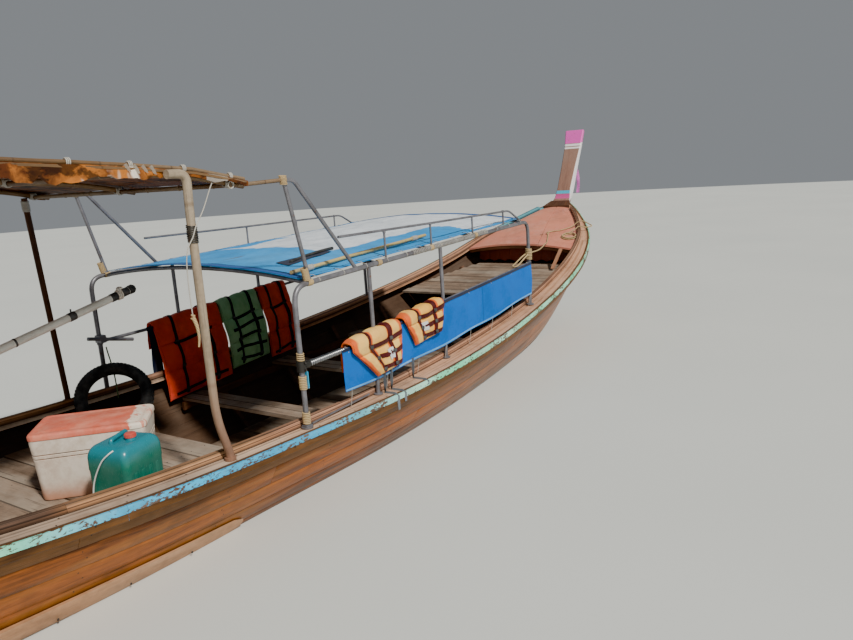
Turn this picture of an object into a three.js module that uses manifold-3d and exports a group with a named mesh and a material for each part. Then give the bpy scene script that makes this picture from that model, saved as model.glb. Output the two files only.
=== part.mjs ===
// Wooden longtail boat: tube-framed canopy, helm roof, and a swivelling engine with a long tail shaft.
// Millimetres, +X to the bow, +Y to port, +Z up. The origin is on the waterline amidships.
import * as THREE from "three";
import { mergeVertices } from "three/addons/utils/BufferGeometryUtils.js";
import Module from "manifold-3d";

const wasm = await Module();
wasm.setup();

// Clearance between pieces that touch
const GAP = 0.3;

// Hull stations: half is the breadth from the centreline to the outer edge of the rub strake, sheer the
// height of the gunwale, keel the height of the planking on the centreline, belly how full the bottom is,
// and rail the width of the gunwale from its outer edge to its inner edge.
const HULL = [
  [-5500, 690, 838, -60, 0.42, 150],
  [-4900, 780, 780, -170, 0.44, 160],
  [-4140, 900, 690, -260, 0.46, 175],
  [-3000, 1040, 592, -315, 0.5, 175],
  [-1860, 1105, 545, -330, 0.53, 167],
  [-720, 1185, 543, -330, 0.54, 217],
  [420, 1205, 594, -330, 0.51, 241],
  [1560, 1150, 690, -325, 0.47, 222],
  [2510, 1070, 813, -295, 0.42, 218],
  [3270, 965, 960, -210, 0.35, 196],
  [3840, 818, 1130, -45, 0.3, 155],
  [4315, 585, 1283, 330, 0.28, 120],
  [4695, 330, 1420, 860, 0.28, 85],
  [4900, 158, 1500, 1235, 0.28, 70],
].map(([x, half, sheer, keel, belly, rail]) => ({ x, half, sheer, keel, belly, rail }));
const TRANSOM_X = -5500;
const TRANSOM_THICK = 40;
const TRANSOM_TOP = 600;
const BOW_X = 4900;
const PLANK = 26;
const BILGE_SHARE = 0.52;
const SEAM_SHARE = 0.004;
const PLANK_JOINT_X = -2500;
const SHARES = [...spread(0, BILGE_SHARE, 4), ...spread(BILGE_SHARE, 1, 5).slice(1)];
const STATIONS = [...spread(TRANSOM_X, 2900, 16), ...spread(2900, BOW_X, 9).slice(1)];

// Gunwale: painted rub strake outside, flat washboard, raised rail board along its inner edge
const STRAKE_THICK = 30;
const STRAKE_TALL = 82;
const WASHBOARD_THICK = 30;
const RAIL_THICK = 42;
const RAIL_TALL = 46;

// Keel, stem and their depth below the planking
const KEEL_DEEP = 105;
const KEEL_HALF = 45;
const STEM_FRONT_HALF = 32;

// Stem head rings: height, rear face x and half width, front edge x and half width
const STEM_HEAD = [
  [1165, 4901, 40, 5000, 30],
  [1400, 4901, 90, 5110, 40],
  [1500, 4902, 138, 5160, 60],
  [1575, 4985, 118, 5200, 70],
  [1700, 5052, 105, 5265, 80],
  [2000, 5240, 112, 5400, 92],
  [2300, 5428, 125, 5540, 108],
  [2528, 5520, 140, 5610, 126],
].map(([z, rearX, rearHalf, frontX, frontHalf]) => ({ z, rearX, rearHalf, frontX, frontHalf }));

// Planks fastened outside the planking along the waterline aft
const STERN_PLANK = { from: -5400, to: -2230, low: 10, wide: 125, fall: 40, thick: 38, thin: 12 };

// Decks
const HELM_DECK = { from: -4980, to: -2010, top: 388, board: 190 };
const FLOOR = { from: -1880, to: 1990, top: -40, board: 480 };
const BOW_DECK = { from: 2080, to: 3600, low: 655, high: 806, board: 150 };
const BOARD_THICK = 24;
const BOARD_GAP = 8;
const FOREDECK = { from: 3454, to: 4736, crown: 66, thick: 24 };
const BULKHEAD_X = 3640;
const BULKHEAD_THICK = 22;

// Frames inside the planking
const RIB = { pitch: 820, thick: 40, wide: 46, clear: 4.5, first: -4900, last: 3300 };
const KEELSON_TALL = 62;
const KEELSON_RUNS = [
  ["aft", TRANSOM_X + 100, -2030],
  ["mid", -2030 + GAP, 1250],
  ["fore", 1250 + GAP, 3400],
];

// Thwarts and the risers that carry them
const THWART = { xs: [-1150, -50, 1050], wide: 220, thick: 34, top: 330, rise: 25, inset: PLANK + 46 };
const RISER = { past: 150, tall: 60, lap: 8, thick: 26 };

// Canopy over the passengers
const CANOPY = { aft: -1790, front: 1393, half: 1020, aftZ: 1432, midZ: 1478, frontZ: 1530, crown: 75 };
const TUBE_R = 17;
const POST_R = 20;
const POST_Y = 1026;
const MID_RAIL_Z = [[-1843, 938], [-1421, 942], [-131, 1034], [1494, 1106]];
const POST_XS = [-1100, -160];
const FRONT_POST_X = 1494;
const AFT_POST_X = -1843;
const STRUT_TOP = [-1846, 1035, 2052];
const POLE_R = 13;
const CANOPY_BAR_XS = [-1700, -980, -291, 420, 1380];
const TOP_RAIL = { path: [[-1352, 992, 1672], [-300, 1000, 1660], [1120, 1010, 1650]],
  legs: [-860, -250, 420, 1010] };
const SIDE_CLOTH = { reach: 1480, above: 14, foot: 124, thick: 8 };

// Helm roof
const ROOF = { aft: -5050, front: -2090, half: 1010, thick: 10, poleDrop: 24 };
// Near front post of the roof, bent aft along the panel's edge; the foot's heights are above the gunwale
const BENT_POST = {
  radius: 23, bend: 110,
  foot: [[-2440, -1000, 0], [-2440, -1000, 40], [-2521, -1024, 275]],
  head: [[-2531, -1034.5, 1900], [-2522, -1034.5, 2112], [-2640, -1034.5, 2112]],
};
const ROOF_SPAR_XS = [-4980, -3800, -2860, -2200];
const ROOF_POST_AFT = { x: -4700, foot: 760, head: 940, below: 54 };
const ROOF_Z = [[-5050, 2225], [-3400, 2193], [-2860, 2161], [-2442, 2126], [-2090, 2063]];

// Engine: tilt axis over the stern beam, tail shaft angle below the horizontal, tiller through two points
const PIVOT = [-5120, 0, 985];
const BEAM_TOP = 760;
const BEAM_THICK = 120;
const FORK_HALF = 200;
const PIN_R = 18;
const SHAFT_DROP_DEG = 16;
const TILLER_GRIP = [-2162, 40, 1442];
const TILLER_MID = [-3020, 40, 1249];
const TILLER_ROOT_X = -4740;
const TILLER_R = 24;
const TAIL_LENGTH = 4150;

// Engine and tail cylinders, about the tilt axis: radius, from, to, height and sides
const ENGINE_ROUNDS = [
  [116, -400, -295, 20, 24], [88, -560, -395, 10, 16], [30, 295, 330, -10, 12], [74, 315, 345, -10, 20],
  [24, 295, 325, 150, 12], [52, 318, 340, 150, 20],
];
const TAIL_ROUNDS = [
  [46, -640, -561, 10, 14], [34, -2500, -630, 10, 12], [26, 130 - TAIL_LENGTH, -2490, 10, 12],
  [38, 60 - TAIL_LENGTH, 140 - TAIL_LENGTH, 10, 12], [44, -2540, -2480, 10, 14],
];

// Propeller blade: radius, half chord, pitch angle and thickness, and its section as shares of chord and
// thickness
const BLADE = [
  [20, 30, 56, 16], [60, 48, 46, 14], [100, 62, 38, 12], [140, 64, 32, 10], [170, 52, 28, 8],
    [188, 28, 26, 6],
];
const BLADE_SECTION = [[-1, -0.25], [-1, 0.25], [0, 0.5], [1, 0.25], [1, -0.25], [0, -0.5]];

// Gear
const COOL_BOX = { x: -2710, y: -195, turn: -45, length: 564, width: 337, tall: 358, wall: 30 };
const FUEL_CAN = { x: -2830, y: -645, turn: 14, length: 290, width: 262, tall: 385, shoulder: 48 };
const FENDER = { x: -2040, y: 630, z: 608, radius: 218, tubeR: 46, turn: -122, lean: 38 };
const JACKET_FOLD = { clear: 20, thick: 34, knee: 270 };
const JACKET_PLACES = {
  near: { side: -1, out: 38, drape: 34 },
  far: { side: 1, out: 20, drape: 112 },
};
const JACKETS = [
  ["near-aft", "near", -1130, 560, 270, 170, "jacket"],
  ["near-mid", "near", -520, 540, 200, 150, "jacket"],
  ["far-aft", "far", -1060, 680, 180, 610, "jacket"],
  ["far-mid", "far", -470, 460, 180, 570, "palejacket"],
  ["far-fore", "far", -30, 370, 180, 620, "jacket"],
].map(([label, place, x, wide, outside, within, finish]) => ({ label, x, wide, outside, within, finish,
  ...JACKET_PLACES[place] }));

// Bow rope: from the front canopy post over the foredeck, round the gunwale and back to its coil
const ROPE_R = 7;
const ROPE_ROUTE = [
  [1521, -1006, 1192], [1600, -982, 1186], [1750, -935, 1176], [1900, -887, 1165], [2250, -771, 1131],
  [2600, -657, 1103], [2950, -543, 1088], [3250, -452, 1092], [3454, -388, 1084], [3561, -350, 1096],
  [3680, -310, 1129], [3760, -280, 1155], [3800, -264, 1170], [3835, -264, 1180], [3862, -286, 1186],
  [3885, -320, 1189], [3923, -380, 1193], [4010, -448, 1211], [4068, -500, 1232], [4096, -540, 1268],
  [4108, -575, 1290], [4118, -612, 1296], [4124, -660, 1280], [4118, -712, 1254], [4098, -746, 1240],
  [4060, -762, 1233], [4022, -756, 1229], [3995, -728, 1226], [3978, -692, 1226], [3966, -655, 1238],
  [3950, -615, 1234], [3925, -590, 1206], [3902, -580, 1182], [3884, -574, 1172],
];
const ROPE_COIL = { x: 3767, y: -565, z: 1136, radius: 85, wide: 36, tall: 26, pitch: -15.5, roll: 5.7 };
const ROPE_HANK = { y0: -1040, y1: -1000, outline: [[1464, 1186], [1466, 1206], [1330, 1176], [1190, 1134],
  [1176, 1122], [1190, 1112], [1330, 1150]] };

// Thin cords: one from the roof to the lashing on the bent post, one from the clamp on the far aft post
const ROOF_CORD_R = 3;
const ROOF_CORD = [
  [-2313, -983, 2073], [-2367, -1012, 2030], [-2453, -1046, 1931], [-2526, -1063, 1852],
    [-2553, -1064, 1802],
  [-2588, -1062, 1754], [-2604, -1058, 1696], [-2610, -1056, 1607], [-2612, -1056, 1509],
    [-2610, -1056, 1411],
];
const FENDER_CORD_R = 5;
const FENDER_CORD = [
  [-1836, 966, 900], [-1836, 958, 860], [-1835, 937, 780], [-1833, 924, 700], [-1832, 918, 600],
    [-1832, 917, 500],
];

const boat = new THREE.Group();

// Finishes: colour, roughness, metalness
const FINISH = {
  varnished: ["#a8622e", 0.5, 0],
  weathered: ["#8b7362", 0.85, 0],
  darkwood: ["#5a3a2a", 0.7, 0],
  railwood: ["#a9745a", 0.65, 0],
  turquoise: ["#49b3c4", 0.6, 0],
  salmon: ["#d98468", 0.65, 0],
  maroon: ["#6d2d26", 0.7, 0],
  steel: ["#7d7f80", 0.5, 0.8],
  iron: ["#3b3a38", 0.6, 0.7],
  tarp: ["#3f8fd2", 0.6, 0],
  roofing: ["#8a5a34", 0.9, 0],
  whitepipe: ["#e8e9e2", 0.4, 0],
  engine: ["#4a6a86", 0.5, 0.4],
  bronze: ["#b08a4c", 0.35, 0.9],
  coolbox: ["#e6ded0", 0.6, 0],
  orange: ["#d8694a", 0.7, 0],
  can: ["#0f6d64", 0.4, 0],
  rubber: ["#1b1b1c", 0.85, 0],
  jacket: ["#e0522c", 0.8, 0],
  palejacket: ["#a9c39a", 0.8, 0],
  rope: ["#c9b48a", 0.9, 0],
  bamboo: ["#d9c47a", 0.7, 0],
};

function add(name, geometry, finish) {
  const [color, roughness, metalness] = FINISH[finish];
  const mesh = new THREE.Mesh(geometry, new THREE.MeshStandardMaterial({ color, roughness, metalness }));
  mesh.name = name;
  boat.add(mesh);
  return mesh;
}

// Solids: to and from the boolean kernel
function bare(geometry) {
  const copy = geometry.clone();
  copy.deleteAttribute("normal");
  copy.deleteAttribute("uv");
  return copy;
}

function toSolid(geometry) {
  const merged = mergeVertices(bare(geometry), 1e-3);
  return new wasm.Manifold(new wasm.Mesh({
    numProp: 3,
    vertProperties: new Float32Array(merged.attributes.position.array),
    triVerts: new Uint32Array(merged.index.array),
  }));
}

function fromSolid(solid) {
  const mesh = solid.getMesh();
  const geometry = new THREE.BufferGeometry();
  geometry.setAttribute("position", new THREE.BufferAttribute(new Float32Array(mesh.vertProperties), 3));
  geometry.setIndex(new THREE.BufferAttribute(new Uint32Array(mesh.triVerts), 1));
  return geometry;
}

function join(...pieces) {
  return fromSolid(pieces.map(toSolid).reduce((whole, piece) => whole.add(piece)));
}

function cut(base, ...tools) {
  return fromSolid(tools.map(toSolid).reduce((left, tool) => left.subtract(tool), toSolid(base)));
}

// A closed body lofted through rings of equal point count, with flat ends
function loft(rings) {
  const count = rings[0].length;
  const position = rings.flat().flatMap((p) => [p[0], p[1], p[2]]);
  const index = [];
  for (let r = 0; r + 1 < rings.length; r += 1) {
    for (let i = 0; i < count; i += 1) {
      const j = (i + 1) % count;
      const a = r * count + i;
      const b = r * count + j;
      index.push(a, b, b + count, a, b + count, a + count);
    }
  }
  const cap = (ring) => {
    const points = ring.map((p) => new THREE.Vector3(...p));
    const normal = new THREE.Vector3();
    points.forEach((p, i) => normal.add(new THREE.Vector3().crossVectors(p, points[(i + 1) % count])));
    const turn = new THREE.Quaternion().setFromUnitVectors(normal.normalize(), new THREE.Vector3(0, 0, 1));
    const flat = points.map((p) => p.clone().applyQuaternion(turn)).map((p) => new THREE.Vector2(p.x, p.y));
    return THREE.ShapeUtils.triangulateShape(flat, []);
  };
  for (const [a, b, c] of cap(rings[0])) index.push(c, b, a);
  const last = (rings.length - 1) * count;
  for (const [a, b, c] of cap(rings.at(-1))) index.push(last + a, last + b, last + c);
  const geometry = new THREE.BufferGeometry();
  geometry.setAttribute("position", new THREE.BufferAttribute(new Float32Array(position), 3));
  geometry.setIndex(index);
  return facingOut(geometry);
}

function facingOut(geometry) {
  const at = geometry.attributes.position;
  const index = geometry.index.array;
  const [a, b, c] = [new THREE.Vector3(), new THREE.Vector3(), new THREE.Vector3()];
  let volume = 0;
  for (let i = 0; i < index.length; i += 3) {
    a.fromBufferAttribute(at, index[i]);
    b.fromBufferAttribute(at, index[i + 1]);
    c.fromBufferAttribute(at, index[i + 2]);
    volume += a.dot(b.cross(c));
  }
  if (volume < 0) geometry.setIndex(Array.from(index).reverse());
  return geometry;
}

// A round bar along a list of points
function tube(points, radius, sides = 8) {
  const path = points.map((p) => new THREE.Vector3(...p));
  let side = null;
  const rings = path.map((p, i) => {
    const before = path[Math.max(i - 1, 0)];
    const after = path[Math.min(i + 1, path.length - 1)];
    const ahead = after.clone().sub(before).normalize();
    if (side === null) {
      side = Math.abs(ahead.z) > 0.9 ? new THREE.Vector3(1, 0, 0) : new THREE.Vector3(0, 0, 1);
    }
    side = side.clone().sub(ahead.clone().multiplyScalar(side.dot(ahead))).normalize();
    const across = new THREE.Vector3().crossVectors(ahead, side);
    return Array.from({ length: sides }, (_, k) => {
      const angle = ((k + 0.5) * 2 * Math.PI) / sides;
      const q = p.clone().addScaledVector(side, radius * Math.cos(angle));
      q.addScaledVector(across, radius * Math.sin(angle));
      return [q.x, q.y, q.z];
    });
  });
  return loft(rings);
}

// Rounds each corner of a list of points
function rounded(points, reach, steps = 3) {
  const path = points.map((p) => new THREE.Vector3(...p));
  const out = [path[0]];
  for (let i = 1; i + 1 < path.length; i += 1) {
    const toBefore = path[i - 1].clone().sub(path[i]);
    const toAfter = path[i + 1].clone().sub(path[i]);
    const r = Math.min(reach, toBefore.length() * 0.45, toAfter.length() * 0.45);
    const bend = new THREE.QuadraticBezierCurve3(
      path[i].clone().add(toBefore.setLength(r)), path[i], path[i].clone().add(toAfter.setLength(r)));
    out.push(...bend.getPoints(steps));
  }
  out.push(path.at(-1));
  return out.map((p) => [p.x, p.y, p.z]);
}

function block(x0, x1, y0, y1, z0, z1) {
  const geometry = new THREE.BoxGeometry(x1 - x0, y1 - y0, z1 - z0);
  return geometry.translate((x0 + x1) / 2, (y0 + y1) / 2, (z0 + z1) / 2);
}

function rod(from, to, radius, sides = 12) {
  return tube([from, to], radius, sides);
}

function mirrorPoints(points, side) {
  return points.map(([x, y, z]) => [x, y * side, z]);
}

// Smooth value of one hull column at x
function hull(key, x) {
  let i = 0;
  while (i + 2 < HULL.length && x > HULL[i + 1].x) i += 1;
  const [p, q] = [HULL[i], HULL[i + 1]];
  const slope = (a, b) => (b[key] - a[key]) / (b.x - a.x);
  const before = HULL[i - 1] ?? p;
  const after = HULL[i + 2] ?? q;
  const m0 = before === p ? slope(p, q) : slope(before, q);
  const m1 = after === q ? slope(p, q) : slope(p, after);
  const span = q.x - p.x;
  const t = (x - p.x) / span;
  const t2 = t * t;
  const t3 = t2 * t;
  return (2 * t3 - 3 * t2 + 1) * p[key] + (t3 - 2 * t2 + t) * span * m0
    + (3 * t2 - 2 * t3) * q[key] + (t3 - t2) * span * m1;
}

// Value at x on the straight run between two stations, so that pieces at any x meet the planking's facets
function between(x, valueAt) {
  let i = 0;
  while (i + 2 < STATIONS.length && x > STATIONS[i + 1]) i += 1;
  const t = (x - STATIONS[i]) / (STATIONS[i + 1] - STATIONS[i]);
  return valueAt(STATIONS[i]) * (1 - t) + valueAt(STATIONS[i + 1]) * t;
}

function run(from, to) {
  return [from, ...STATIONS.filter((x) => x > from + 20 && x < to - 20), to];
}

// How much wider a thickness measures straight across, where the side runs at an angle
function skew(x) {
  const slope = (hull("half", Math.min(x + 20, BOW_X)) - hull("half", x - 20)) / 40;
  return Math.sqrt(1 + slope * slope);
}

// Breadth from the centreline at a distance inside the gunwale's outer edge
function inside(x, offset) {
  return between(x, (s) => Math.max(hull("half", s) - offset * skew(s), 6));
}

function sheer(x) {
  return between(x, (s) => hull("sheer", s));
}

function railWidth(x) {
  return between(x, (s) => hull("rail", s));
}

function keelZ(x) {
  return between(x, (s) => hull("keel", s));
}

// Outer face of the planking at a station, at a share of the way up from keel to gunwale
function skinAtStation(x, share) {
  const top = { y: inside(x, STRAKE_THICK + GAP), z: hull("sheer", x) - WASHBOARD_THICK - GAP };
  const keel = hull("keel", x);
  const tall = top.z - keel;
  const foot = Math.min(KEEL_HALF, top.y * 0.5);
  const belly = hull("belly", x);
  const ys = [foot, foot + belly * (top.y - foot), foot + (belly + 0.24) * (top.y - foot), top.y];
  const zs = [keel, keel + 0.01 * tall, keel + 0.44 * tall, top.z];
  const s = 1 - share;
  const mix = (v) => s ** 3 * v[0] + 3 * s * s * share * v[1] + 3 * s * share * share * v[2]
    + share ** 3 * v[3];
  return { y: mix(ys), z: mix(zs) };
}

// A point set in from the planking's outer face at a station, square to it
function inboardAtStation(x, share, depth) {
  const e = 0.01;
  const lo = skinAtStation(x, Math.max(share - e, 0));
  const hi = skinAtStation(x, Math.min(share + e, 1));
  const len = Math.hypot(hi.y - lo.y, hi.z - lo.z);
  const { y, z } = skinAtStation(x, share);
  const d = depth * skew(x);
  return { y: Math.max(y - (d * (hi.z - lo.z)) / len, 1), z: z + (depth * (hi.y - lo.y)) / len };
}

function inboard(x, share, depth) {
  return {
    y: between(x, (s) => inboardAtStation(s, share, depth).y),
    z: between(x, (s) => inboardAtStation(s, share, depth).z),
  };
}

function skin(x, share) {
  return inboard(x, share, 0);
}

// Breadth at a height, at a depth inside the planking's outer face
function breadthAt(x, z, depth) {
  const points = SHARES.map((share) => inboard(x, share, depth));
  const i = Math.max(points.findIndex((p, k) => k > 0 && z <= p.z), 1);
  const [p, q] = [points[i - 1], points[i]];
  return p.y + ((q.y - p.y) * (z - p.z)) / (q.z - p.z);
}

function spread(from, to, count) {
  return Array.from({ length: count + 1 }, (_, i) => from + ((to - from) * i) / count);
}

// Planking
function sidePlanking(side, from, to) {
  const shares = [BILGE_SHARE + SEAM_SHARE, ...SHARES.filter((s) => s > BILGE_SHARE)];
  return loft(run(from, to).map((x) => {
    const outer = shares.map((s) => skin(x, s));
    const inner = shares.map((s) => inboard(x, s, PLANK)).reverse();
    inner[0].z = Math.min(inner[0].z, outer.at(-1).z);
    return [...outer, ...inner].map((p) => [x, side * p.y, p.z]);
  }));
}

function bottomPlanking() {
  const shares = SHARES.filter((s) => s <= BILGE_SHARE);
  return loft(run(TRANSOM_X + TRANSOM_THICK, BOW_X).map((x) => {
    const outer = shares.map((s) => skin(x, s));
    const inner = shares.map((s) => inboard(x, s, PLANK));
    return [
      ...outer.map((p) => [x, -p.y, p.z]).reverse(), ...outer.map((p) => [x, p.y, p.z]),
      ...inner.map((p) => [x, p.y, p.z]).reverse(), ...inner.map((p) => [x, -p.y, p.z]),
    ];
  }));
}

// Transom board closing the stern, shaped to the inside of the planking
function transom() {
  const edge = SHARES.map((s) => skin(TRANSOM_X, s)).filter((p) => p.z < TRANSOM_TOP - 20);
  const right = [...edge, { y: breadthAt(TRANSOM_X, TRANSOM_TOP, 0), z: TRANSOM_TOP }];
  const ring = (x) => [...right.map((p) => [x, p.y, p.z]), ...right.map((p) => [x, -p.y, p.z]).reverse()];
  return loft([ring(TRANSOM_X), ring(TRANSOM_X + TRANSOM_THICK - GAP)]);
}

// Keel and lower stem, one curved timber under the planking
function keelPoint(x, depth) {
  const slope = (keelZ(Math.min(x + 15, BOW_X)) - keelZ(x - 15)) / (Math.min(x + 15, BOW_X) - x + 15);
  const len = Math.hypot(1, slope);
  return [x + (depth * slope) / len, keelZ(x) - depth / len];
}

function keel() {
  return loft(run(TRANSOM_X + 60, BOW_X - 6).map((x) => {
    const [rx, rz] = keelPoint(x, GAP);
    const [fx, fz] = keelPoint(x, KEEL_DEEP);
    return [[rx, -KEEL_HALF, rz], [rx, KEEL_HALF, rz], [fx, STEM_FRONT_HALF, fz],
      [fx, -STEM_FRONT_HALF, fz]];
  }));
}

function stemHead() {
  return loft(STEM_HEAD.map(({ z, rearX, rearHalf, frontX, frontHalf }) => [
    [rearX, -rearHalf, z], [rearX, rearHalf, z], [frontX, frontHalf, z - 10], [frontX, -frontHalf, z - 10],
  ]));
}

// Gunwale pieces: each a bar of constant section carried along the sheer
function alongSheer(side, from, to, section) {
  return loft(run(from, to).map((x) => section(railWidth(x)).map(([offset, height]) => [
    x, side * inside(x, offset), sheer(x) + height,
  ])));
}

function gunwales() {
  for (const [label, side] of [["port", 1], ["starboard", -1]]) {
    add(`rub-strake-${label}`, alongSheer(side, TRANSOM_X, BOW_X, () => [
      [0, -6], [0, -STRAKE_TALL], [STRAKE_THICK, -STRAKE_TALL], [STRAKE_THICK, 0], [5, 0]]), "turquoise");
    add(`washboard-${label}`, alongSheer(side, TRANSOM_X, BOW_X, (wide) => [
      [STRAKE_THICK + GAP, 0], [STRAKE_THICK + GAP, -WASHBOARD_THICK],
      [wide, -WASHBOARD_THICK], [wide, 0]]), "weathered");
    add(`inner-rail-${label}`, alongSheer(side, TRANSOM_X + 60, 4690, (wide) => [
      [wide, GAP], [wide, RAIL_TALL - 8], [wide - 8, RAIL_TALL],
      [wide - RAIL_THICK, RAIL_TALL], [wide - RAIL_THICK, GAP]]), "railwood");
    add(`side-planking-aft-${label}`, sidePlanking(side, TRANSOM_X + TRANSOM_THICK, PLANK_JOINT_X),
      "varnished");
    add(`side-planking-fore-${label}`, sidePlanking(side, PLANK_JOINT_X + GAP, BOW_X), "varnished");
  }
}

// Boards laid across, on two bearers
function deck({ from, to, board }, topAt, inset, cutters = []) {
  const boards = [];
  const count = Math.round((to - from) / board);
  const wide = (to - from) / count;
  for (let i = 0; i < count; i += 1) {
    const x0 = from + i * wide;
    const x1 = x0 + wide - BOARD_GAP;
    const top = (topAt(x0) + topAt(x1)) / 2;
    const half = Math.min(...[x0, x1].map((x) => breadthAt(x, top - BOARD_THICK, PLANK + inset)));
    boards.push(block(x0, x1, -half, half, top - BOARD_THICK, top));
  }
  for (const y of [-300, 300]) {
    boards.push(loft([from + 10, to - 20].map((x) => [
      [x, y - 30, topAt(x) - BOARD_THICK - 60], [x, y + 30, topAt(x) - BOARD_THICK - 60],
      [x, y + 30, topAt(x) - 10], [x, y - 30, topAt(x) - 10]])));
  }
  const whole = join(...boards);
  return cutters.length ? cut(whole, ...cutters) : whole;
}

function decks() {
  const slot = block(-2480, -2420, -760, -520, 300, 420);
  add("helm-deck", deck(HELM_DECK, () => HELM_DECK.top, 46, [slot]), "weathered");
  add("floor-boards", deck(FLOOR, () => FLOOR.top, 46), "weathered");
  const rise = (x) => BOW_DECK.low + ((BOW_DECK.high - BOW_DECK.low)
    * (x - BOW_DECK.from)) / (BOW_DECK.to - BOW_DECK.from);
  add("bow-deck", deck(BOW_DECK, rise, 46), "weathered");
}

// Frames: ribs on a stretch of keelson
function frames([label, from, to]) {
  const shares = SHARES.slice(0, -1);
  const ribs = [];
  for (let x = RIB.first; x <= RIB.last; x += RIB.pitch) {
    if (x < from || x > to) continue;
    const [x0, x1] = [x - RIB.wide / 2, x + RIB.wide / 2];
    const corner = (px, share, depth, side) => {
      const p = inboard(px, share, PLANK + depth);
      return [px, side * p.y, p.z];
    };
    const ring = (share, side) => [
      corner(x0, share, RIB.clear, side), corner(x1, share, RIB.clear, side),
      corner(x1, share, RIB.thick, side), corner(x0, share, RIB.thick, side)];
    ribs.push(loft([...shares.map((s) => ring(s, -1)).reverse(), ...shares.map((s) => ring(s, 1))]));
  }
  const keelson = loft(run(from, to).map((x) => {
    const z = keelZ(x) + PLANK + RIB.clear;
    return [[x, -40, z], [x, 40, z], [x, 40, z + KEELSON_TALL], [x, -40, z + KEELSON_TALL]];
  }));
  add(`frames-${label}`, join(keelson, ...ribs), "weathered");
}

function foredeck() {
  const across = spread(-1, 1, 8);
  return loft(run(FOREDECK.from, FOREDECK.to).map((x) => {
    const half = inside(x, railWidth(x)) - 1;
    const crown = FOREDECK.crown * (1 - (0.7 * (x - FOREDECK.from)) / (FOREDECK.to - FOREDECK.from));
    const top = across.map((a) => [x, a * half, sheer(x) - 4 + crown * (1 - a * a)]);
    const under = top.map(([px, py, pz]) => [px, py, pz - FOREDECK.thick]).reverse();
    return [...top, ...under];
  }));
}

function bulkhead() {
  const heights = spread(BOW_DECK.high + 6, sheer(BULKHEAD_X) - FOREDECK.thick - WASHBOARD_THICK - 8, 4);
  const ring = (x) => {
    const right = heights.map((z) => [x, breadthAt(BULKHEAD_X + BULKHEAD_THICK, z, PLANK + 4), z]);
    return [...right, ...right.map(([px, py, pz]) => [px, -py, pz]).reverse()];
  };
  return loft([ring(BULKHEAD_X), ring(BULKHEAD_X + BULKHEAD_THICK)]);
}

// Block over the fore end of the gunwales, let into the stem head
function breasthook() {
  const ring = (x, half, z) => [[x, -half, z], [x, half, z], [x, half, z + 28], [x, -half, z + 28]];
  return loft([ring(4740, 200, sheer(4740) + 4), ring(BOW_X - 2, 146, sheer(BOW_X - 2) + 6),
    ring(4925, 136, 1505.6)]);
}

function bow() {
  add("keel-and-stem", join(keel(), stemHead(), breasthook()), "darkwood");
  add("foredeck", foredeck(), "salmon");
  add("bow-bulkhead", bulkhead(), "maroon");
}

// Thwarts across the passenger space, on a riser along each side
function thwarts() {
  const { xs, wide, thick, top, rise, inset } = THWART;
  const topAt = (x) => top + (rise * (x - xs[0])) / (xs[1] - xs[0]);
  const seats = xs.map((x) => {
    const half = Math.min(...[x - wide / 2, x + wide / 2].map((px) => breadthAt(px, topAt(x) - thick,
      inset)));
    return block(x - wide / 2, x + wide / 2, -half, half, topAt(x) - thick, topAt(x));
  });
  const risers = [-1, 1].map((side) => loft(run(xs[0] - RISER.past, xs.at(-1) + RISER.past).map((x) => {
    const low = topAt(x) - thick - RISER.tall;
    const outer = breadthAt(x, low, inset);
    const high = topAt(x) - thick + RISER.lap;
    return [[outer - RISER.thick, low], [outer, low], [outer, high], [outer - RISER.thick, high]]
      .map(([y, z]) => [x, side * y, z]);
  })));
  return join(...seats, ...risers);
}

// Light planks bolted outside along the waterline aft
function sternPlanks() {
  for (const [label, side] of [["port", 1], ["starboard", -1]]) {
    const rings = run(STERN_PLANK.from, STERN_PLANK.to).map((x) => {
      const t = (x - STERN_PLANK.from) / (STERN_PLANK.to - STERN_PLANK.from);
      const thick = STERN_PLANK.thick - (STERN_PLANK.thick - STERN_PLANK.thin) * t ** 3;
      const low = STERN_PLANK.low - STERN_PLANK.fall * t;
      const face = spread(low, low + STERN_PLANK.wide, 4).map((z) => [breadthAt(x, z, 0) + 7, z]);
      const back = face.map(([y, z]) => [y + thick, z]).reverse();
      return [...face, ...back].map(([y, z]) => [x, side * y, z]);
    });
    add(`stern-plank-${label}`, loft(rings), "railwood");
  }
}

// Canopy frame
function eaveZ(x) {
  const t = (x - CANOPY.aft) / (CANOPY.front - CANOPY.aft);
  return t < 0.5
    ? CANOPY.aftZ + (CANOPY.midZ - CANOPY.aftZ) * t * 2
    : CANOPY.midZ + (CANOPY.frontZ - CANOPY.midZ) * (t * 2 - 1);
}

// Height on a polyline of [x, z] points
function heightOn(line, x) {
  const i = Math.max(line.findIndex(([px], k) => k > 0 && x <= px), 1);
  const [[x0, z0], [x1, z1]] = [line[i - 1], line[i]];
  return z0 + ((z1 - z0) * (x - x0)) / (x1 - x0);
}

function midRailZ(x) {
  return heightOn(MID_RAIL_Z, x);
}

function footZ(x) {
  return Math.max(sheer(x - 25), sheer(x + 25)) + GAP;
}

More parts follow.
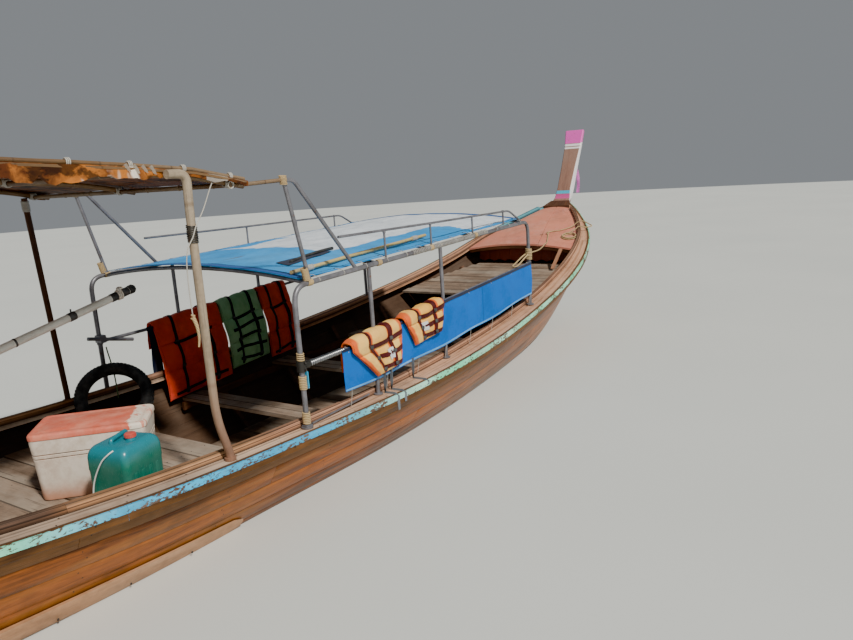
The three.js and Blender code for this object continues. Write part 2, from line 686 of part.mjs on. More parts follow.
function sideFrame(side) {
  const y = side * POST_Y;
  const frontTop = [FRONT_POST_X, y, eaveZ(CANOPY.front) - 12];
  const hoop = rounded([
    [AFT_POST_X, y, footZ(AFT_POST_X)], [AFT_POST_X, y, eaveZ(CANOPY.aft) - 4],
    [0, y, eaveZ(0)], frontTop, [FRONT_POST_X + 6, y, footZ(FRONT_POST_X)],
  ], 110);
  const pieces = [tube(hoop, TUBE_R)];
  for (const x of POST_XS) pieces.push(rod([x, y, footZ(x)], [x, y, eaveZ(x)], TUBE_R - 2, 8));
  pieces.push(tube(MID_RAIL_Z.map(([x, z]) => [x, y, z]), TUBE_R - 4));
  const top = mirrorPoints([STRUT_TOP], side)[0];
  pieces.push(rod([-1695, y, eaveZ(-1695)], top, 13, 8));
  pieces.push(tube(rounded([top, [-1765, top[1], 2050], [-1234, y, eaveZ(-1234)]], 90), 13));
  if (side > 0) {
    pieces.push(rod([-1960, 984, 988], [-1590, 984, 902], 14, 8));
    pieces.push(block(AFT_POST_X - 25, AFT_POST_X + 25, 970, POST_Y + 22, 932, 990));
  }
  return join(...pieces);
}

function topRail(side) {
  const path = [...TOP_RAIL.path, [1330, 1016, eaveZ(1330) + TUBE_R + 1]];
  const pieces = [tube(mirrorPoints(rounded(path, 60), side), 9, 6)];
  for (const x of TOP_RAIL.legs) {
    pieces.push(rod([x, side * 1004, eaveZ(x) + TUBE_R + 2], [x, side * 1003, 1660], 8, 6));
  }
  return join(...pieces);
}

// Bars across under the tarpaulin, joined by a ridge pole
function crownAt(y) {
  return CANOPY.crown * (1 - (y / CANOPY.half) ** 2);
}

function canopyRack() {
  const reach = POST_Y - TUBE_R - 3;
  const bars = CANOPY_BAR_XS.map((x) => {
    const ys = spread(-reach, reach, 4);
    return tube(ys.map((y) => [x, y, eaveZ(x) - 6 + crownAt(y)]), 14, 6);
  });
  const ends = [CANOPY_BAR_XS.at(0), CANOPY_BAR_XS.at(2), CANOPY_BAR_XS.at(-1)];
  const ridge = tube(ends.map((x) => [x, 0, eaveZ(x) - 6 + crownAt(0)]), 12, 6);
  return join(ridge, ...bars);
}

function tarpaulin() {
  const ys = spread(-985, 985, 8);
  return loft(spread(-1745, CANOPY.front, 6).map((x) => {
    const over = ys.map((y) => [x, y, eaveZ(x) + 24 + crownAt(y)]);
    const under = ys.map((y) => [x, y, eaveZ(x) + 12 + crownAt(y)]).reverse();
    return [...over, ...under];
  }));
}

function canopyPole() {
  const ends = [[-1713, -895], [-64, -831]];
  return rod(...ends.map(([x, y]) => [x, y, eaveZ(x) + 24 + crownAt(y) + POLE_R + 4]), POLE_R, 10);
}

function sideCloth() {
  const y = -(POST_Y + TUBE_R + 6);
  const { reach, above, foot, thick } = SIDE_CLOTH;
  return loft(spread(-reach, reach, 6).map((x) => {
    const [high, low] = [midRailZ(x) + above, sheer(x) + foot];
    return [[x, y, high], [x, y - thick, high], [x, y - thick, low], [x, y, low]];
  }));
}

function canopy() {
  for (const [label, side] of [["port", 1], ["starboard", -1]]) {
    add(`canopy-frame-${label}`, sideFrame(side), "steel");
    add(`canopy-top-rail-${label}`, topRail(side), "steel");
  }
  add("canopy-bars", canopyRack(), "steel");
  add("canopy-tarpaulin", tarpaulin(), "tarp");
  add("canopy-pole", canopyPole(), "bamboo");
  add("side-cloth", sideCloth(), "tarp");
}

// Helm roof: light panel on poles, carried by four posts and the front struts
function roofZ(x) {
  return heightOn(ROOF_Z, x);
}

function roofRack() {
  const xs = ROOF_Z.map(([x]) => x);
  const poles = [-960, 0, 960].map((y) => tube(xs.map((x) => [x, y, roofZ(x) - ROOF.poleDrop - 6]), 15, 6));
  const spars = ROOF_SPAR_XS.map((x) => rod(
    [x, -985, roofZ(x) - ROOF.poleDrop - 16], [x, 985, roofZ(x) - ROOF.poleDrop - 16], 14, 6));
  const links = [-1, 1].map((s) => rod([ROOF.front - 60, s * 958, roofZ(ROOF.front) - ROOF.poleDrop],
    [STRUT_TOP[0] - 18, s * 1030, STRUT_TOP[2]], 12, 6));
  return join(...poles, ...spars, ...links);
}

function roofPanel() {
  return loft(ROOF_Z.map(([x, z]) => [
    [x, -ROOF.half, z], [x, ROOF.half, z], [x, ROOF.half, z - ROOF.thick],
      [x, -ROOF.half, z - ROOF.thick]]));
}

function leaningPost([x, y], top) {
  return tube([[x, y, footZ(x)], [x, y, footZ(x) + 60], top], POST_R);
}

function helmRoof() {
  add("roof-rack", roofRack(), "bamboo");
  add("roof-panel", roofPanel(), "roofing");
  const base = footZ(BENT_POST.foot[0][0]);
  const path = [...BENT_POST.foot.map(([x, y, up]) => [x, y, base + up]), ...BENT_POST.head];
  add("roof-post-starboard", tube(rounded(path, BENT_POST.bend, 5), BENT_POST.radius, 10), "bamboo");
  add("roof-post-port", leaningPost([-2160, 1030], [-2260, 962, roofZ(-2260) - 52]), "weathered");
  const { x, foot, head, below } = ROOF_POST_AFT;
  for (const [label, side] of [["port", 1], ["starboard", -1]]) {
    add(`roof-post-aft-${label}`, leaningPost([x, side * foot], [x, side * head, roofZ(x) - below]),
      "weathered");
  }
}

// Engine on its swivel. Engine pieces are drawn level, about the tilt axis, and then turned to the shaft
// angle
const SHAFT_TILT = -THREE.MathUtils.degToRad(SHAFT_DROP_DEG);

function tilted(geometry) {
  return geometry.rotateY(SHAFT_TILT).translate(...PIVOT);
}

function round(radius, from, to, z, sides) {
  const geometry = new THREE.CylinderGeometry(radius, radius, to - from, sides);
  return geometry.rotateZ(Math.PI / 2).translate((from + to) / 2, 0, z);
}

function pinAcross(radius, y0, y1, x, z) {
  return new THREE.CylinderGeometry(radius, radius, y1 - y0, 16).translate(x, (y0 + y1) / 2, z);
}

function sternBeam() {
  const [x0, x1] = [PIVOT[0] - 110, PIVOT[0] + 110];
  const low = BEAM_TOP - BEAM_THICK;
  const half = Math.min(...[x0, x1].map((x) => breadthAt(x, low, PLANK + 3)));
  const bore = new THREE.CylinderGeometry(PIN_R + 2, PIN_R + 2, 300, 20).rotateX(Math.PI / 2);
  return cut(block(x0, x1, -half, half, low, BEAM_TOP), bore.translate(PIVOT[0], 0, low));
}

function fork() {
  const [x, , z] = PIVOT;
  const base = BEAM_TOP + 0.5;
  const plate = block(x - 60, x + 60, -FORK_HALF - 14, FORK_HALF + 14, base, base + 14);
  const arms = [-1, 1].map((s) => {
    const inner = s * FORK_HALF;
    const outer = s * (FORK_HALF + 14);
    const arm = block(x - 42, x + 42, Math.min(inner, outer), Math.max(inner, outer), base + 4, z + 44);
    return cut(arm, pinAcross(PIN_R + 0.6, -FORK_HALF - 40, FORK_HALF + 40, x, z));
  });
  const pin = new THREE.CylinderGeometry(PIN_R, PIN_R, 130, 20).rotateX(Math.PI / 2).translate(x, 0,
    base - 58);
  return join(plate, pin, ...arms);
}

function cradle() {
  const bars = [-1, 1].map((s) => block(-330, 470, s > 0 ? 150 : -180, s > 0 ? 180 : -150, -132, -102));
  const cross = [-305, 440].map((x) => block(x - 20, x + 20, -170, 170, -130, -104));
  const cheeks = [-1, 1].map((s) => block(-50, 50, s > 0 ? 166 : -180, s > 0 ? 180 : -166, -120, 40));
  const pins = [-1, 1].map((s) => pinAcross(PIN_R, s > 0 ? 172 : -FORK_HALF - 22,
    s > 0 ? FORK_HALF + 22 : -172, 0, 0));
  return join(tilted(join(...bars, ...cross, ...cheeks, ...pins)), ...tillerBracket());
}

// Two plates and two saddles that hold the tiller's root under the cradle's front cross-piece
function tillerBracket() {
  const [x0, x1] = [-4720, -4620];
  const y = TILLER_GRIP[1];
  const [near, thick] = [TILLER_R + 0.4, 7.6];
  const plates = [-1, 1].map((s) => block(x0, x1, y + Math.min(s * near, s * (near + thick)),
    y + Math.max(s * near, s * (near + thick)), 818, 1000));
  const over = block(x0, x1, y - near - thick, y + near + thick, tillerZ(x1) + TILLER_R + 4,
    tillerZ(x1) + TILLER_R + 20);
  const under = block(x0 + 20, x1 - 20, y - near - thick, y + near + thick, 818, 834);
  return [...plates, over, under];
}

function engineBlock() {
  const body = block(-300, 300, -120, 120, -60, 170);
  const sump = block(-250, 260, -90, 90, -98, -50);
  const head = block(-285, 285, -98, 98, 165, 262);
  const cover = block(-260, 262, -62, 62, 255, 318);
  const rounds = ENGINE_ROUNDS.map((row) => round(...row));
  const filter = new THREE.CylinderGeometry(88, 88, 150, 20).rotateX(Math.PI / 2).translate(70, 0, 385);
  const feet = [-1, 1].map((s) => block(-60, 60, s > 0 ? 110 : -148, s > 0 ? 148 : -110, -95, 10));
  return tilted(join(body, sump, head, cover, ...rounds, filter, ...feet));
}

function exhaust() {
  const log = block(-220, 220, -142, -99, 190, 240);
  const pipe = tube(rounded([[-180, -128, 215], [-330, -150, 235], [-420, -170, 420],
    [-430, -170, 760]], 110), 26, 10);
  const silencer = tube([[-428, -170, 470], [-430, -170, 690]], 52, 14);
  return tilted(join(log, pipe, silencer));
}

function tiller() {
  const path = [[TILLER_ROOT_X, TILLER_GRIP[1], tillerZ(TILLER_ROOT_X)], TILLER_GRIP];
  return tube(path, TILLER_R, 12);
}

function tillerZ(x) {
  const slope = (TILLER_GRIP[2] - TILLER_MID[2]) / (TILLER_GRIP[0] - TILLER_MID[0]);
  return TILLER_MID[2] + slope * (x - TILLER_MID[0]);
}

function tail() {
  const rounds = TAIL_ROUNDS.map((row) => round(...row));
  const stay = tube([[-640, 0, 40], [-1500, 0, 120], [-2500, 0, 36]], 11, 6);
  const struts = [-1100, -1900].map((x) => rod([x, 0, 20], [x, 0, 88], 9, 6));
  const plate = loft([-4, 4].map((y) => [
    [-TAIL_LENGTH + 90, y, 0], [-TAIL_LENGTH + 420, y, 0], [-TAIL_LENGTH + 260, y, -190],
      [-TAIL_LENGTH + 110, y, -230]]));
  return tilted(join(...rounds, stay, ...struts, plate));
}

function propeller() {
  const at = -TAIL_LENGTH;
  const hub = round(34, at - 60, at + 50, 10, 16);
  const tip = new THREE.ConeGeometry(34, 60, 16).rotateZ(Math.PI / 2).translate(at - 88, 0, 10);
  const blades = [0, 1, 2].map((k) => loft(BLADE.map(([r, chord, pitchDeg, thick]) => {
    const pitch = THREE.MathUtils.degToRad(pitchDeg);
    const [ux, uy] = [Math.sin(pitch), Math.cos(pitch)];
    return BLADE_SECTION.map(([c, t]) => [c * chord * ux + t * thick * uy, c * chord * uy - t
      * thick * ux, r]);
  })).rotateX((k * 2 * Math.PI) / 3).translate(at - 5, 0, 10));
  return tilted(join(hub, tip, ...blades));
}

function engine() {
  add("stern-beam", sternBeam(), "darkwood");
  add("swivel-fork", fork(), "iron");
  add("engine-cradle", cradle(), "iron");
  add("engine-block", engineBlock(), "engine");
  add("exhaust-pipe", exhaust(), "iron");
  add("tiller-pipe", tiller(), "whitepipe");
  add("tail-tube", tail(), "iron");
  add("propeller", propeller(), "bronze");
}

// Gear that lives on the boat
function placed(geometry, x, y, z, turnDeg) {
  return geometry.rotateZ(THREE.MathUtils.degToRad(turnDeg)).translate(x, y, z);
}

function taperedBox(length, width, tall, spreadTop) {
  return loft([[0, 1], [tall, spreadTop]].map(([z, k]) => [
    [(-length / 2) * k, (-width / 2) * k, z], [(length / 2) * k, (-width / 2) * k, z],
    [(length / 2) * k, (width / 2) * k, z], [(-length / 2) * k, (width / 2) * k, z]]));
}

function coolBox() {
  const { x, y, turn, length, width, tall, wall } = COOL_BOX;
  const z = HELM_DECK.top + GAP;
  const body = cut(taperedBox(length, width, tall, 1.08),
    taperedBox(length - 2 * wall, width - 2 * wall, tall, 1.08).translate(0, 0, wall));
  add("cool-box", placed(body, x, y, z, turn), "coolbox");
  const lid = loft([[0, 1.1], [26, 1.1], [34, 1.05]].map(([h, k]) => [
    [(-length / 2) * k, (-width / 2) * k, h], [(length / 2) * k, (-width / 2) * k, h],
    [(length / 2) * k, (width / 2) * k, h], [(-length / 2) * k, (width / 2) * k, h]]));
  add("cool-box-lid", placed(lid, x, y, z + tall + GAP, turn), "orange");
}

function fuelCan() {
  const { x, y, turn, length, width, tall, shoulder } = FUEL_CAN;
  const body = loft([[0, 0.92], [14, 1], [tall - shoulder, 0.98], [tall - 12, 0.86],
    [tall, 0.7]].map(([h, k]) => {
    const [a, b, c] = [(length / 2) * k, (width / 2) * k, 34 * k];
    return [[-a, -b + c, h], [-a + c, -b, h], [a - c, -b, h], [a, -b + c, h],
      [a, b - c, h], [a - c, b, h], [-a + c, b, h], [-a, b - c, h]];
  }));
  const neck = new THREE.CylinderGeometry(29, 29, 48, 16).rotateX(Math.PI / 2).translate(2, -50, tall + 14);
  const grip = tube(rounded([[-62, 18, tall - 12], [-62, 18, tall + 30], [72, 44, tall + 30],
    [72, 44, tall - 12]], 26), 11, 8);
  add("fuel-can", placed(join(body, neck, grip), x, y, HELM_DECK.top + GAP, turn), "can");
}

function ringFender() {
  const { x, y, z, radius, tubeR, turn, lean } = FENDER;
  const ring = new THREE.TorusGeometry(radius, tubeR, 8, 20);
  ring.rotateY(THREE.MathUtils.degToRad(90 - lean));
  add("ring-fender", placed(ring, x, y, z, turn), "rubber");
}

// A life jacket folded over a rail
function jacket({ x, wide, side, outside, within, out, drape }) {
  const { clear, thick, knee } = JACKET_FOLD;
  const z = midRailZ(x);
  const y = POST_Y;
  const bend = z - Math.min(knee, within * 0.6);
  const slope = (midRailZ(x + 50) - midRailZ(x - 50)) / 100;
  const profile = [
    [y + out, z - outside], [y + out + thick, z - outside], [y + out + thick, z + clear],
    [y + out - 6, z + clear + thick], [y - clear, z + clear + thick], [y - clear - thick, z + clear],
    [y - drape - thick, bend], [y - drape - thick, z - within], [y - drape, z - within], [y - drape, bend],
    [y - clear, z], [y - clear / 2, z + clear], [y + out, z + clear]];
  const folded = loft([x - wide / 2, x + wide / 2].map((px) => profile.map(([py, pz]) => [
    px, side * py, pz + slope * (px - x)])));
  const [y0, y1] = [side * y - clear, side * y + clear];
  const notches = POST_XS.filter((px) => Math.abs(px - x) < wide / 2)
    .map((px) => block(px - clear, px + clear, y0, y1, z - 100, z + 200));
  return notches.length ? cut(folded, ...notches) : folded;
}

function jackets() {
  for (const row of JACKETS) add(`life-jacket-${row.label}`, jacket(row), row.finish);
}

// A flat outline in the X and Z plane, given thickness along Y
function slab(outline, y0, y1) {
  return loft([y0, y1].map((y) => outline.map(([x, z]) => [x, y, z])));
}

// Coil of rope as a turned ring lying on the crowned foredeck
function ropeCoil() {
  const { x, y, z, radius, wide, tall, pitch, roll } = ROPE_COIL;
  const section = spread(0, 8, 8).map((k) => new THREE.Vector2(
    radius + (wide / 2) * Math.cos((k * Math.PI) / 4), (tall / 2) * Math.sin((k * Math.PI) / 4)));
  const ring = new THREE.LatheGeometry(section, 28).rotateX(Math.PI / 2);
  ring.rotateX(THREE.MathUtils.degToRad(roll)).rotateY(THREE.MathUtils.degToRad(pitch));
  return facingOut(mergeVertices(bare(ring), 1e-3)).translate(x, y, z);
}

function cords() {
  add("bow-rope", tube(ROPE_ROUTE, ROPE_R, 8), "rope");
  add("bow-rope-coil", ropeCoil(), "rope");
  add("bow-rope-hank", slab(ROPE_HANK.outline, ROPE_HANK.y0, ROPE_HANK.y1), "rope");
  add("roof-cord", tube(ROOF_CORD, ROOF_CORD_R, 8), "rope");
  add("fender-cord", tube(FENDER_CORD, FENDER_CORD_R, 8), "rope");
}

add("bottom-planking", bottomPlanking(), "varnished");
add("transom", transom(), "varnished");
KEELSON_RUNS.forEach(frames);
gunwales();
bow();
decks();
add("thwarts", thwarts(), "weathered");
sternPlanks();
canopy();
helmRoof();
engine();
coolBox();
fuelCan();
ringFender();
jackets();
cords();

export default boat;
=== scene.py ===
"""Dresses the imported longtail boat: timber, canopy, cloth, engine and gear, each with its own finish."""

import random
from math import atan2, copysign, cos, exp, hypot, pi, radians, sin, sqrt, tan

import bmesh
import bpy
from bpy.props import FloatProperty, FloatVectorProperty, PointerProperty
from mathutils import Matrix, Vector, noise


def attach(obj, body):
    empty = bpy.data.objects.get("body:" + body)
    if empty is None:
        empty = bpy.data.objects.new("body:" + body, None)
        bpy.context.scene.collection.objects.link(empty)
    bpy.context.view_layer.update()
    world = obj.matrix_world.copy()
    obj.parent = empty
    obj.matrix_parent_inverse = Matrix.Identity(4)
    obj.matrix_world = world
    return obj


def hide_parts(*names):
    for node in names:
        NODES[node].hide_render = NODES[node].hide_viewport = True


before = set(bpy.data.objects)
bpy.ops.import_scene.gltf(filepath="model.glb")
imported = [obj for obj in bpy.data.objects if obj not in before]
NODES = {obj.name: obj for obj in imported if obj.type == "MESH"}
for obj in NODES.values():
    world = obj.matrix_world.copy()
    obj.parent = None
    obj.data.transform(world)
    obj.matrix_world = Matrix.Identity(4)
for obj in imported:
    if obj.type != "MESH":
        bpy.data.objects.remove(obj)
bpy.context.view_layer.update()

bl_info = {
    "name": "Longtail Boat",
    "version": (1, 0, 0),
    "blender": (4, 5, 0),
    "location": "View3D > Sidebar > Longtail Boat",
    "description": "Adds the timber, canopy, engine and gear of a wooden longtail boat to its packed frame",
    "category": "Add Mesh",
}

X, Y, Z = (1, 0, 0), (0, 1, 0), (0, 0, 1)
UP = Vector(Z)
SIDES = (("port", 1), ("starboard", -1))

# Hull stations in metres: x, half breadth, sheer, keel, fullness of the bottom, gunwale width
HULL = [
    (-5.5, .69, .838, -.06, .42, .15), (-4.9, .78, .78, -.17, .44, .16), (-4.14, .9, .69, -.26, .46, .175),
    (-3, 1.04, .592, -.315, .5, .175), (-1.86, 1.105, .545, -.33, .53, .167), (-.72, 1.185, .543, -.33, .54, .217),
    (.42, 1.205, .594, -.33, .51, .241), (1.56, 1.15, .69, -.325, .47, .222), (2.51, 1.07, .813, -.295, .42, .218),
    (3.27, .965, .96, -.21, .35, .196), (3.84, .818, 1.13, -.045, .3, .155), (4.315, .585, 1.283, .33, .28, .12),
    (4.695, .33, 1.42, .86, .28, .085), (4.9, .158, 1.5, 1.235, .28, .07),
]
HALF, SHEER, KEEL, BELLY, RAIL = 1, 2, 3, 4, 5
STERN_X, BOW_X = -5.5, 4.9
PLANK = .026
KEEL_HALF = .045
TRANSOM_THICK = .0397
JOINT_GAP = .0008
FRAME_DEEP = .046
BILGE = .52
STRAKE_THICK = .03
WASHBOARD_THICK = .03
RAIL_THICK, RAIL_TALL = .042, .046
RAIL_GROOVES = (.009, .0195, .030)
STERN_PLANK = {"aft": -5.4, "fore": -2.23, "tall": .125, "thick": .038}
FOREDECK = {"from": 3.454, "to": 4.736, "crown": .066, "thick": .024}


# ---------------------------------------------------------------- hull surface

def hull(column, x):
    """Smooth value of one column of the HULL table at x."""
    i = 0
    while i + 2 < len(HULL) and x > HULL[i + 1][0]:
        i += 1
    p, q = HULL[i], HULL[i + 1]

    def slope(a, b):
        return (b[column] - a[column]) / (b[0] - a[0])

    start = slope(p, q) if i == 0 else slope(HULL[i - 1], q)
    end = slope(p, q) if i + 2 >= len(HULL) else slope(p, HULL[i + 2])
    span = q[0] - p[0]
    t = (x - p[0]) / span
    return ((2 * t**3 - 3 * t**2 + 1) * p[column] + (t**3 - 2 * t**2 + t) * span * start
            + (3 * t**2 - 2 * t**3) * q[column] + (t**3 - t**2) * span * end)


def skew(x):
    slope = (hull(HALF, min(x + .02, BOW_X)) - hull(HALF, x - .02)) / .04
    return sqrt(1 + slope * slope)


def inside(x, offset):
    """Breadth from the centreline at a distance inside the gunwale's outer edge."""
    return max(hull(HALF, x) - offset * skew(x), .006)


def sheer(x):
    return hull(SHEER, x)


def skin_point(x, share):
    top_y, top_z = inside(x, STRAKE_THICK), sheer(x) - WASHBOARD_THICK
    keel = hull(KEEL, x)
    tall = top_z - keel
    foot = min(KEEL_HALF, top_y * .5)
    belly = hull(BELLY, x)
    ys = (foot, foot + belly * (top_y - foot), foot + (belly + .24) * (top_y - foot), top_y)
    zs = (keel, keel + .01 * tall, keel + .44 * tall, top_z)
    s = 1 - share
    k = (s**3, 3 * s * s * share, 3 * s * share * share, share**3)
    return sum(a * b for a, b in zip(k, ys)), sum(a * b for a, b in zip(k, zs))


def skin(x, share, depth=0.0):
    """(y, z) on the planking at a share of the way up, a depth in from the outer face."""
    y, z = skin_point(x, share)
    if depth == 0:
        return y, z
    lo, hi = skin_point(x, max(share - .01, 0)), skin_point(x, min(share + .01, 1))
    dy, dz = hi[0] - lo[0], hi[1] - lo[1]
    size = hypot(dy, dz)
    return max(y - depth * skew(x) * dz / size, .001), z + depth * dy / size


def breadth_at(x, z, depth=0.0):
    before = skin(x, 0, depth)
    for k in range(1, 25):
        after = skin(x, k / 24, depth)
        if z <= after[1] or k == 24:
            return before[0] + (after[0] - before[0]) * (z - before[1]) / (after[1] - before[1])
        before = after


def deck_z(x, y):
    """Top of the crowned foredeck."""
    half = inside(x, hull(RAIL, x)) - .001
    crown = FOREDECK["crown"] * (1 - .7 * (x - FOREDECK["from"]) / (FOREDECK["to"] - FOREDECK["from"]))
    return sheer(x) - .004 + crown * (1 - min(abs(y) / half, 1)**2)


def spread(start, end, count):
    return [start + (end - start) * i / count for i in range(count + 1)]


def clamp(value):
    return min(max(value, 0), 1)


def wobble(x, y, z, size=1.0, seed=0.0):
    return noise.noise(Vector((x * size + seed, y * size + seed * 1.7, z * size - seed)))


# ---------------------------------------------------------------- shapes

class Shape:
    """Vertices, faces, grain coordinates, tone and edge marks gathered for one piece."""

    def __init__(self):
        self.verts, self.faces, self.slots, self.grain, self.tone, self.edge = [], [], [], [], [], []

    def loft(self, rings, slot=0, tone=.5, edge=None, caps=True, start=(0, 0)):
        count, base = len(rings[0]), len(self.verts)
        rings = [[Vector(p) for p in ring] for ring in rings]
        middles = [sum(ring, Vector()) / count for ring in rings]
        along = [start[0]]
        for a, b in zip(middles, middles[1:]):
            along.append(along[-1] + (b - a).length)
        kinds = slot if isinstance(slot, list) else [slot] * count
        widest = rings[len(rings) // 2]
        around = [start[1]]
        for k in range(count):
            around.append(around[-1] + (widest[(k + 1) % count] - widest[k]).length)
        for ring in rings:
            self.verts += [tuple(p) for p in ring]
            self.tone += [tone] * count
            self.edge += edge or [0.0] * count
        for r in range(len(rings) - 1):
            a = base + r * count
            for k in range(count):
                j = (k + 1) % count
                self.faces.append((a + k, a + j, a + count + j, a + count + k))
                self.slots.append(kinds[k])
                self.grain += [(along[r], around[k]), (along[r], around[k + 1]),
                               (along[r + 1], around[k + 1]), (along[r + 1], around[k])]
        if caps:
            for first, flip in ((base, True), (base + (len(rings) - 1) * count, False)):
                face = list(range(first, first + count))
                self.faces.append(tuple(reversed(face)) if flip else tuple(face))
                self.slots.append(kinds[0])
                self.grain += [(self.verts[k][1], self.verts[k][2]) for k in self.faces[-1]]
        return self

    def join(self, other):
        base = len(self.verts)
        self.faces += [tuple(base + i for i in f) for f in other.faces]
        for key in ("verts", "slots", "grain", "tone", "edge"):
            getattr(self, key).extend(getattr(other, key))

    def sweep(self, path, section, slot=0, tone=.5, bevel=0.0, up=UP, caps=True):
        """A section of (across, upward) points carried along a path, its ends drawn in by bevel."""
        path = [Vector(p) for p in path]
        frames = []
        for i, p in enumerate(path):
            ahead = (path[min(i + 1, len(path) - 1)] - path[max(i - 1, 0)]).normalized()
            across = ahead.cross(up).normalized()
            frames.append((p, ahead, across, across.cross(ahead)))
        middle = (sum(s[0] for s in section) / len(section), sum(s[1] for s in section) / len(section))
        reach = max(max(abs(s[0] - middle[0]), abs(s[1] - middle[1])) for s in section)

        def ring(stand, shrink, shift):
            p, ahead, across, upward = stand
            k = 1 - shrink / reach
            return [p + ahead * shift + across * (middle[0] + (a - middle[0]) * k)
                    + upward * (middle[1] + (b - middle[1]) * k) for a, b in section]

        rings = [ring(f, 0, 0) for f in frames]
        if bevel:
            rings[0] = ring(frames[0], 0, bevel)
            rings[-1] = ring(frames[-1], 0, -bevel)
            rings = [ring(frames[0], bevel, 0)] + rings + [ring(frames[-1], bevel, 0)]
        return self.loft(rings, slot, tone, caps=caps)

    def pipe(self, points, radius, sides=12, slot=0, tone=.5):
        """A round bar along points. radius is a number or a function of the share of the length."""
        path = [Vector(p) for p in points]
        lengths = [0.0]
        for a, b in zip(path, path[1:]):
            lengths.append(lengths[-1] + (b - a).length)
        side = None
        rings = []
        for i, p in enumerate(path):
            ahead = (path[min(i + 1, len(path) - 1)] - path[max(i - 1, 0)]).normalized()
            if side is None:
                side = Vector(X) if abs(ahead.z) > .9 else Vector(Z)
            side = (side - ahead * side.dot(ahead)).normalized()
            across = ahead.cross(side)
            r = radius(lengths[i] / lengths[-1]) if callable(radius) else radius
            rings.append([p + side * r * cos(2 * pi * (k + .5) / sides)
                          + across * r * sin(2 * pi * (k + .5) / sides) for k in range(sides)])
        return self.loft(rings, slot, tone)

    def turned(self, profile, at, axis=UP, sides=24):
        """A closed turned body: profile rows are (distance along the axis, radius)."""
        axis = Vector(axis).normalized()
        one = axis.orthogonal().normalized()
        two = axis.cross(one)
        at = Vector(at)
        rings = [[at + axis * d + one * r * cos(2 * pi * k / sides) + two * r * sin(2 * pi * k / sides)
                  for k in range(sides)] for d, r in profile]
        return self.loft(rings)

    def box(self, low, high, bevel=.003, slot=0):
        """A box with bevelled edges, built as stacked rounded rings."""
        (x0, y0, z0), (x1, y1, z1) = low, high
        b = min(bevel, (x1 - x0) / 2.1, (y1 - y0) / 2.1, (z1 - z0) / 2.1)

        def ring(z, inset):
            i = b + inset
            j = inset
            pts = [(x0 + j, y0 + i), (x0 + i, y0 + j), (x1 - i, y0 + j), (x1 - j, y0 + i),
                   (x1 - j, y1 - i), (x1 - i, y1 - j), (x0 + i, y1 - j), (x0 + j, y1 - i)]
            return [Vector((x, y, z)) for x, y in pts]

        rings = [ring(z0, b * .999), ring(z0 + b, 0), ring(z1 - b, 0), ring(z1, b * .999)]
        return self.loft(rings, slot)

    def two_faced(self, front, back, cols, grain):
        """A sheet of two faces and a rim, from rows of cols points each; grain(row, column) places its weave."""
        total = len(front)
        rows = total // cols
        self.verts = [tuple(p) for p in front + back]
        self.tone = [.5] * (2 * total)
        self.edge = [0.0] * (2 * total)

        def face(*corners):
            self.faces.append(corners)
            self.slots.append(0)
            self.grain += [grain(k % total // cols, k % cols) for k in corners]

        for r in range(rows - 1):
            for c in range(cols - 1):
                a = r * cols + c
                face(a, a + cols, a + cols + 1, a + 1)
                face(total + a, total + a + 1, total + a + cols + 1, total + a + cols)
        rim = ([r * cols for r in range(rows)] + [(rows - 1) * cols + c for c in range(1, cols)]
               + [r * cols + cols - 1 for r in range(rows - 2, -1, -1)] + [c for c in range(cols - 2, 0, -1)])
        for a, b in zip(rim, rim[1:] + rim[:1]):
            face(a, total + a, total + b, b)
        return self


def catmull(points, steps):
    """Smooth path through points."""
    pts = [Vector(p) for p in points]
    out = []
    for i in range(len(pts) - 1):
        p0, p1, p2, p3 = pts[max(i - 1, 0)], pts[i], pts[i + 1], pts[min(i + 2, len(pts) - 1)]
        for k in range(steps):
            t = k / steps
            out.append(.5 * ((2 * p1) + (p2 - p0) * t + (2 * p0 - 5 * p1 + 4 * p2 - p3) * t * t
                             + (3 * p1 - p0 - 3 * p2 + p3) * t**3))
    return out + [pts[-1]]


def rounded(points, reach, steps=6):
    """Rounds the corners of a path."""
    pts = [Vector(p) for p in points]
    out = [pts[0]]
    for i in range(1, len(pts) - 1):
        back, on = pts[i - 1] - pts[i], pts[i + 1] - pts[i]
        r = min(reach, back.length * .45, on.length * .45)
        a, c = pts[i] + back.normalized() * r, pts[i] + on.normalized() * r
        for k in range(steps + 1):
            t = k / steps
            out.append(a * (1 - t)**2 + pts[i] * 2 * t * (1 - t) + c * t * t)
    return out + [pts[-1]]


def path_length(points):
    return sum((Vector(b) - Vector(a)).length for a, b in zip(points, points[1:]))


def mesh_of(name, shape):
    mesh = bpy.data.meshes.new(name)
    mesh.from_pydata(shape.verts, [], shape.faces)
    uv = mesh.uv_layers.new(name="grain")
    uv.data.foreach_set("uv", [c for pair in shape.grain for c in pair])
    for key, values in (("tone", shape.tone), ("edge", shape.edge)):
        mesh.attributes.new(key, "FLOAT", "POINT").data.foreach_set("value", values)
    mesh.polygons.foreach_set("material_index", shape.slots)
    return mesh


def face_out(mesh, weld=0.0):
    bm = bmesh.new()
    bm.from_mesh(mesh)
    if weld:
        bmesh.ops.remove_doubles(bm, verts=bm.verts, dist=weld)
    bmesh.ops.recalc_face_normals(bm, faces=bm.faces)
    bm.to_mesh(mesh)
    bm.free()


def smooth(mesh, angle):
    mesh.polygons.foreach_set("use_smooth", [True] * len(mesh.polygons))
    mesh.set_sharp_from_angle(angle=radians(angle))


def link(obj):
    bpy.context.scene.collection.objects.link(obj)
    return obj


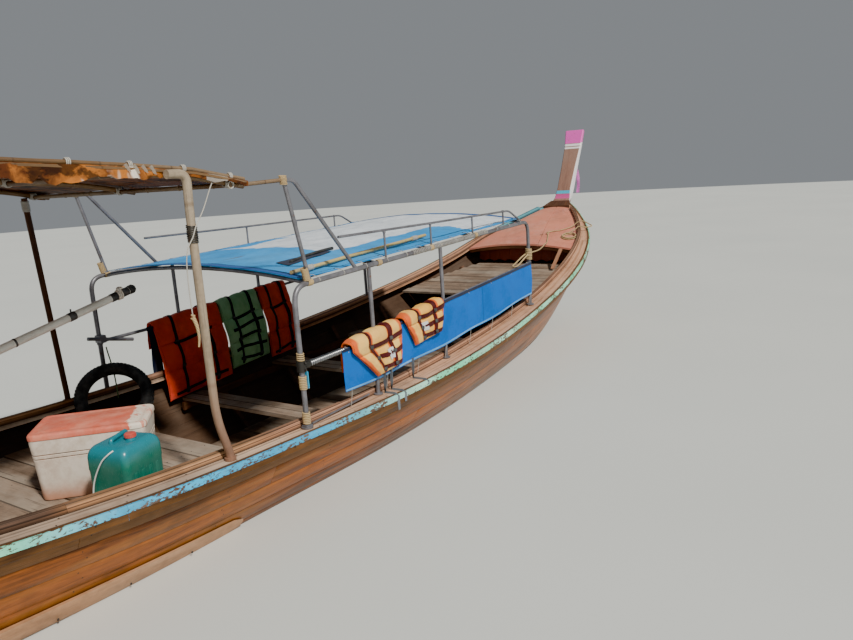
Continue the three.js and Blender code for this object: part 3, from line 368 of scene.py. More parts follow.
def settle(name, mesh, finishes, body="hull", replaces=(), slot=None):
    """Makes the mesh a piece that rides on a body, with its finishes; its slot is worked out but not kept."""
    if not mesh.materials:
        for key in finishes:
            mesh.materials.append(finish(key))
    obj = link(bpy.data.objects.new(name, mesh))
    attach(obj, body)
    if replaces:
        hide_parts(*replaces)
    slot or SLOT_OF.get(finishes[0], finishes[0])
    return obj


def piece(name, shape, finishes, replaces=(), angle=35, slot=None, body="hull", weld=0.0):
    mesh = mesh_of(name, shape)
    face_out(mesh, weld)
    smooth(mesh, angle)
    return settle(name, mesh, finishes, body, replaces, slot)


# ---------------------------------------------------------------- shader nodes

def linear(hexa):
    """Linear colour with alpha, of an sRGB hex value or of a colour named in the panel."""
    if not hexa.startswith("#"):
        return tuple(getattr(bpy.context.scene.boat_colours, hexa)) + (1.0,)
    parts = [int(hexa[i:i + 2], 16) / 255 for i in (1, 3, 5)]
    return tuple(c / 12.92 if c <= .04045 else ((c + .055) / 1.055)**2.4 for c in parts) + (1.0,)


class Nodes:
    """Adds nodes to a tree and links them."""

    def __init__(self, tree):
        self.tree = tree

    def add(self, kind, inputs=None, **settings):
        node = self.tree.nodes.new(kind)
        for key, value in settings.items():
            setattr(node, key, value)
        for key, value in (inputs or {}).items():
            self.put(node.inputs[key], value)
        return node

    def put(self, socket, value):
        if isinstance(value, bpy.types.NodeSocket):
            self.tree.links.new(value, socket)
        else:
            coloured = isinstance(value, str) and socket.type == "RGBA"
            socket.default_value = linear(value) if coloured else value

    def math(self, operation, a, b=0.0, c=0.0, clamp=False):
        node = self.add("ShaderNodeMath", operation=operation, use_clamp=clamp)
        for socket, value in zip(node.inputs, (a, b, c)):
            self.put(socket, value)
        return node.outputs[0]

    def times(self, a, b):
        return self.math("MULTIPLY", a, b)

    def plus(self, a, b):
        return self.math("ADD", a, b)

    def minus(self, a, b, clamp=False):
        return self.math("SUBTRACT", a, b, clamp=clamp)

    def fma(self, a, b, c, clamp=False):
        return self.math("MULTIPLY_ADD", a, b, c, clamp)

    def most(self, a, b):
        return self.math("MAXIMUM", a, b)

    def vector(self, operation, a, b=(0, 0, 0)):
        node = self.add("ShaderNodeVectorMath", operation=operation)
        self.put(node.inputs[0], a)
        self.put(node.inputs[1], b)
        return node.outputs[0]

    def scaled(self, a, b):
        return self.vector("MULTIPLY", a, b)

    def mix(self, fac, a, b):
        node = self.add("ShaderNodeMix", data_type="RGBA", blend_type="MIX", clamp_factor=True)
        self.put(node.inputs[0], fac)
        self.put(node.inputs[6], a)
        self.put(node.inputs[7], b)
        return node.outputs[2]

    def noise(self, vector, scale, detail=3.0, roughness=.55, distortion=0.0):
        node = self.add("ShaderNodeTexNoise", {"Scale": scale, "Detail": detail, "Roughness": roughness,
                                               "Distortion": distortion})
        self.put(node.inputs["Vector"], vector)
        return node.outputs[0]

    def span(self, value, low, high, to_low=0.0, to_high=1.0):
        node = self.add("ShaderNodeMapRange", interpolation_type="SMOOTHSTEP")
        for key, v in (("Value", value), ("From Min", low), ("From Max", high), ("To Min", to_low),
                       ("To Max", to_high)):
            self.put(node.inputs[key], v)
        return node.outputs[0]

    def axis(self, vector, which):
        return self.add("ShaderNodeSeparateXYZ", {"Vector": vector}).outputs[which]

    def place(self):
        return self.add("ShaderNodeTexCoord").outputs["Object"]

    def grain(self):
        return self.add("ShaderNodeUVMap", uv_map="grain").outputs[0]

    def attribute(self, name):
        return self.add("ShaderNodeAttribute", attribute_name=name).outputs["Fac"]

    def use(self, group, inputs):
        node = self.tree.nodes.new("ShaderNodeGroup")
        node.node_tree = group
        for key, value in inputs.items():
            self.put(node.inputs[key], value)
        return node.outputs


KIND = {"v": "NodeSocketVector", "c": "NodeSocketColor", "f": "NodeSocketFloat"}


def shader_group(name, inputs, outputs, build):
    """A shader node group with named inputs and outputs, built once."""
    group = bpy.data.node_groups.get(name)
    if group:
        return group
    group = bpy.data.node_groups.new(name, "ShaderNodeTree")
    for key, kind, default in inputs:
        socket = group.interface.new_socket(key, in_out="INPUT", socket_type=KIND[kind])
        socket.default_value = default
    for key, kind in outputs:
        group.interface.new_socket(key, in_out="OUTPUT", socket_type=KIND[kind])
    n = Nodes(group)
    given = n.add("NodeGroupInput").outputs
    made = build(n, given)
    end = n.add("NodeGroupOutput")
    for key, value in made.items():
        n.put(end.inputs[key], value)
    return group


def wood_group():
    """Timber: long streaks, fine fibres, checks and grey weathering along the grain coordinates."""
    def build(n, i):
        shift = n.scaled(i["Tone"], (37.0, 11.0, 5.0))
        at = n.vector("ADD", i["Grain"], shift)
        streak = n.noise(n.scaled(at, (1.1, 11.0, 11.0)), 1.7, 4, .6, .8)
        fibre = n.noise(n.scaled(at, (4.0, 110.0, 110.0)), 2.6, 3, .6)
        patch = n.noise(n.scaled(at, (.8, 1.8, 1.8)), 1.6, 5, .6)
        checks = n.span(n.noise(n.scaled(at, (1.2, 60.0, 60.0)), 2.0, 2, .5), .63, .7)
        fac = n.fma(n.minus(streak, .5), i["Contrast"], .5)
        fac = n.fma(n.minus(fibre, .5), .75, fac)
        fac = n.fma(n.minus(i["Tone"], .5), .7, fac)
        fac = n.fma(n.minus(patch, .5), .8, fac, clamp=True)
        color = n.mix(fac, i["Dark"], i["Light"])
        grey = n.times(n.span(patch, .42, .62), i["Weathering"])
        color = n.mix(grey, color, i["Bare"])
        cracked = n.times(checks, i["Checks"])
        color = n.mix(n.times(cracked, .75), color, (.012, .008, .006, 1))
        height = n.minus(n.fma(streak, .5, n.times(fibre, .5)), cracked)
        rough = n.fma(patch, .25, n.fma(i["Weathering"], .2, .42))
        return {"Color": color, "Height": height, "Roughness": rough, "Patch": patch}

    return shader_group("Timber", [
        ("Grain", "v", (0, 0, 0)), ("Tone", "f", .5), ("Light", "c", (1, 1, 1, 1)), ("Dark", "c", (0, 0, 0, 1)),
        ("Bare", "c", (.3, .3, .3, 1)), ("Contrast", "f", 1.2), ("Weathering", "f", .3), ("Checks", "f", .6),
    ], [("Color", "c"), ("Height", "f"), ("Roughness", "f"), ("Patch", "f")], build)


def paint_group():
    """Old paint: flakes off to what is under it, more along edges, and chalks in patches."""
    def build(n, i):
        broad = n.noise(i["Place"], n.times(i["Scale"], .22), 3, .6)
        flake = n.noise(n.scaled(i["Place"], (1.0, 2.2, 2.2)), i["Scale"], 9, .68, .3)
        level = n.fma(broad, .35, n.times(flake, .65))
        level = n.fma(i["Edge"], .12, level)
        gone = n.span(level, n.minus(1.0, i["Flaking"]), n.minus(1.02, i["Flaking"]))
        chalk = n.noise(i["Place"], n.times(i["Scale"], .6), 6, .7)
        painted = n.mix(n.times(n.span(chalk, .45, .75), i["Chalk"]), i["Paint"], (.75, .78, .72, 1))
        return {"Color": n.mix(gone, painted, i["Under"]), "Bare": gone,
                "Height": n.minus(n.times(chalk, .15), gone)}

    return shader_group("Flaking Paint", [
        ("Place", "v", (0, 0, 0)), ("Paint", "c", (1, 1, 1, 1)), ("Under", "c", (.2, .1, .05, 1)), ("Scale", "f", 12.0),
        ("Flaking", "f", .4), ("Chalk", "f", .3), ("Edge", "f", 0.0),
    ], [("Color", "c"), ("Bare", "f"), ("Height", "f")], build)


def grime_group():
    """Soft dirt in patches and speckles over a colour."""
    def build(n, i):
        cloud = n.noise(i["Place"], i["Scale"], 6, .65, .4)
        speck = n.noise(i["Place"], n.times(i["Scale"], 9.0), 3, .6)
        mask = n.times(n.span(n.fma(speck, .3, n.times(cloud, .7)), .42, .68), i["Amount"])
        return {"Color": n.mix(mask, i["Color"], i["Dirt"]), "Mask": mask}

    return shader_group("Grime", [
        ("Color", "c", (1, 1, 1, 1)), ("Place", "v", (0, 0, 0)), ("Scale", "f", 3.0), ("Amount", "f", .4),
        ("Dirt", "c", (.08, .06, .04, 1)),
    ], [("Color", "c"), ("Mask", "f")], build)


def weave_group():
    """Woven threads over cloth coordinates in metres."""
    def build(n, i):
        turns = n.times(i["Threads"], 2 * pi)
        u = n.math("SINE", n.times(n.axis(i["Cloth"], 0), turns))
        v = n.math("SINE", n.times(n.axis(i["Cloth"], 1), turns))
        slub = n.noise(n.scaled(i["Cloth"], (1.0, 30.0, 1.0)), 14, 3, .6)
        return {"Height": n.fma(n.times(u, v), .5, .5), "Slub": slub}

    return shader_group("Weave", [("Cloth", "v", (0, 0, 0)), ("Threads", "f", 400.0)],
                        [("Height", "f"), ("Slub", "f")], build)


def corrosion_group():
    """Old painted or bare metal: rust blooms and dull streaks."""
    def build(n, i):
        bloom = n.noise(i["Place"], i["Scale"], 8, .7, .5)
        fine = n.noise(i["Place"], n.times(i["Scale"], 6.0), 4, .6)
        level = n.fma(fine, .35, n.times(bloom, .65))
        rust = n.span(level, n.minus(1.0, i["Amount"]), n.minus(1.08, i["Amount"]))
        tint = n.mix(fine, i["Rust"], (.22, .09, .035, 1))
        shade = n.mix(n.span(bloom, .3, .7), i["Metal"], n.mix(.5, i["Metal"], (.02, .02, .02, 1)))
        return {"Color": n.mix(rust, shade, tint), "Rust": rust, "Height": n.times(fine, rust)}

    return shader_group("Corrosion", [
        ("Place", "v", (0, 0, 0)), ("Metal", "c", (.4, .4, .4, 1)), ("Rust", "c", (.1, .035, .015, 1)),
        ("Scale", "f", 14.0), ("Amount", "f", .45),
    ], [("Color", "c"), ("Rust", "f"), ("Height", "f")], build)


# ---------------------------------------------------------------- finishes

FINISHES = {}
SLOT_OF = {
    "stern_plank_wood": "rail_wood", "stem_paint": "dark_wood", "cloth_blue": "blue_tarpaulin",
    "tarp_hem": "blue_tarpaulin", "black_plastic": "black_rubber", "webbing": "orange_jacket",
    "green_webbing": "green_jacket", "near_jacket": "orange_jacket", "red_cap": "orange_lid", "rag": "tan_rope",
    "polished_steel": "grey_tube", "pink_cloth": "orange_jacket", "wet_steel": "dark_iron",
    "jacket_label": "orange_jacket", "green_cord": "tan_rope", "white_cord": "tan_rope", "navy_cloth": "blue_tarpaulin",
    "white_line": "white_pipe", "frame_wood": "weathered_wood", "beam_wood": "dark_wood", "tarp_foot": "blue_tarpaulin",
    "strap_grey": "blue_tarpaulin", "engine_iron": "dark_iron", "rusty_iron": "dark_iron", "top_plank": "dark_wood",
    "inner_wood": "weathered_wood", "washboard_wood": "weathered_wood", "inner_rail_wood": "rail_wood",
    "bent_post": "bamboo", "roof_pole": "bamboo",
}


def finish(key):
    """The material of that name, built on first use."""
    found = bpy.data.materials.get(key + "-finish")
    if found:
        return found
    material = bpy.data.materials.new(key + "-finish")
    material.use_nodes = True
    tree = material.node_tree
    tree.nodes.clear()
    n = Nodes(tree)
    shader = n.add("ShaderNodeBsdfPrincipled")
    out = n.add("ShaderNodeOutputMaterial")
    tree.links.new(shader.outputs[0], out.inputs[0])
    FINISHES[key](n, shader)
    return material


def dress(n, shader, color, rough=.6, height=None, bump=.2, distance=.002, **fixed):
    """Feeds a Principled shader: changing values are linked, constants stay on its own sockets."""
    n.put(shader.inputs["Base Color"], color)
    n.put(shader.inputs["Roughness"], rough)
    if height is not None:
        node = n.add("ShaderNodeBump", {"Strength": bump, "Distance": distance, "Height": height})
        n.put(shader.inputs["Normal"], node.outputs[0])
    for key, value in fixed.items():
        shader.inputs[key.replace("_", " ")].default_value = value


def grimy(n, color, place, scale, amount, dirt):
    return n.use(grime_group(), {"Color": color, "Place": place, "Scale": scale, "Amount": amount,
                                 "Dirt": dirt})["Color"]


def wooden(n, grain, tone, light, dark, bare, contrast=1.2, weathering=.4, checks=.6):
    return n.use(wood_group(), {"Grain": grain, "Tone": tone, "Light": light, "Dark": dark, "Bare": bare,
                                "Contrast": contrast, "Weathering": weathering, "Checks": checks})


def timber(light, dark, bare, contrast=1.2, weathering=.3, checks=.6, gloss=0.0, bump=.35, stain=None, seam=.7,
           tint=None):
    """A wood finish. stain adds a darker foot near the waterline; with no seam it needs no grain layer."""
    def build(n, shader):
        tone, grain = (n.attribute("tone"), n.grain()) if seam else (.5, n.place())
        wood = wooden(n, grain, tone, light, dark, bare, contrast, weathering, checks)
        color = tint(n, n.place(), wood["Color"]) if tint else wood["Color"]
        # Marked edges go dark: real dark seams at joints, painted shade in the rail grooves and the rub strake's step.
        color = n.mix(n.times(n.attribute("edge"), seam), color, (.02, .012, .008, 1))
        color = grimy(n, color, n.place(), 1.7, .35, "#2b1c12")
        if stain:
            foot = n.span(n.fma(wood["Patch"], .12, n.axis(n.place(), 2)), .02, .16, 1.0, 0.0)
            color = n.mix(n.times(foot, .88), color, stain)
        rough = n.minus(wood["Roughness"], gloss, clamp=True)
        dress(n, shader, color, rough, wood["Height"], bump, .003, Specular_IOR_Level=.25)
    return build


def rail_tint(n, place, color):
    """Dark umber aft, lighter tan beside the helm as painted sunlight, pinkish brown further forward, turquoise at the
    port bow.
    """
    x, y = n.axis(place, 0), n.axis(place, 1)
    drift = n.noise(place, 2.5, 5, .6)
    streak = n.noise(n.scaled(n.grain(), (.4, 60.0, 1.0)), 1.0, 4, .6)
    color = n.mix(n.times(n.span(streak, .52, .58), .85), color, "#3a2418")
    color = n.mix(n.times(n.span(x, -3.45, -3.2, 1.0, 0.0), .8), color, "#3a2a22")
    # Lighter tan beside the helm: painted sunlight on the rail.
    helm = n.times(n.span(x, -3.4, -3.2), n.span(x, -2.4, -2.0, 1.0, 0.0))
    color = n.mix(n.times(helm, .45), color, "#c8996c")
    color = n.mix(n.times(n.span(x, -2.3, -1.8), .45), color, n.mix(drift, "#b07a60", "#dcb096"))
    bow = n.times(n.span(x, 3.9, 4.2), n.span(y, -.05, .05))
    return n.mix(n.times(bow, .9), color, "#45b0c4")


def wash_tint(n, place, color):
    """Grey-brown boards, streaked and patchy; turquoise paint at the port bow."""
    x, y = n.axis(place, 0), n.axis(place, 1)
    streak = n.noise(n.scaled(n.grain(), (.5, 34.0, 1.0)), 1.0, 5, .6)
    color = n.mix(n.times(n.span(streak, .52, .57), .65), color, "#543c2c")
    color = n.mix(n.times(n.span(x, -2.9, -2.2, 1.0, 0.0), .45), color, "#75675e")
    patch = n.noise(place, 3.2, 5, .65)
    color = n.mix(n.times(n.span(patch, .56, .7), .5), color, "#b9a896")
    color = n.mix(n.times(n.span(x, -2.4, .2), .6), color, "#cd8c62")
    bow = n.times(n.span(x, 3.9, 4.2), n.span(y, -.05, .05))
    return n.mix(n.times(bow, .9), color, "#4fb6c8")


def varnish_tint(n, place, color):
    """Long orange and umber streaks under worn varnish."""
    streak = n.noise(n.scaled(place, (.8, 5.0, 22.0)), 1.6, 6, .62)
    color = n.mix(n.times(n.span(streak, .54, .7), .55), color, "#2f1a0d")
    warm = n.noise(n.scaled(place, (.5, 2.0, 9.0)), 1.2, 4, .5)
    return n.mix(n.times(n.span(warm, .5, .7), .35), color, "#b9813f")


FINISHES["varnished_planks"] = timber("plank_light", "plank_dark", "#7d5a3c", 1.5, .2, .4, .24, .25, "#2c241d", .55,
                                      varnish_tint)
# The umber top strake and the rub strake's lower faces: partly the wood's own dark colour, partly painted shadow cast
# by the gunwale.
FINISHES["top_plank"] = timber("#93602f", "#3d2712", "#7a5c3e", 1.4, .3, .5, .12, .3, None, .55)
FINISHES["inner_wood"] = timber("#5f4838", "#33241b", "#57483c", 1.0, .5, .8, 0, .5)
FINISHES["washboard_wood"] = timber("#f2dcc2", "#c29c7e", "#dcc8b4", 1.1, .5, .9, 0, .6, None, .9, wash_tint)
FINISHES["inner_rail_wood"] = timber("#d9a47c", "#8f5c3e", "#c8a288", 1.2, .4, .7, .05, .5, None, 1.0, rail_tint)
FINISHES["weathered_wood"] = timber("#a99380", "#63503f", "#a39788", 1.0, .7, .9, 0, .6)
FINISHES["dark_wood"] = timber("#7c5238", "#3a2418", "#6d5546", 1.1, .3, .7, .05, .4)
FINISHES["rail_wood"] = timber("#b9805c", "#6f4532", "#a18270", 1.1, .45, .6, .05, .45)
FINISHES["stern_plank_wood"] = timber("#d2a682", "#a4754f", "#c9a88c", .8, .35, .3, .08, .25, None, .3)
FINISHES["beam_wood"] = timber("#8a6247", "#43291b", "#7d6654", 1.1, .4, .7, .05, .4, None, 0.0)
FINISHES["frame_wood"] = timber("#84604a", "#3f2a1e", "#75604f", 1.0, .4, .7, 0, .4, None, 0.0)


def painted_wood(paint, under, scale=10.0, flaking=.42, chalk=.3, dark="#5a3c2c"):
    def build(n, shader):
        place = n.place()
        wood = wooden(n, n.grain(), n.attribute("tone"), under, dark, "#8d7c6c", checks=.5)
        color = paint(n, place) if callable(paint) else paint
        coat = n.use(paint_group(), {"Place": place, "Paint": color, "Under": wood["Color"], "Scale": scale,
                                     "Flaking": flaking, "Chalk": chalk, "Edge": n.attribute("edge")})
        color = grimy(n, coat["Color"], place, 2.5, .3, "#5a4030")
        dress(n, shader, color, n.fma(coat["Bare"], .25, .5),
              n.fma(wood["Height"], .35, coat["Height"]), .5, .0015)
    return build


def gunwale_colour(n, place):
    """Mint at the stern, turquoise amidships aft, pale mint to the bow; the port bow is turquoise again."""
    x = n.axis(place, 0)
    blue = n.times(n.span(x, -3.75, -3.05), n.span(x, -1.9, -.7, 1.0, 0.0))
    blue = n.most(blue, n.times(n.span(x, 3.2, 3.8), n.span(n.axis(place, 1), -.1, .1)))
    drift = n.noise(place, 1.4, 5, .6)
    pale = n.mix(n.span(drift, .35, .65), "gunwale_mint", "#b2ead0")
    return n.mix(blue, pale, n.mix(drift, "gunwale_blue", "#35bce6"))


def foredeck_colour(n, place):
    drift = n.noise(place, 2.2, 6, .65)
    return n.mix(n.span(drift, .3, .7), "foredeck", "#d68a6e")


FINISHES["turquoise_paint"] = painted_wood(gunwale_colour, "#5d4938", 34.0, .43, .1)
FINISHES["salmon_paint"] = painted_wood(foredeck_colour, "#a5694c", 7.0, .36, .15)
# Dark red-brown of the bulkhead: its paint as it looks in the recess under the foredeck, so partly painted shade.
FINISHES["maroon_paint"] = painted_wood("#86402f", "#5a3324", 8.0, .34, .05, "#38201a")


def stem_colours(n, shader):
    """Stem head: brown timber with pink, white and turquoise bands, and white painted sides."""
    place = n.place()
    x, y, z = (n.axis(place, k) for k in range(3))
    wood = wooden(n, n.grain(), .4, "#b48a76", "#775548", "#8f7a6e", .9)
    color = wood["Color"]

    def band(value, low, high, blur=.004):
        return n.times(n.span(value, low - blur, low + blur), n.span(value, high - blur, high + blur, 1.0, 0.0))

    level = n.fma(x, -.12, n.plus(z, .65))
    side = n.times(n.attribute("edge"), n.span(z, 1.5, 1.56))
    chip = n.span(n.noise(place, 18, 8, .7), .62, .66)
    keep = n.minus(1.0, n.times(chip, .8))
    rows = ((2.335, 2.7, "#e85fc0"), (2.262, 2.285, "#f3eef0"), (2.298, 2.328, "#f3eef0"), (1.672, 1.712, "#45b7d6"),
            (1.61, 1.668, "#c9568f"))
    color = n.mix(n.times(side, keep), color, "#eeecef")
    for low, high, paint in rows:
        limit = band(level, low, high)
        if low < 2:
            limit = n.times(limit, n.minus(1.0, side))
        color = n.mix(n.times(limit, keep), color, paint)
    dress(n, shader, color, n.fma(wood["Patch"], .2, .42), wood["Height"], .3, .002)


FINISHES["stem_paint"] = stem_colours


def metal(color, rust="#5a2c18", scale=14.0, amount=.42, rough=.45, metallic=.6):
    def build(n, shader):
        coat = n.use(corrosion_group(), {"Place": n.place(), "Metal": color, "Rust": rust,
                                         "Scale": scale, "Amount": amount})
        dress(n, shader, coat["Color"], n.fma(coat["Rust"], .4, rough), coat["Height"], .25, .001)
        n.put(shader.inputs["Metallic"], n.fma(coat["Rust"], -metallic, metallic))
    return build


FINISHES["grey_tube"] = metal("#85848a", "#3d2618", 9.0, .42, .42, .4)
FINISHES["polished_steel"] = metal("#b8babb", "#6b4a34", 16.0, .38, .25, .9)
FINISHES["dark_iron"] = metal("#3c3a37", "#4a2c1c", 10.0, .45, .5, .55)
FINISHES["engine_iron"] = metal("#5b5f61", "#5a3420", 9.0, .46, .5, .5)
FINISHES["rusty_iron"] = metal("#4e3a2e", "#7a3d1c", 8.0, .56, .7, .3)
FINISHES["wet_steel"] = metal("#6d6a64", "#56341f", 12.0, .45, .4, .7)
FINISHES["engine_paint"] = metal("engine", "#3d2416", 7.0, .43, .42, .15)
FINISHES["bronze"] = metal("#c09552", "#4f6a4a", 9.0, .36, .28, .95)


def plastic(color, dirt="#5a4a3a", rough=.42, amount=.4, scale=3.0, fleck=.25, bump=.08, tint=None, **fixed):
    def build(n, shader):
        place = n.place()
        soft = n.noise(place, scale * 2, 4, .6)
        base = n.mix(n.times(n.span(soft, .3, .7), fleck), color, n.mix(.35, color, (.9, .9, .88, 1)))
        if tint:
            base = tint(n, place, base)
        base = grimy(n, base, place, scale, amount, dirt)
        scuff = n.noise(n.scaled(place, (30.0, 30.0, 8.0)), 4, 4, .7)
        dress(n, shader, base, n.fma(scuff, fleck, rough), scuff, bump, .0008, **fixed)
    return build


def along_box(n, place):
    """Distance along the cool box from its middle, towards its forward end."""
    x, y = n.axis(place, 0), n.axis(place, 1)
    return n.times(n.minus(n.plus(x, 2.71), n.plus(y, .195)), .7071)


def lid_tint(n, place, color):
    """The forward end has worn to cream with a few orange strokes."""
    ragged = n.noise(place, 16, 5, .7)
    end = n.span(n.fma(ragged, .12, along_box(n, place)), .27, .285)
    strokes = n.span(n.noise(n.scaled(place, (30.0, 8.0, 1.0)), 1.5, 3, .6), .58, .62)
    return n.mix(n.times(end, n.minus(1.0, n.times(strokes, .8))), color, "#e6dccb")


def box_tint(n, place, color):
    """Rusty orange stains that fade out above the foot."""
    foot = n.span(n.fma(n.noise(place, 7, 5, .65), -.12, n.axis(place, 2)), .34, .46, .75, 0.0)
    return n.mix(foot, color, "#c2764c")


def can_tint(n, place, color):
    """Bluer towards the top."""
    return n.mix(n.span(n.axis(place, 2), .66, .77, 0.0, .7), color, "#10809a")


FINISHES["white_pipe"] = plastic("#e4e4da", "#8d8572", .28, .35, 6.0)
FINISHES["white_box"] = plastic("#e2d7c8", "#a07a5c", .5, .45, 3.5, .25, .12, box_tint)
FINISHES["orange_lid"] = plastic("#cf5f42", "#e0a184", .55, .5, 5.0, .25, .15, lid_tint)
FINISHES["green_can"] = plastic("#0d6f5b", "#0a4f46", .2, .15, 5.0, .12, .04, can_tint)
FINISHES["red_cap"] = plastic("#c8473a", "#8a2c20", .4, .3, 9.0)
FINISHES["black_rubber"] = plastic("#101011", "#242220", .68, .2, 8.0, .15, .1)
FINISHES["black_plastic"] = plastic("#1f1f20", "#3f3c38", .45, .3, 9.0)
FINISHES["white_line"] = plastic("#e9ece6", "#a8a498", .4, .2, 9.0)


def cloth(color, wear_and_highlight="#dfe6ea", dirt="#4a4238", threads=420.0, wear_and_highlight_share=.3, rough=.72, sheen=.15, patches=None):
    """A fabric finish over cloth coordinates. patches(n, place, color) may repaint areas."""
    def build(n, shader):
        place, uv = n.place(), n.grain()
        weave = n.use(weave_group(), {"Cloth": uv, "Threads": threads})
        drift = n.noise(place, 1.6, 6, .62, .3)
        fine = n.noise(place, 9.0, 5, .65)
        # Patches of the second colour: faded wear on most cloths; on the near jackets a painted highlight, and on the
        # roof sheet partly painted sunlight through it.
        wear_and_highlight_mask = n.times(n.span(n.fma(fine, .3, n.times(drift, .7)), .42, .66), wear_and_highlight_share)
        base = n.mix(wear_and_highlight_mask, color, wear_and_highlight)
        if patches:
            base = patches(n, place, base)
        base = n.mix(n.times(n.minus(weave["Slub"], .5), .5), base, (.02, .02, .02, 1))
        base = grimy(n, base, place, 4.0, .3, dirt)
        height = n.fma(fine, 1.5, n.times(weave["Height"], .5))
        dress(n, shader, base, rough, height, .25, .002, Sheen_Weight=sheen, Sheen_Roughness=.5,
              Specular_IOR_Level=.2)
    return build


def canopy_patches(n, place, base):
    """Bleached white areas of the canopy sheet, with torn, uneven borders."""
    x, y = n.axis(place, 0), n.axis(place, 1)
    ragged = n.times(n.minus(n.noise(place, 3.2, 6, .65, .6), .5), .42)
    mask = None
    for x0, x1, y0, y1 in CANOPY_WHITE:
        ax = n.times(n.span(n.plus(x, ragged), x0 - .02, x0 + .02),
                     n.span(n.plus(x, ragged), x1 - .02, x1 + .02, 1.0, 0.0))
        ay = n.times(n.span(n.plus(y, n.times(ragged, .4)), y0 - .012, y0 + .012),
                     n.span(n.plus(y, n.times(ragged, .4)), y1 - .012, y1 + .012, 1.0, 0.0))
        one = n.times(ax, ay)
        mask = one if mask is None else n.most(mask, one)
    white = n.mix(n.noise(place, 14, 6, .7), "#c9d4dc", "#ffffff")
    base = n.mix(n.times(mask, .93), base, white)
    edge = n.times(n.span(x, -1.9, -1.2, 1.0, 0.0), .5)
    return n.mix(edge, base, "#3f9bd6")


def orange_hems_beside_highlight(n, place, base):
    """Orange hems and quilting seams beside the cream-yellow pad fronts, which are a painted highlight on the orange
    jacket; from the cloth's own coordinates.
    """
    across = n.axis(n.grain(), 1)
    rough = n.times(n.minus(n.noise(place, 9, 4, .6), .5), .05)
    across = n.plus(across, rough)
    mask = n.most(n.span(across, .035, .055, 1.0, 0.0), n.span(across, .5, .52))
    for middle in (.17, .4):
        away = n.math("ABSOLUTE", n.minus(across, middle))
        mask = n.most(mask, n.span(away, .022, .034, 1.0, 0.0))
    return n.mix(n.times(mask, .9), base, "#dc4c12")


CANOPY_WHITE = [(-.95, .75, -.55, .62), (.55, 1.5, -.93, .86), (-.1, 1.5, .1, .92)]
FINISHES["blue_tarpaulin"] = cloth("canopy", "#6fbcf0", "#2c4a66", 500.0, .4, .5, .02, canopy_patches)
FINISHES["tarp_foot"] = cloth("#5aa6e2", "#a9d2ee", "#2f5f98", 500.0, .4, .6, .05)
FINISHES["strap_grey"] = cloth("#6d757c", "#8f979e", "#2c3036", 900.0, .4, .6, .05)
FINISHES["tarp_hem"] = cloth("#1f5a9e", "#4a8cc8", "#202830", 500.0, .3, .55, .05)
FINISHES["cloth_blue"] = cloth("side_cloth", "#0a74d6", "#083c88", 420.0, .3, .7, .0)
FINISHES["navy_cloth"] = cloth("#16203a", "#28344e", "#0c0f18", 420.0, .2)
FINISHES["orange_jacket"] = cloth("jacket", "#e2623c", "#5a1a10", 700.0, .55, .62, .25)
# Near jackets: the cream-yellow base and pale yellow patches are a painted sunlit highlight; their own orange shows at
# the hems and seams.
FINISHES["near_jacket"] = cloth("#f5b74c", "#fad886", "#c06a2c", 700.0, .7, .6, .08, orange_hems_beside_highlight)
FINISHES["green_jacket"] = cloth("#7da878", "#b3cfa6", "#3f5a3c", 700.0, .5, .65, .2)
FINISHES["webbing"] = cloth("#4a1416", "#6b2a28", "#1c0808", 900.0, .25, .6, .03)
FINISHES["green_webbing"] = cloth("#151517", "#2c2c2e", "#08080a", 900.0, .2, .6, .1)
FINISHES["jacket_label"] = cloth("#cfd3d6", "#f0f0ee", "#8f8a84", 900.0, .4)
FINISHES["rag"] = cloth("#d9d2c4", "#f0ece2", "#8a7f6e", 500.0, .4)
FINISHES["pink_cloth"] = cloth("#c96ab8", "#e29ad2", "#7a3f70", 500.0, .4)


def roof_underlay(n, place, base):
    """Brown boards and sacking: near-black strips that are painted shadow, orange patches that are partly painted
    sunlight through the sheet, a few torn white spots along the edge.
    """
    x, y = n.axis(place, 0), n.axis(place, 1)
    lines = n.noise(n.scaled(place, (2.0, 9.0, 2.0)), 2.4, 5, .6, .5)
    base = n.mix(n.span(lines, .42, .6), base, "#542a12")
    # Near-black strips across the sheet: painted shadow.
    shadow_strips = n.span(n.noise(n.scaled(place, (4.5, 1.0, 7.0)), 1.9, 5, .6), .52, .6)
    base = n.mix(n.times(shadow_strips, .8), base, "#1c0f08")
    tear = n.span(n.noise(n.scaled(place, (3.0, 5.0, 1.0)), 1.7, 3, .5), .6, .63)
    near = n.span(y, -.99, -.9, 1.0, 0.0)
    base = n.mix(n.times(tear, near), base, "#efe6d8")
    return n.mix(n.times(n.span(x, -2.7, -2.3), .6), base, "#2c190e")


# The lighter orange patches of this cloth are partly painted sunlight through the sheet.
FINISHES["roof_sheet"] = cloth("#b4661f", "#cf8a44", "#3a2010", 180.0, .5, .7, .03, roof_underlay)


def rope_finish(color, dark, twist=55.0):
    """Laid rope: slanting strands from the grain coordinates, with loose fibres."""
    def build(n, shader):
        uv = n.grain()
        turn = n.fma(n.axis(uv, 1), 2 * pi * twist * 1.6, n.times(n.axis(uv, 0), 2 * pi * twist))
        strand = n.fma(n.math("SINE", turn), .5, .5)
        fibre = n.noise(n.place(), 120, 3, .6)
        laid = n.mix(n.fma(fibre, .35, n.times(strand, .65)), dark, color)
        laid = grimy(n, laid, n.place(), 6.0, .3, "#6a5638")
        dress(n, shader, laid, .82, strand, .5, .002)
    return build


FINISHES["tan_rope"] = rope_finish("#dcc394", "#8d7248")
FINISHES["green_cord"] = rope_finish("#7f9670", "#46543c", 80)
FINISHES["white_cord"] = rope_finish("#d9d6cc", "#8f8a80", 90)


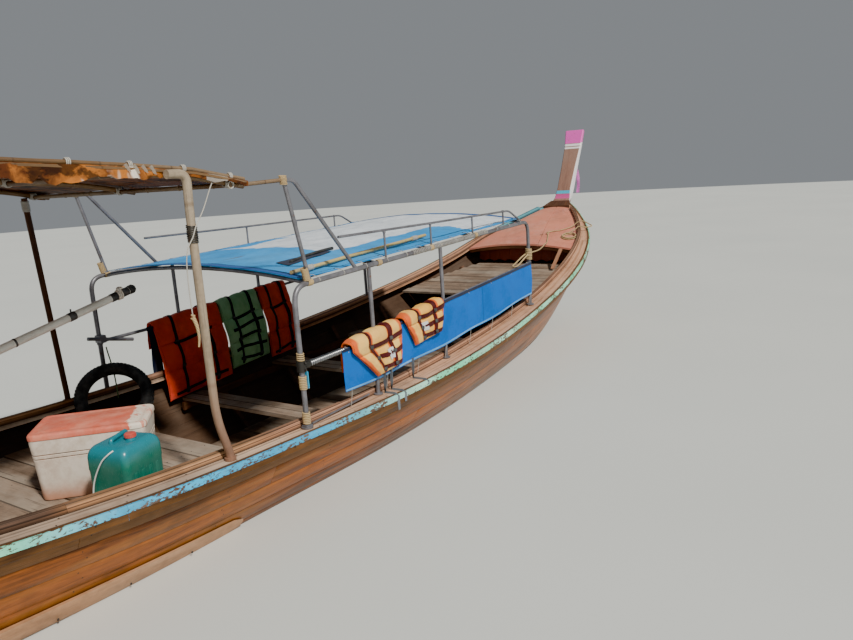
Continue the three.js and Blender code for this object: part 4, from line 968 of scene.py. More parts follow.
def pole_finish(light, dark, bands, low=None):
    """A pole with nodes along it; low is the colour of its lower part, below about a metre."""
    def build(n, shader):
        place, uv = n.place(), n.grain()
        wood = wooden(n, uv, n.attribute("tone"), light, dark, "#a29682", .8, .35, .4)
        ring = n.math("PINGPONG", n.axis(uv, 0), bands)
        joint = n.span(ring, bands * .955, bands)
        color = n.mix(n.times(joint, .6), wood["Color"], dark)
        if low:
            foot = n.span(n.fma(wood["Patch"], .3, n.axis(place, 2)), .75, 1.35, .75, 0.0)
            color = n.mix(foot, color, low)
        color = grimy(n, color, place, 5.0, .35, "#4a3a2a")
        dress(n, shader, color, .55, n.fma(joint, 1.0, wood["Height"]), .3, .002)
    return build


FINISHES["bamboo"] = pole_finish("#e0cb8a", "#9a7f45", .19)
# Bamboo darkened as painted shade for the poles under the roof; the roof-edge battens use it for their own dark brown.
FINISHES["roof_pole"] = pole_finish("#8a6a44", "#4a3420", .19)
FINISHES["bent_post"] = pole_finish("#b8a890", "#7a6650", .47, "#7c4a33")


# ---------------------------------------------------------------- geometry nodes

def geometry_group(name, inputs, build):
    """A geometry node group with named inputs that ends in real geometry with its material set."""
    group = bpy.data.node_groups.get(name)
    if group:
        return group
    group = bpy.data.node_groups.new(name, "GeometryNodeTree")
    group.interface.new_socket("Geometry", in_out="INPUT", socket_type="NodeSocketGeometry")
    for key, default in inputs:
        socket = group.interface.new_socket(key, in_out="INPUT", socket_type="NodeSocketFloat")
        socket.default_value = default
    group.interface.new_socket("Material", in_out="INPUT", socket_type="NodeSocketMaterial")
    group.interface.new_socket("Geometry", in_out="OUTPUT", socket_type="NodeSocketGeometry")
    n = Nodes(group)
    given = n.add("NodeGroupInput").outputs
    real = n.add("GeometryNodeRealizeInstances", {"Geometry": build(n, given)})
    painted = n.add("GeometryNodeSetMaterial", {"Geometry": real.outputs[0], "Material": given["Material"]})
    n.put(n.add("NodeGroupOutput").inputs["Geometry"], painted.outputs[0])
    return group


def named(n, name, kind="FLOAT"):
    return n.add("GeometryNodeInputNamedAttribute", {"Name": name}, data_type=kind).outputs[0]


def along(n, vector):
    return n.add("FunctionNodeAlignRotationToVector", {"Vector": vector}, axis="Z").outputs[0]


def jitter(n, seed, low, high):
    node = n.add("FunctionNodeRandomValue", data_type="FLOAT")
    for key, value in (("Min", low), ("Max", high), ("Seed", seed)):
        for socket in node.inputs:
            if socket.name == key and socket.enabled:
                n.put(socket, value)
    return [s for s in node.outputs if s.enabled][0]


def rings_tree():
    """Turns of cord, wire or tape round a path."""
    def build(n, i):
        curve = n.add("GeometryNodeMeshToCurve", {"Mesh": i["Geometry"]}).outputs[0]
        points = n.add("GeometryNodeResampleCurve", {"Curve": curve, "Length": i["Pitch"]}, mode="LENGTH").outputs[0]
        loop = n.add("GeometryNodeCurvePrimitiveCircle", {"Resolution": 14, "Radius": i["Radius"]}).outputs[0]
        section = n.add("GeometryNodeCurvePrimitiveCircle", {"Resolution": 6, "Radius": i["Thickness"]}).outputs[0]
        ring = n.add("GeometryNodeCurveToMesh", {"Curve": loop, "Profile Curve": section}).outputs[0]
        lean = n.add("FunctionNodeEulerToRotation", {"Euler": (.12, .0, .4)}).outputs[0]
        path = n.add("GeometryNodeInputTangent").outputs[0]
        turn = n.add("FunctionNodeRotateRotation", {"Rotation": along(n, path), "Rotate By": lean},
                     rotation_space="LOCAL").outputs[0]
        put = n.add("GeometryNodeInstanceOnPoints", {"Points": points, "Instance": ring, "Rotation": turn})
        n.put(put.inputs["Scale"], jitter(n, 11, .97, 1.05))
        return put.outputs[0]
    return geometry_group("Rings Along", [("Pitch", .01), ("Radius", .02), ("Thickness", .003)], build)


def stitches_tree():
    """Short threads one after another along a path."""
    def build(n, i):
        curve = n.add("GeometryNodeMeshToCurve", {"Mesh": i["Geometry"]}).outputs[0]
        points = n.add("GeometryNodeResampleCurve", {"Curve": curve, "Length": i["Pitch"]}, mode="LENGTH").outputs[0]
        thread = n.add("GeometryNodeMeshCylinder",
                       {"Vertices": 6, "Radius": i["Radius"], "Depth": i["Length"]}).outputs[0]
        path = n.add("GeometryNodeInputTangent").outputs[0]
        put = n.add("GeometryNodeInstanceOnPoints",
                    {"Points": points, "Instance": thread, "Rotation": along(n, path)})
        n.put(put.inputs["Scale"], jitter(n, 5, .85, 1.1))
        return put.outputs[0]
    return geometry_group("Stitches Along", [("Pitch", .012), ("Length", .007), ("Radius", .0012)], build)


def studs_tree():
    """Domed heads standing on points, square to each point's facing."""
    def build(n, i):
        ball = n.add("GeometryNodeMeshUVSphere", {"Segments": 8, "Rings": 5, "Radius": i["Radius"]}).outputs[0]
        flat = n.add("ShaderNodeCombineXYZ", {"X": 1.0, "Y": 1.0, "Z": i["Height"]}).outputs[0]
        head = n.add("GeometryNodeTransform", {"Geometry": ball, "Scale": flat}).outputs[0]
        put = n.add("GeometryNodeInstanceOnPoints", {"Points": i["Geometry"], "Instance": head,
                                                     "Rotation": along(n, named(n, "facing", "FLOAT_VECTOR"))})
        n.put(put.inputs["Scale"], jitter(n, 3, .85, 1.15))
        return put.outputs[0]
    return geometry_group("Studs On Points", [("Radius", .005), ("Height", .45)], build)


def boards_tree(unit):
    """Boards or blocks on points: each has its size and turn, bevelled edges and grain coordinates."""
    def build(n, i):
        shape = n.add("GeometryNodeObjectInfo", {"Object": unit}, transform_space="ORIGINAL").outputs["Geometry"]
        spin = n.add("FunctionNodeEulerToRotation", {"Euler": named(n, "turn", "FLOAT_VECTOR")}).outputs[0]
        put = n.add("GeometryNodeInstanceOnPoints", {"Points": i["Geometry"], "Instance": shape, "Rotation": spin,
                                                     "Scale": named(n, "size", "FLOAT_VECTOR")}).outputs[0]
        real = n.add("GeometryNodeRealizeInstances", {"Geometry": put}).outputs[0]
        inset = n.add("ShaderNodeVectorMath", operation="SCALE")
        n.put(inset.inputs[0], named(n, "inset", "FLOAT_VECTOR"))
        n.put(inset.inputs["Scale"], i["Bevel"])
        offset = n.add("FunctionNodeRotateVector", {"Vector": inset.outputs[0], "Rotation": spin}).outputs[0]
        moved = n.add("GeometryNodeSetPosition", {"Geometry": real, "Offset": offset}).outputs[0]
        local = n.scaled(named(n, "unit", "FLOAT_VECTOR"), named(n, "size", "FLOAT_VECTOR"))
        split = n.add("ShaderNodeSeparateXYZ", {"Vector": local}).outputs
        flat = n.add("ShaderNodeCombineXYZ", {"X": split[0], "Y": n.plus(split[1], split[2])}).outputs[0]
        kept = n.add("GeometryNodeStoreNamedAttribute", {"Geometry": moved, "Name": "grain"}, data_type="FLOAT2",
                     domain="CORNER")
        n.put([s for s in kept.inputs if s.name == "Value" and s.enabled][0], flat)
        return kept.outputs[0]
    return geometry_group("Boards On Points", [("Bevel", .003)], build)


def unit_board():
    """A unit block whose corner points know which way each edge's bevel draws them in."""
    found = bpy.data.meshes.get("unit-board")
    if found:
        return bpy.data.objects["unit-board"]
    bm = bmesh.new()
    inset = bm.verts.layers.float_vector.new("inset")
    unit = bm.verts.layers.float_vector.new("unit")
    edge = bm.faces.layers.float.new("edge")
    made = {}
    signs = [(a, b, c) for a in (-1, 1) for b in (-1, 1) for c in (-1, 1)]
    for s in signs:
        for d in range(3):
            v = bm.verts.new([k / 2 for k in s])
            v[inset] = [0 if k == d else -s[k] for k in range(3)]
            v[unit] = [k / 2 for k in s]
            made[s, d] = v
    for d in range(3):
        a, b = [k for k in range(3) if k != d]
        for sign in (-1, 1):
            ring = []
            for p, q in ((-1, -1), (1, -1), (1, 1), (-1, 1)):
                s = [0, 0, 0]
                s[d], s[a], s[b] = sign, p, q
                ring.append(made[tuple(s), d])
            bm.faces.new(ring)
    for d in range(3):
        a, b = [k for k in range(3) if k != d]
        for p in (-1, 1):
            for q in (-1, 1):
                low, high = [0, 0, 0], [0, 0, 0]
                low[a], low[b], low[d] = p, q, -1
                high[a], high[b], high[d] = p, q, 1
                low, high = tuple(low), tuple(high)
                bm.faces.new((made[low, a], made[high, a], made[high, b], made[low, b]))[edge] = 1
    for s in signs:
        bm.faces.new([made[s, d] for d in range(3)])[edge] = 1
    for v in bm.verts:
        v.co = v.co + Vector(v[inset]) * .01
    bmesh.ops.recalc_face_normals(bm, faces=bm.faces)
    for v in bm.verts:
        v.co = Vector(v[unit])
    mesh = bpy.data.meshes.new("unit-board")
    bm.to_mesh(mesh)
    bm.free()
    obj = bpy.data.objects.new("unit-board", mesh)
    return obj


def grow(name, tree, points, key, edges=(), attributes=None, body="hull", replaces=(), slot=None, **inputs):
    """Runs a geometry node tree over points and keeps the result as a plain piece."""
    source = bpy.data.meshes.new(name + "-points")
    source.from_pydata([tuple(p) for p in points], list(edges), [])
    for label, values in (attributes or {}).items():
        vector = hasattr(values[0], "__len__")
        layer = source.attributes.new(label, "FLOAT_VECTOR" if vector else "FLOAT", "POINT")
        layer.data.foreach_set("vector" if vector else "value", [c for v in values for c in v] if vector else values)
    carrier = link(bpy.data.objects.new(name + "-points", source))
    modifier = carrier.modifiers.new("Grow", "NODES")
    modifier.node_group = tree
    inputs["Material"] = finish(key)
    for item in tree.interface.items_tree:
        if item.item_type == "SOCKET" and item.in_out == "INPUT" and item.name in inputs:
            modifier[item.identifier] = inputs[item.name]
    graph = bpy.context.evaluated_depsgraph_get()
    mesh = bpy.data.meshes.new_from_object(carrier.evaluated_get(graph))
    mesh.name = name
    bpy.data.objects.remove(carrier)
    bpy.data.meshes.remove(source)
    smooth(mesh, 40)
    return settle(name, mesh, [key], body, replaces, slot)


def chain(paths):
    """Points and edges of several open paths."""
    points, edges = [], []
    for path in paths:
        base = len(points)
        points += [Vector(p) for p in path]
        edges += [(base + k, base + k + 1) for k in range(len(path) - 1)]
    return points, edges


def rings(name, paths, key, pitch, radius, thickness, body="hull"):
    points, edges = chain(paths)
    return grow(name, rings_tree(), points, key, edges, body=body, Pitch=pitch, Radius=radius, Thickness=thickness)


def stitches(name, paths, key, pitch=.012, length=.007, radius=.0012, slot=None):
    points, edges = chain(paths)
    return grow(name, stitches_tree(), points, key, edges, slot=slot, Pitch=pitch, Length=length, Radius=radius)


def studs(name, rows, key, radius=.005, height=.45, body="hull"):
    """rows are (point, facing)."""
    return grow(name, studs_tree(), [r[0] for r in rows], key, attributes={"facing": [tuple(r[1]) for r in rows]},
                body=body, Radius=radius, Height=height)


def boards(name, rows, key, bevel=.003, replaces=()):
    """rows are (centre, size with the grain first, turn, tone)."""
    return grow(name, boards_tree(unit_board()), [r[0] for r in rows], key, replaces=replaces,
                attributes={"size": [r[1] for r in rows], "turn": [r[2] for r in rows], "tone": [r[3] for r in rows]},
                Bevel=bevel)


def coat(key, *nodes):
    """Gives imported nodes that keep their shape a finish."""
    for node in nodes:
        for holder in NODES[node].material_slots:
            holder.material = finish(key)


def sheet_of(name, grid, key, thick=.0016, replaces=(), slot=None, angle=60):
    """A thin two-faced sheet from rows of points, with cloth coordinates in metres; also its length and width."""
    rows, cols = len(grid), len(grid[0])
    grid = [[Vector(p) for p in row] for row in grid]
    along_u, along_v = [0.0], [0.0]
    for r in range(1, rows):
        along_u.append(along_u[-1] + (grid[r][cols // 2] - grid[r - 1][cols // 2]).length)
    for c in range(1, cols):
        along_v.append(along_v[-1] + (grid[rows // 2][c] - grid[rows // 2][c - 1]).length)
    normals = []
    for r in range(rows):
        for c in range(cols):
            du = grid[min(r + 1, rows - 1)][c] - grid[max(r - 1, 0)][c]
            dv = grid[r][min(c + 1, cols - 1)] - grid[r][max(c - 1, 0)]
            normals.append(du.cross(dv).normalized())
    front, back = ([p + n * thick * sign for p, n in zip(sum(grid, []), normals)] for sign in (.5, -.5))
    shape = Shape().two_faced(front, back, cols, lambda r, c: (along_u[r], along_v[c]))
    return piece(name, shape, [key], replaces, angle, slot), along_u[-1], along_v[-1]


# ---------------------------------------------------------------- hull

def hull_rings(xs, side, section):
    return [[(x, side * inside(x, i), sheer(x) + h) for i, h in section(x)] for x in xs]


def lengths(start, end, joints, step):
    """Stations of each run between joints."""
    ends = [start] + list(joints) + [end]
    for a, b in zip(ends, ends[1:]):
        a, b = a + JOINT_GAP, b - JOINT_GAP
        yield spread(a, b, max(int((b - a) / step), 2))


def ends_in(rings, amount=.0025):
    """Draws the two end rings of a bar in, as a bevel."""
    out = [[Vector(p) for p in ring] for ring in rings]
    for first, second in ((0, 1), (-1, -2)):
        middle = sum(out[first], Vector()) / len(out[first])
        ahead = (sum(out[second], Vector()) / len(out[second]) - middle).normalized()
        moved = [p + ahead * amount for p in out[first]]
        size = max((p - middle).length for p in out[first])
        drawn = [middle + (p - middle) * (1 - amount / size) for p in out[first]]
        if first == 0:
            out = [drawn, moved] + out[1:]
        else:
            out = out[:-1] + [moved, drawn]
    return out


SIDE_SHARES = (BILGE, .62, .715, .81, .905, 1.0)
BOTTOM_SHARES = (0.0, .13, .26, .39, BILGE)
FIRST_RIB, RIB_PITCH, RIBS = -4.9, .82, 11


def strake(shape, side, low, high, slots, rng, joints, seam):
    """One plank of the hull skin: two outer chamfers make the seam, its back face is square."""
    near, far = low + .0038, high - .0038
    rows = [(low, seam), (near, 0), ((low * 2 + high) / 3, 0), ((low + high * 2) / 3, 0), (far, 0), (high, seam),
            (high, PLANK), ((low + high) / 2, PLANK), (low, PLANK)]
    for xs in lengths(STERN_X + .04, BOW_X, joints, .11):
        tone = rng.uniform(.15, .85)
        hoops = []
        for x in xs:
            ring = []
            for share, depth in rows:
                y, z = skin(x, clamp(share), depth)
                ring.append((x, side * y, z))
            hoops.append(ring)
        marks = [.8, .12, 0, 0, .12, .8, 0, 0, 0]
        shape.loft(ends_in(hoops, .002), slots, tone, marks, start=(rng.uniform(0, 9), rng.uniform(0, 9)))


def build_planking(sizes):
    rng = random.Random(41)
    for label, side in SIDES:
        shape = Shape()
        for k, (low, high) in enumerate(zip(SIDE_SHARES, SIDE_SHARES[1:])):
            # The top strake takes the umber finish, which is partly painted shadow under the gunwale.
            outer = 2 if k == len(SIDE_SHARES) - 2 else 0
            cuts = [(-3.9, .2), (-2.6, 1.9), (-4.2, -.6, 3.1), (-2.1, 1.2), (-3.3, .9)][k]
            strake(shape, side, low, high, [outer] * 5 + [1] * 4, rng, cuts, sizes.plank_seam)
        piece(f"planks-{label}", shape, ["varnished_planks", "inner_wood", "top_plank"],
              [f"side-planking-aft-{label}", f"side-planking-fore-{label}"], 30)
    shape = Shape()
    for label, side in SIDES:
        for k, (low, high) in enumerate(zip(BOTTOM_SHARES, BOTTOM_SHARES[1:])):
            cuts = [(-2.8, .5), (-1.4, 2.2), (-3.6, 1.1), (-2.2, .1)][k]
            strake(shape, side, low, high, [0] * 5 + [1] * 4, rng, cuts, sizes.plank_seam)
    piece("bottom-planks", shape, ["dark_wood", "inner_wood"], ["bottom-planking"], 30)
    rows = []
    for label, side in SIDES:
        for share in SIDE_SHARES[1:]:
            for rib in range(RIBS):
                x = FIRST_RIB + rib * RIB_PITCH
                for dx, ds in ((-.014, -.02), (.014, -.055)):
                    y, z = skin(x + dx, share + ds)
                    out = Vector((0, side * (z + .9), -.35)).normalized()
                    rows.append(((x + dx, side * y, z), out))
    studs("plank-nails", rows, "dark_iron", .0045, .18)


def build_transom(sizes):
    shape = Shape()
    rng = random.Random(6)
    levels = [hull(KEEL, STERN_X) + .004, .1, .235, .36, .485, .6]
    for low, high in zip(levels, levels[1:]):
        faces = []
        for x in (STERN_X, STERN_X + TRANSOM_THICK):
            right = [(x, max(breadth_at(STERN_X, z), .02), z) for z in spread(low + .001, high - .001, 5)]
            faces.append(right + [(x, -y, z) for _, y, z in reversed(right)])
        shape.loft(ends_in(faces, .003), 0, rng.uniform(.2, .8))
        shape.grain = [(b, a) for a, b in shape.grain]
    piece("transom-boards", shape, ["varnished_planks"], ["transom"], 30)


def build_gunwales(sizes):
    rng = random.Random(17)

    def rub(_):
        return [(0, -.01), (0, -.04), (.004, -.0415), (.004, -.077), (.008, -.082), (STRAKE_THICK, -.082),
                (STRAKE_THICK, -.001), (.012, 0), (.003, -.0025)]

    def wash(x):
        wide = hull(RAIL, x)
        return [(STRAKE_THICK + .001, -.003), (STRAKE_THICK + .001, -WASHBOARD_THICK), (wide, -WASHBOARD_THICK),
                (wide, -.003), (wide - .003, 0), (STRAKE_THICK + .011, 0), (STRAKE_THICK + .004, 0)]

    def rail(x):
        w = hull(RAIL, x)
        top = RAIL_TALL
        steps = [(w, 0), (w, top - .008), (w - .003, top - .001)]
        for groove in RAIL_GROOVES:
            steps += [(w - groove + .003, top), (w - groove, top - .007), (w - groove - .003, top)]
        outer = w - RAIL_THICK
        return steps + [(w - .0355, top - .002), (w - .0375, top - .005), (outer + .002, top - .018),
                        (outer, top - .022), (outer, top - .026), (outer, 0)]

    # Edge marks: on the rub strake's lower faces and in the rail grooves they darken the wood as painted shade; at
    # joints they are dark seams.
    rub_marks = [.25, .5, .7, .3, .8, .3, .3, .4, .3]
    wash_marks = [1, 0, 0, .6, .1, 0, 1]
    rail_marks = [1, .1, .4] + [.5, 1, .5] * 3 + [1, .1, .1, 1, .1, 1]
    for label, side in SIDES:
        # The rub strake's faces below its paint band take the umber finish, partly painted shadow.
        jobs = (
            ("rub-strake", rub, rub_marks, STERN_X, BOW_X, (-3.1, .62, 2.95), "turquoise_paint",
             [0] + [1] * 6 + [0] * 2),
            ("washboard", wash, wash_marks, STERN_X, BOW_X, (-3.75, -1.1, 1.75, 3.7), "washboard_wood", 0),
            ("inner-rail", rail, rail_marks, STERN_X + .06, 4.69, (-3.3, .35, 2.6), "inner_rail_wood", 0),
        )
        for name, section, marks, start, end, joints, key, slots in jobs:
            shape = Shape()
            for xs in lengths(start, end, joints, .07):
                shape.loft(ends_in(hull_rings(xs, side, section), .002), slots, rng.uniform(.25, .8), marks,
                           start=(rng.uniform(0, 9), rng.uniform(0, 9)))
            piece(f"{name}-timber-{label}", shape, [key, "top_plank"][:1 if slots == 0 else 2], [f"{name}-{label}"], 32)
    rows = []
    for label, side in SIDES:
        for x in spread(-5.35, 4.4, 30):
            for px, offset in ((x, .045), (x + .05, hull(RAIL, x) - .06)):
                rows.append(((px, side * inside(px, offset), sheer(px) + .0005), Z))
        for x in spread(-5.3, 4.5, 24):
            rows.append(((x, side * (inside(x, 0) + .0003), sheer(x) - .045), (0, side, 0)))
    studs("gunwale-nails", rows, "dark_iron", .005, .2)


def plank_share(x):
    return (x - STERN_PLANK["aft"]) / (STERN_PLANK["fore"] - STERN_PLANK["aft"])


def build_stern_planks(sizes):
    for label, side in SIDES:
        hoops = []
        for x in spread(STERN_PLANK["aft"], STERN_PLANK["fore"], 40):
            t = plank_share(x)
            thick = STERN_PLANK["thick"] - .026 * t**3
            low = .012 - .042 * max((t - .55) / .45, 0)**1.3
            tall = STERN_PLANK["tall"] * (1 if t < .97 else sqrt(max(1 - ((t - .97) / .03)**2, .3)))
            middle = low + STERN_PLANK["tall"] / 2
            face = [(breadth_at(x, z) + .007, z) for z in spread(middle - tall / 2, middle + tall / 2, 5)]
            back = [(y + thick, z) for y, z in reversed(face)]
            for end in (0, -1):
                back[end] = (back[end][0] - .006, back[end][1])
            hoops.append([(x, side * y, z) for y, z in face + back])
        shape = Shape().loft(ends_in(hoops, .004), 0, .6)
        piece(f"stern-plank-timber-{label}", shape, ["stern_plank_wood"], [f"stern-plank-{label}"], 40)
    rows = []
    for _, side in SIDES:
        for x in spread(-5.2, -2.6, 7):
            t = plank_share(x)
            rows.append(((x, side * (breadth_at(x, .05) + .045 - .026 * t**3), .065 - .04 * t), (0, side, 0)))
    studs("stern-plank-bolts", rows, "dark_iron", .007, .3)


BULKHEAD_X = (3.64, 3.662)
# Stem above the deck: z, rear x, rear half breadth, front x, front half breadth
STEM_HEAD = [
    (1.165, 4.901, .04, 5.0, .03), (1.4, 4.901, .09, 5.11, .04), (1.5, 4.902, .138, 5.16, .06),
    (1.575, 4.985, .118, 5.2, .07), (1.7, 5.052, .105, 5.265, .08), (2.0, 5.24, .112, 5.4, .092),
    (2.3, 5.428, .125, 5.54, .108), (2.528, 5.52, .14, 5.61, .126),
]


def build_bow(sizes):
    shape = Shape()
    head = []
    for (z0, *a), (z1, *b) in zip(STEM_HEAD, STEM_HEAD[1:]):
        for k in range(4):
            t = k / 4
            head.append((z0 + (z1 - z0) * t, *[p + (q - p) * t for p, q in zip(a, b)]))
    head.append(STEM_HEAD[-1])
    hoops = []
    c = .012  # chamfer of the stem's corners
    for z, rear_x, rear, front_x, front in head:
        hoops.append([(rear_x, -rear + c, z), (rear_x, rear - c, z), (rear_x + c, rear, z - .001),
                      (front_x - c, front, z - .009), (front_x, front - c, z - .01), (front_x, -front + c, z - .01),
                      (front_x - c, -front, z - .009), (rear_x + c, -rear, z - .001)])
    shape.loft(ends_in(hoops, .008), 0, .5, [0, 0, 0, 0, 0, 0, 1, 1])
    hoops = []
    for x in spread(STERN_X + .06, BOW_X - .006, 110):
        a, b = x - .015, min(x + .015, BOW_X)
        slope = (hull(KEEL, b) - hull(KEEL, a)) / (b - a)
        size = hypot(1, slope)

        def at(depth):
            return x + depth * slope / size, hull(KEEL, x) - depth / size

        (ax, az), (bx, bz), (cx, cz) = at(.0003), at(.095), at(.105)
        hoops.append([(ax, -.045, az), (ax, .045, az), (bx, .034, bz), (cx, .024, cz), (cx, -.024, cz),
                      (bx, -.034, bz)])
    shape.loft(hoops, 1, .4)
    piece("stem-and-keel", shape, ["stem_paint", "dark_wood"], ["keel-and-stem"], 30)

    shape = Shape()
    for low, high in ((-1, 0), (0, 1)):
        hoops = []
        for x in spread(FOREDECK["from"], FOREDECK["to"], 26):
            half = inside(x, hull(RAIL, x)) - .001
            t = (x - FOREDECK["from"]) / (FOREDECK["to"] - FOREDECK["from"])
            split = -.36 + .3 * t
            a, b = (-half, split * half - .0015) if low < 0 else (split * half + .0015, half)
            ys = spread(a, b, 10)
            top = [(x, y, deck_z(x, y)) for y in ys]
            top[0] = (x, ys[0], top[0][2] - .003)
            top[-1] = (x, ys[-1], top[-1][2] - .003)
            top.insert(1, (x, ys[0] + .003, deck_z(x, ys[0] + .003)))
            top.insert(-1, (x, ys[-1] - .003, deck_z(x, ys[-1] - .003)))
            hoops.append(top + [(px, py, pz - .022) for px, py, pz in reversed(top)])
        marks = [1, .2] + [0] * 9 + [.2, 1] + [0] * 13
        shape.loft(ends_in(hoops, .003), 0, .5, marks)
    piece("foredeck-boards", shape, ["salmon_paint"], ["foredeck"], 30)

    beam = Shape()
    hoops = []
    x0 = FOREDECK["from"] + .012
    for y in spread(-inside(x0, hull(RAIL, x0)) + .004, inside(x0, hull(RAIL, x0)) - .004, 30):
        z = deck_z(x0, y) - .0245
        hoops.append([(x0 - .008, y, z), (x0 + .04, y, z), (x0 + .04, y, z - .05), (x0 - .008, y, z - .04)])
    beam.loft(hoops, 0, .2)
    piece("foredeck-beam", beam, ["dark_wood"], angle=30)

    shape = Shape()
    rng = random.Random(3)
    x0, x1 = BULKHEAD_X
    low, high = .812, sheer(x0) - .062
    half = breadth_at(x1, low, PLANK + .004)
    count = 9
    for k in range(count):
        y0, y1 = [(-1 + 2 * (k + d) / count) * half for d in (0, 1)]
        hoops = []
        for y in spread(y0 + .001, y1 - .001, 6):
            lo = low + .028 * abs(sin(pi * (y / half) * 4.5))
            for z in spread(low, high, 10):
                if breadth_at(x1, z, PLANK + .004) > abs(y):
                    lo = max(lo, z) if z > lo + .12 and abs(y) > breadth_at(x1, low, PLANK + .004) else lo
                    break
            hoops.append([(x0, y, lo), (x0, y, high), (x1, y, high), (x1, y, lo)])
        shape.loft(ends_in(hoops, .002), 0, rng.uniform(.3, .7), [.6, 0, 0, 0])
        shape.grain = [(b, a) for a, b in shape.grain]
    # The bulkhead's dark red-brown is partly painted shade of its recess.
    piece("bulkhead-boards", shape, ["maroon_paint"], ["bow-bulkhead"], 30)

    hook = Shape()
    hoops = []
    for x in spread(4.74, 4.898, 6):
        half = .2 + (.146 - .2) * (x - 4.74) / .158
        z = sheer(x) + .004
        hoops.append([(x, -half + .004, z), (x, half - .004, z), (x, half, z + .004), (x, half, z + .022),
                      (x, half - .006, z + .028), (x, -half + .006, z + .028), (x, -half, z + .022),
                      (x, -half, z + .004)])
    hook.loft(ends_in(hoops, .005), 0, .3)
    piece("breasthook-timber", hook, ["dark_wood"], angle=30)

    batten = Shape().sweep([(3.455, -.575, 1.005), (3.2, -.56, .79)],
                           [(-.02, -.008), (.02, -.008), (.02, .008), (-.02, .008)], 0, .8, .003)
    piece("loose-batten", batten, ["rail_wood"])


def deck_rows(start, end, board, top_at, rng, skip=None):
    count = round((end - start) / board)
    wide = (end - start) / count
    rows = []
    for i in range(count):
        x0, x1 = start + i * wide, start + (i + 1) * wide - .006
        top = (top_at(x0) + top_at(x1)) / 2
        half = min(breadth_at(x, top - .024, PLANK + FRAME_DEEP) for x in (x0, x1))
        parts = [(x0, x1, -half, half)]
        if skip and x0 < skip[0] < x1:
            sx0, sx1, sy0, sy1 = skip
            parts = [(x0, sx0, -half, half), (sx1, x1, -half, half), (sx0, sx1, -half, sy0), (sx0, sx1, sy1, half)]
        tone = rng.uniform(.15, .85)
        pitch = atan2(top_at(x1) - top_at(x0), x1 - x0)
        for px0, px1, y0, y1 in parts:
            lift = rng.uniform(-.0015, .0015)
            rows.append((((px0 + px1) / 2, (y0 + y1) / 2, top - .012 + lift), (y1 - y0, px1 - px0, .024),
                         (-pitch, rng.uniform(-.002, .002), pi / 2 + rng.uniform(-.002, .002)), tone))
    return rows


def build_decks(sizes):
    rng = random.Random(23)
    helm = deck_rows(-4.98, -2.01, .19, lambda x: .388, rng, skip=(-2.48, -2.42, -.76, -.52))
    boards("helm-deck-boards", helm, "weathered_wood", sizes.board_bevel, replaces=["helm-deck"])
    floor = deck_rows(-1.88, 1.99, .48, lambda x: -.04, rng)
    boards("floor-boarding", floor, "weathered_wood", sizes.board_bevel, replaces=["floor-boards"])

    def rise(x):
        return .655 + .151 * (x - 2.08) / 1.52

    bow = deck_rows(2.08, 3.6, .15, rise, rng)
    boards("bow-deck-boards", bow, "weathered_wood", sizes.board_bevel, replaces=["bow-deck"])
    bearers = []
    for y in (-.3, .3):
        bearers.append(((-3.495, y, .334), (2.94, .06, .06), (0, 0, 0), .3))
        bearers.append(((.055, y, -.094), (3.84, .06, .06), (0, 0, 0), .3))
    boards("deck-bearers", bearers, "dark_wood", .004)

    def seat_top(x):
        return .33 + .025 * (x + 1.15) / 1.1

    seats = []
    for x in (-1.15, -.05, 1.05):
        top = seat_top(x)
        half = min(breadth_at(px, top - .034, PLANK + FRAME_DEEP) for px in (x - .11, x + .11))
        for dx in (-.0555, .0555):
            seats.append(((x + dx, 0, top - .017), (half * 2, .108, .033), (0, 0, pi / 2), rng.uniform(.3, .8)))
    risers = Shape()
    for _, side in SIDES:
        hoops = []
        for x in spread(-1.3, 1.2, 24):
            top = seat_top(x)
            outer = breadth_at(x, top - .094, PLANK + FRAME_DEEP)
            hoops.append([(x, side * (outer - a), top - b)
                          for a, b in ((0, .026), (.026, .026), (.026, .094), (0, .094))])
        risers.loft(ends_in(hoops), 0, .4)
    piece("thwart-risers", risers, ["dark_wood"], angle=30)
    boards("thwart-boards", seats, "weathered_wood", .004, replaces=["thwarts"])
    rows = []
    for (x, y, z), (long, wide, thick), turn, tone in helm + bow + floor:
        for yy in (-.3, .3):
            for dx in (-wide * .3, wide * .3):
                if abs(yy - y) < long / 2 - .02 and wide > .1:
                    lift = tan(-turn[0]) * dx
                    rows.append(((x + dx, yy, z + .0125 + lift), Z))
    studs("deck-nails", rows, "dark_iron", .005, .2)


# ---------------------------------------------------------------- cords

ROPE_ROUTE = [
    (1.521, -1.006, 1.192), (1.6, -.982, 1.186), (1.75, -.935, 1.176), (1.9, -.887, 1.165),
    (2.25, -.771, 1.131), (2.6, -.657, 1.103), (2.95, -.543, 1.088), (3.25, -.452, 1.092),
    (3.454, -.388, 1.084), (3.561, -.35, 1.096), (3.68, -.31, 1.129), (3.76, -.28, 1.155), (3.8, -.264, 1.17),
    (3.835, -.264, 1.18), (3.862, -.286, 1.186), (3.885, -.32, 1.189), (3.923, -.38, 1.193),
    (4.01, -.448, 1.211), (4.068, -.5, 1.232), (4.096, -.54, 1.268), (4.108, -.575, 1.29),
    (4.118, -.612, 1.296), (4.124, -.66, 1.28), (4.118, -.712, 1.254), (4.098, -.746, 1.24),
    (4.06, -.762, 1.233), (4.022, -.756, 1.229), (3.995, -.728, 1.226), (3.978, -.692, 1.226),
    (3.966, -.655, 1.238), (3.95, -.615, 1.234), (3.925, -.59, 1.206),
]
COIL = {"x": 3.767, "y": -.565, "z": 1.136, "pitch": -15.5, "roll": 5.7}
COIL_LEVEL, COIL_TOP = -.0065, .0085
COIL_OUTER, COIL_INNER, COIL_MIDDLE = .096, .0735, .085
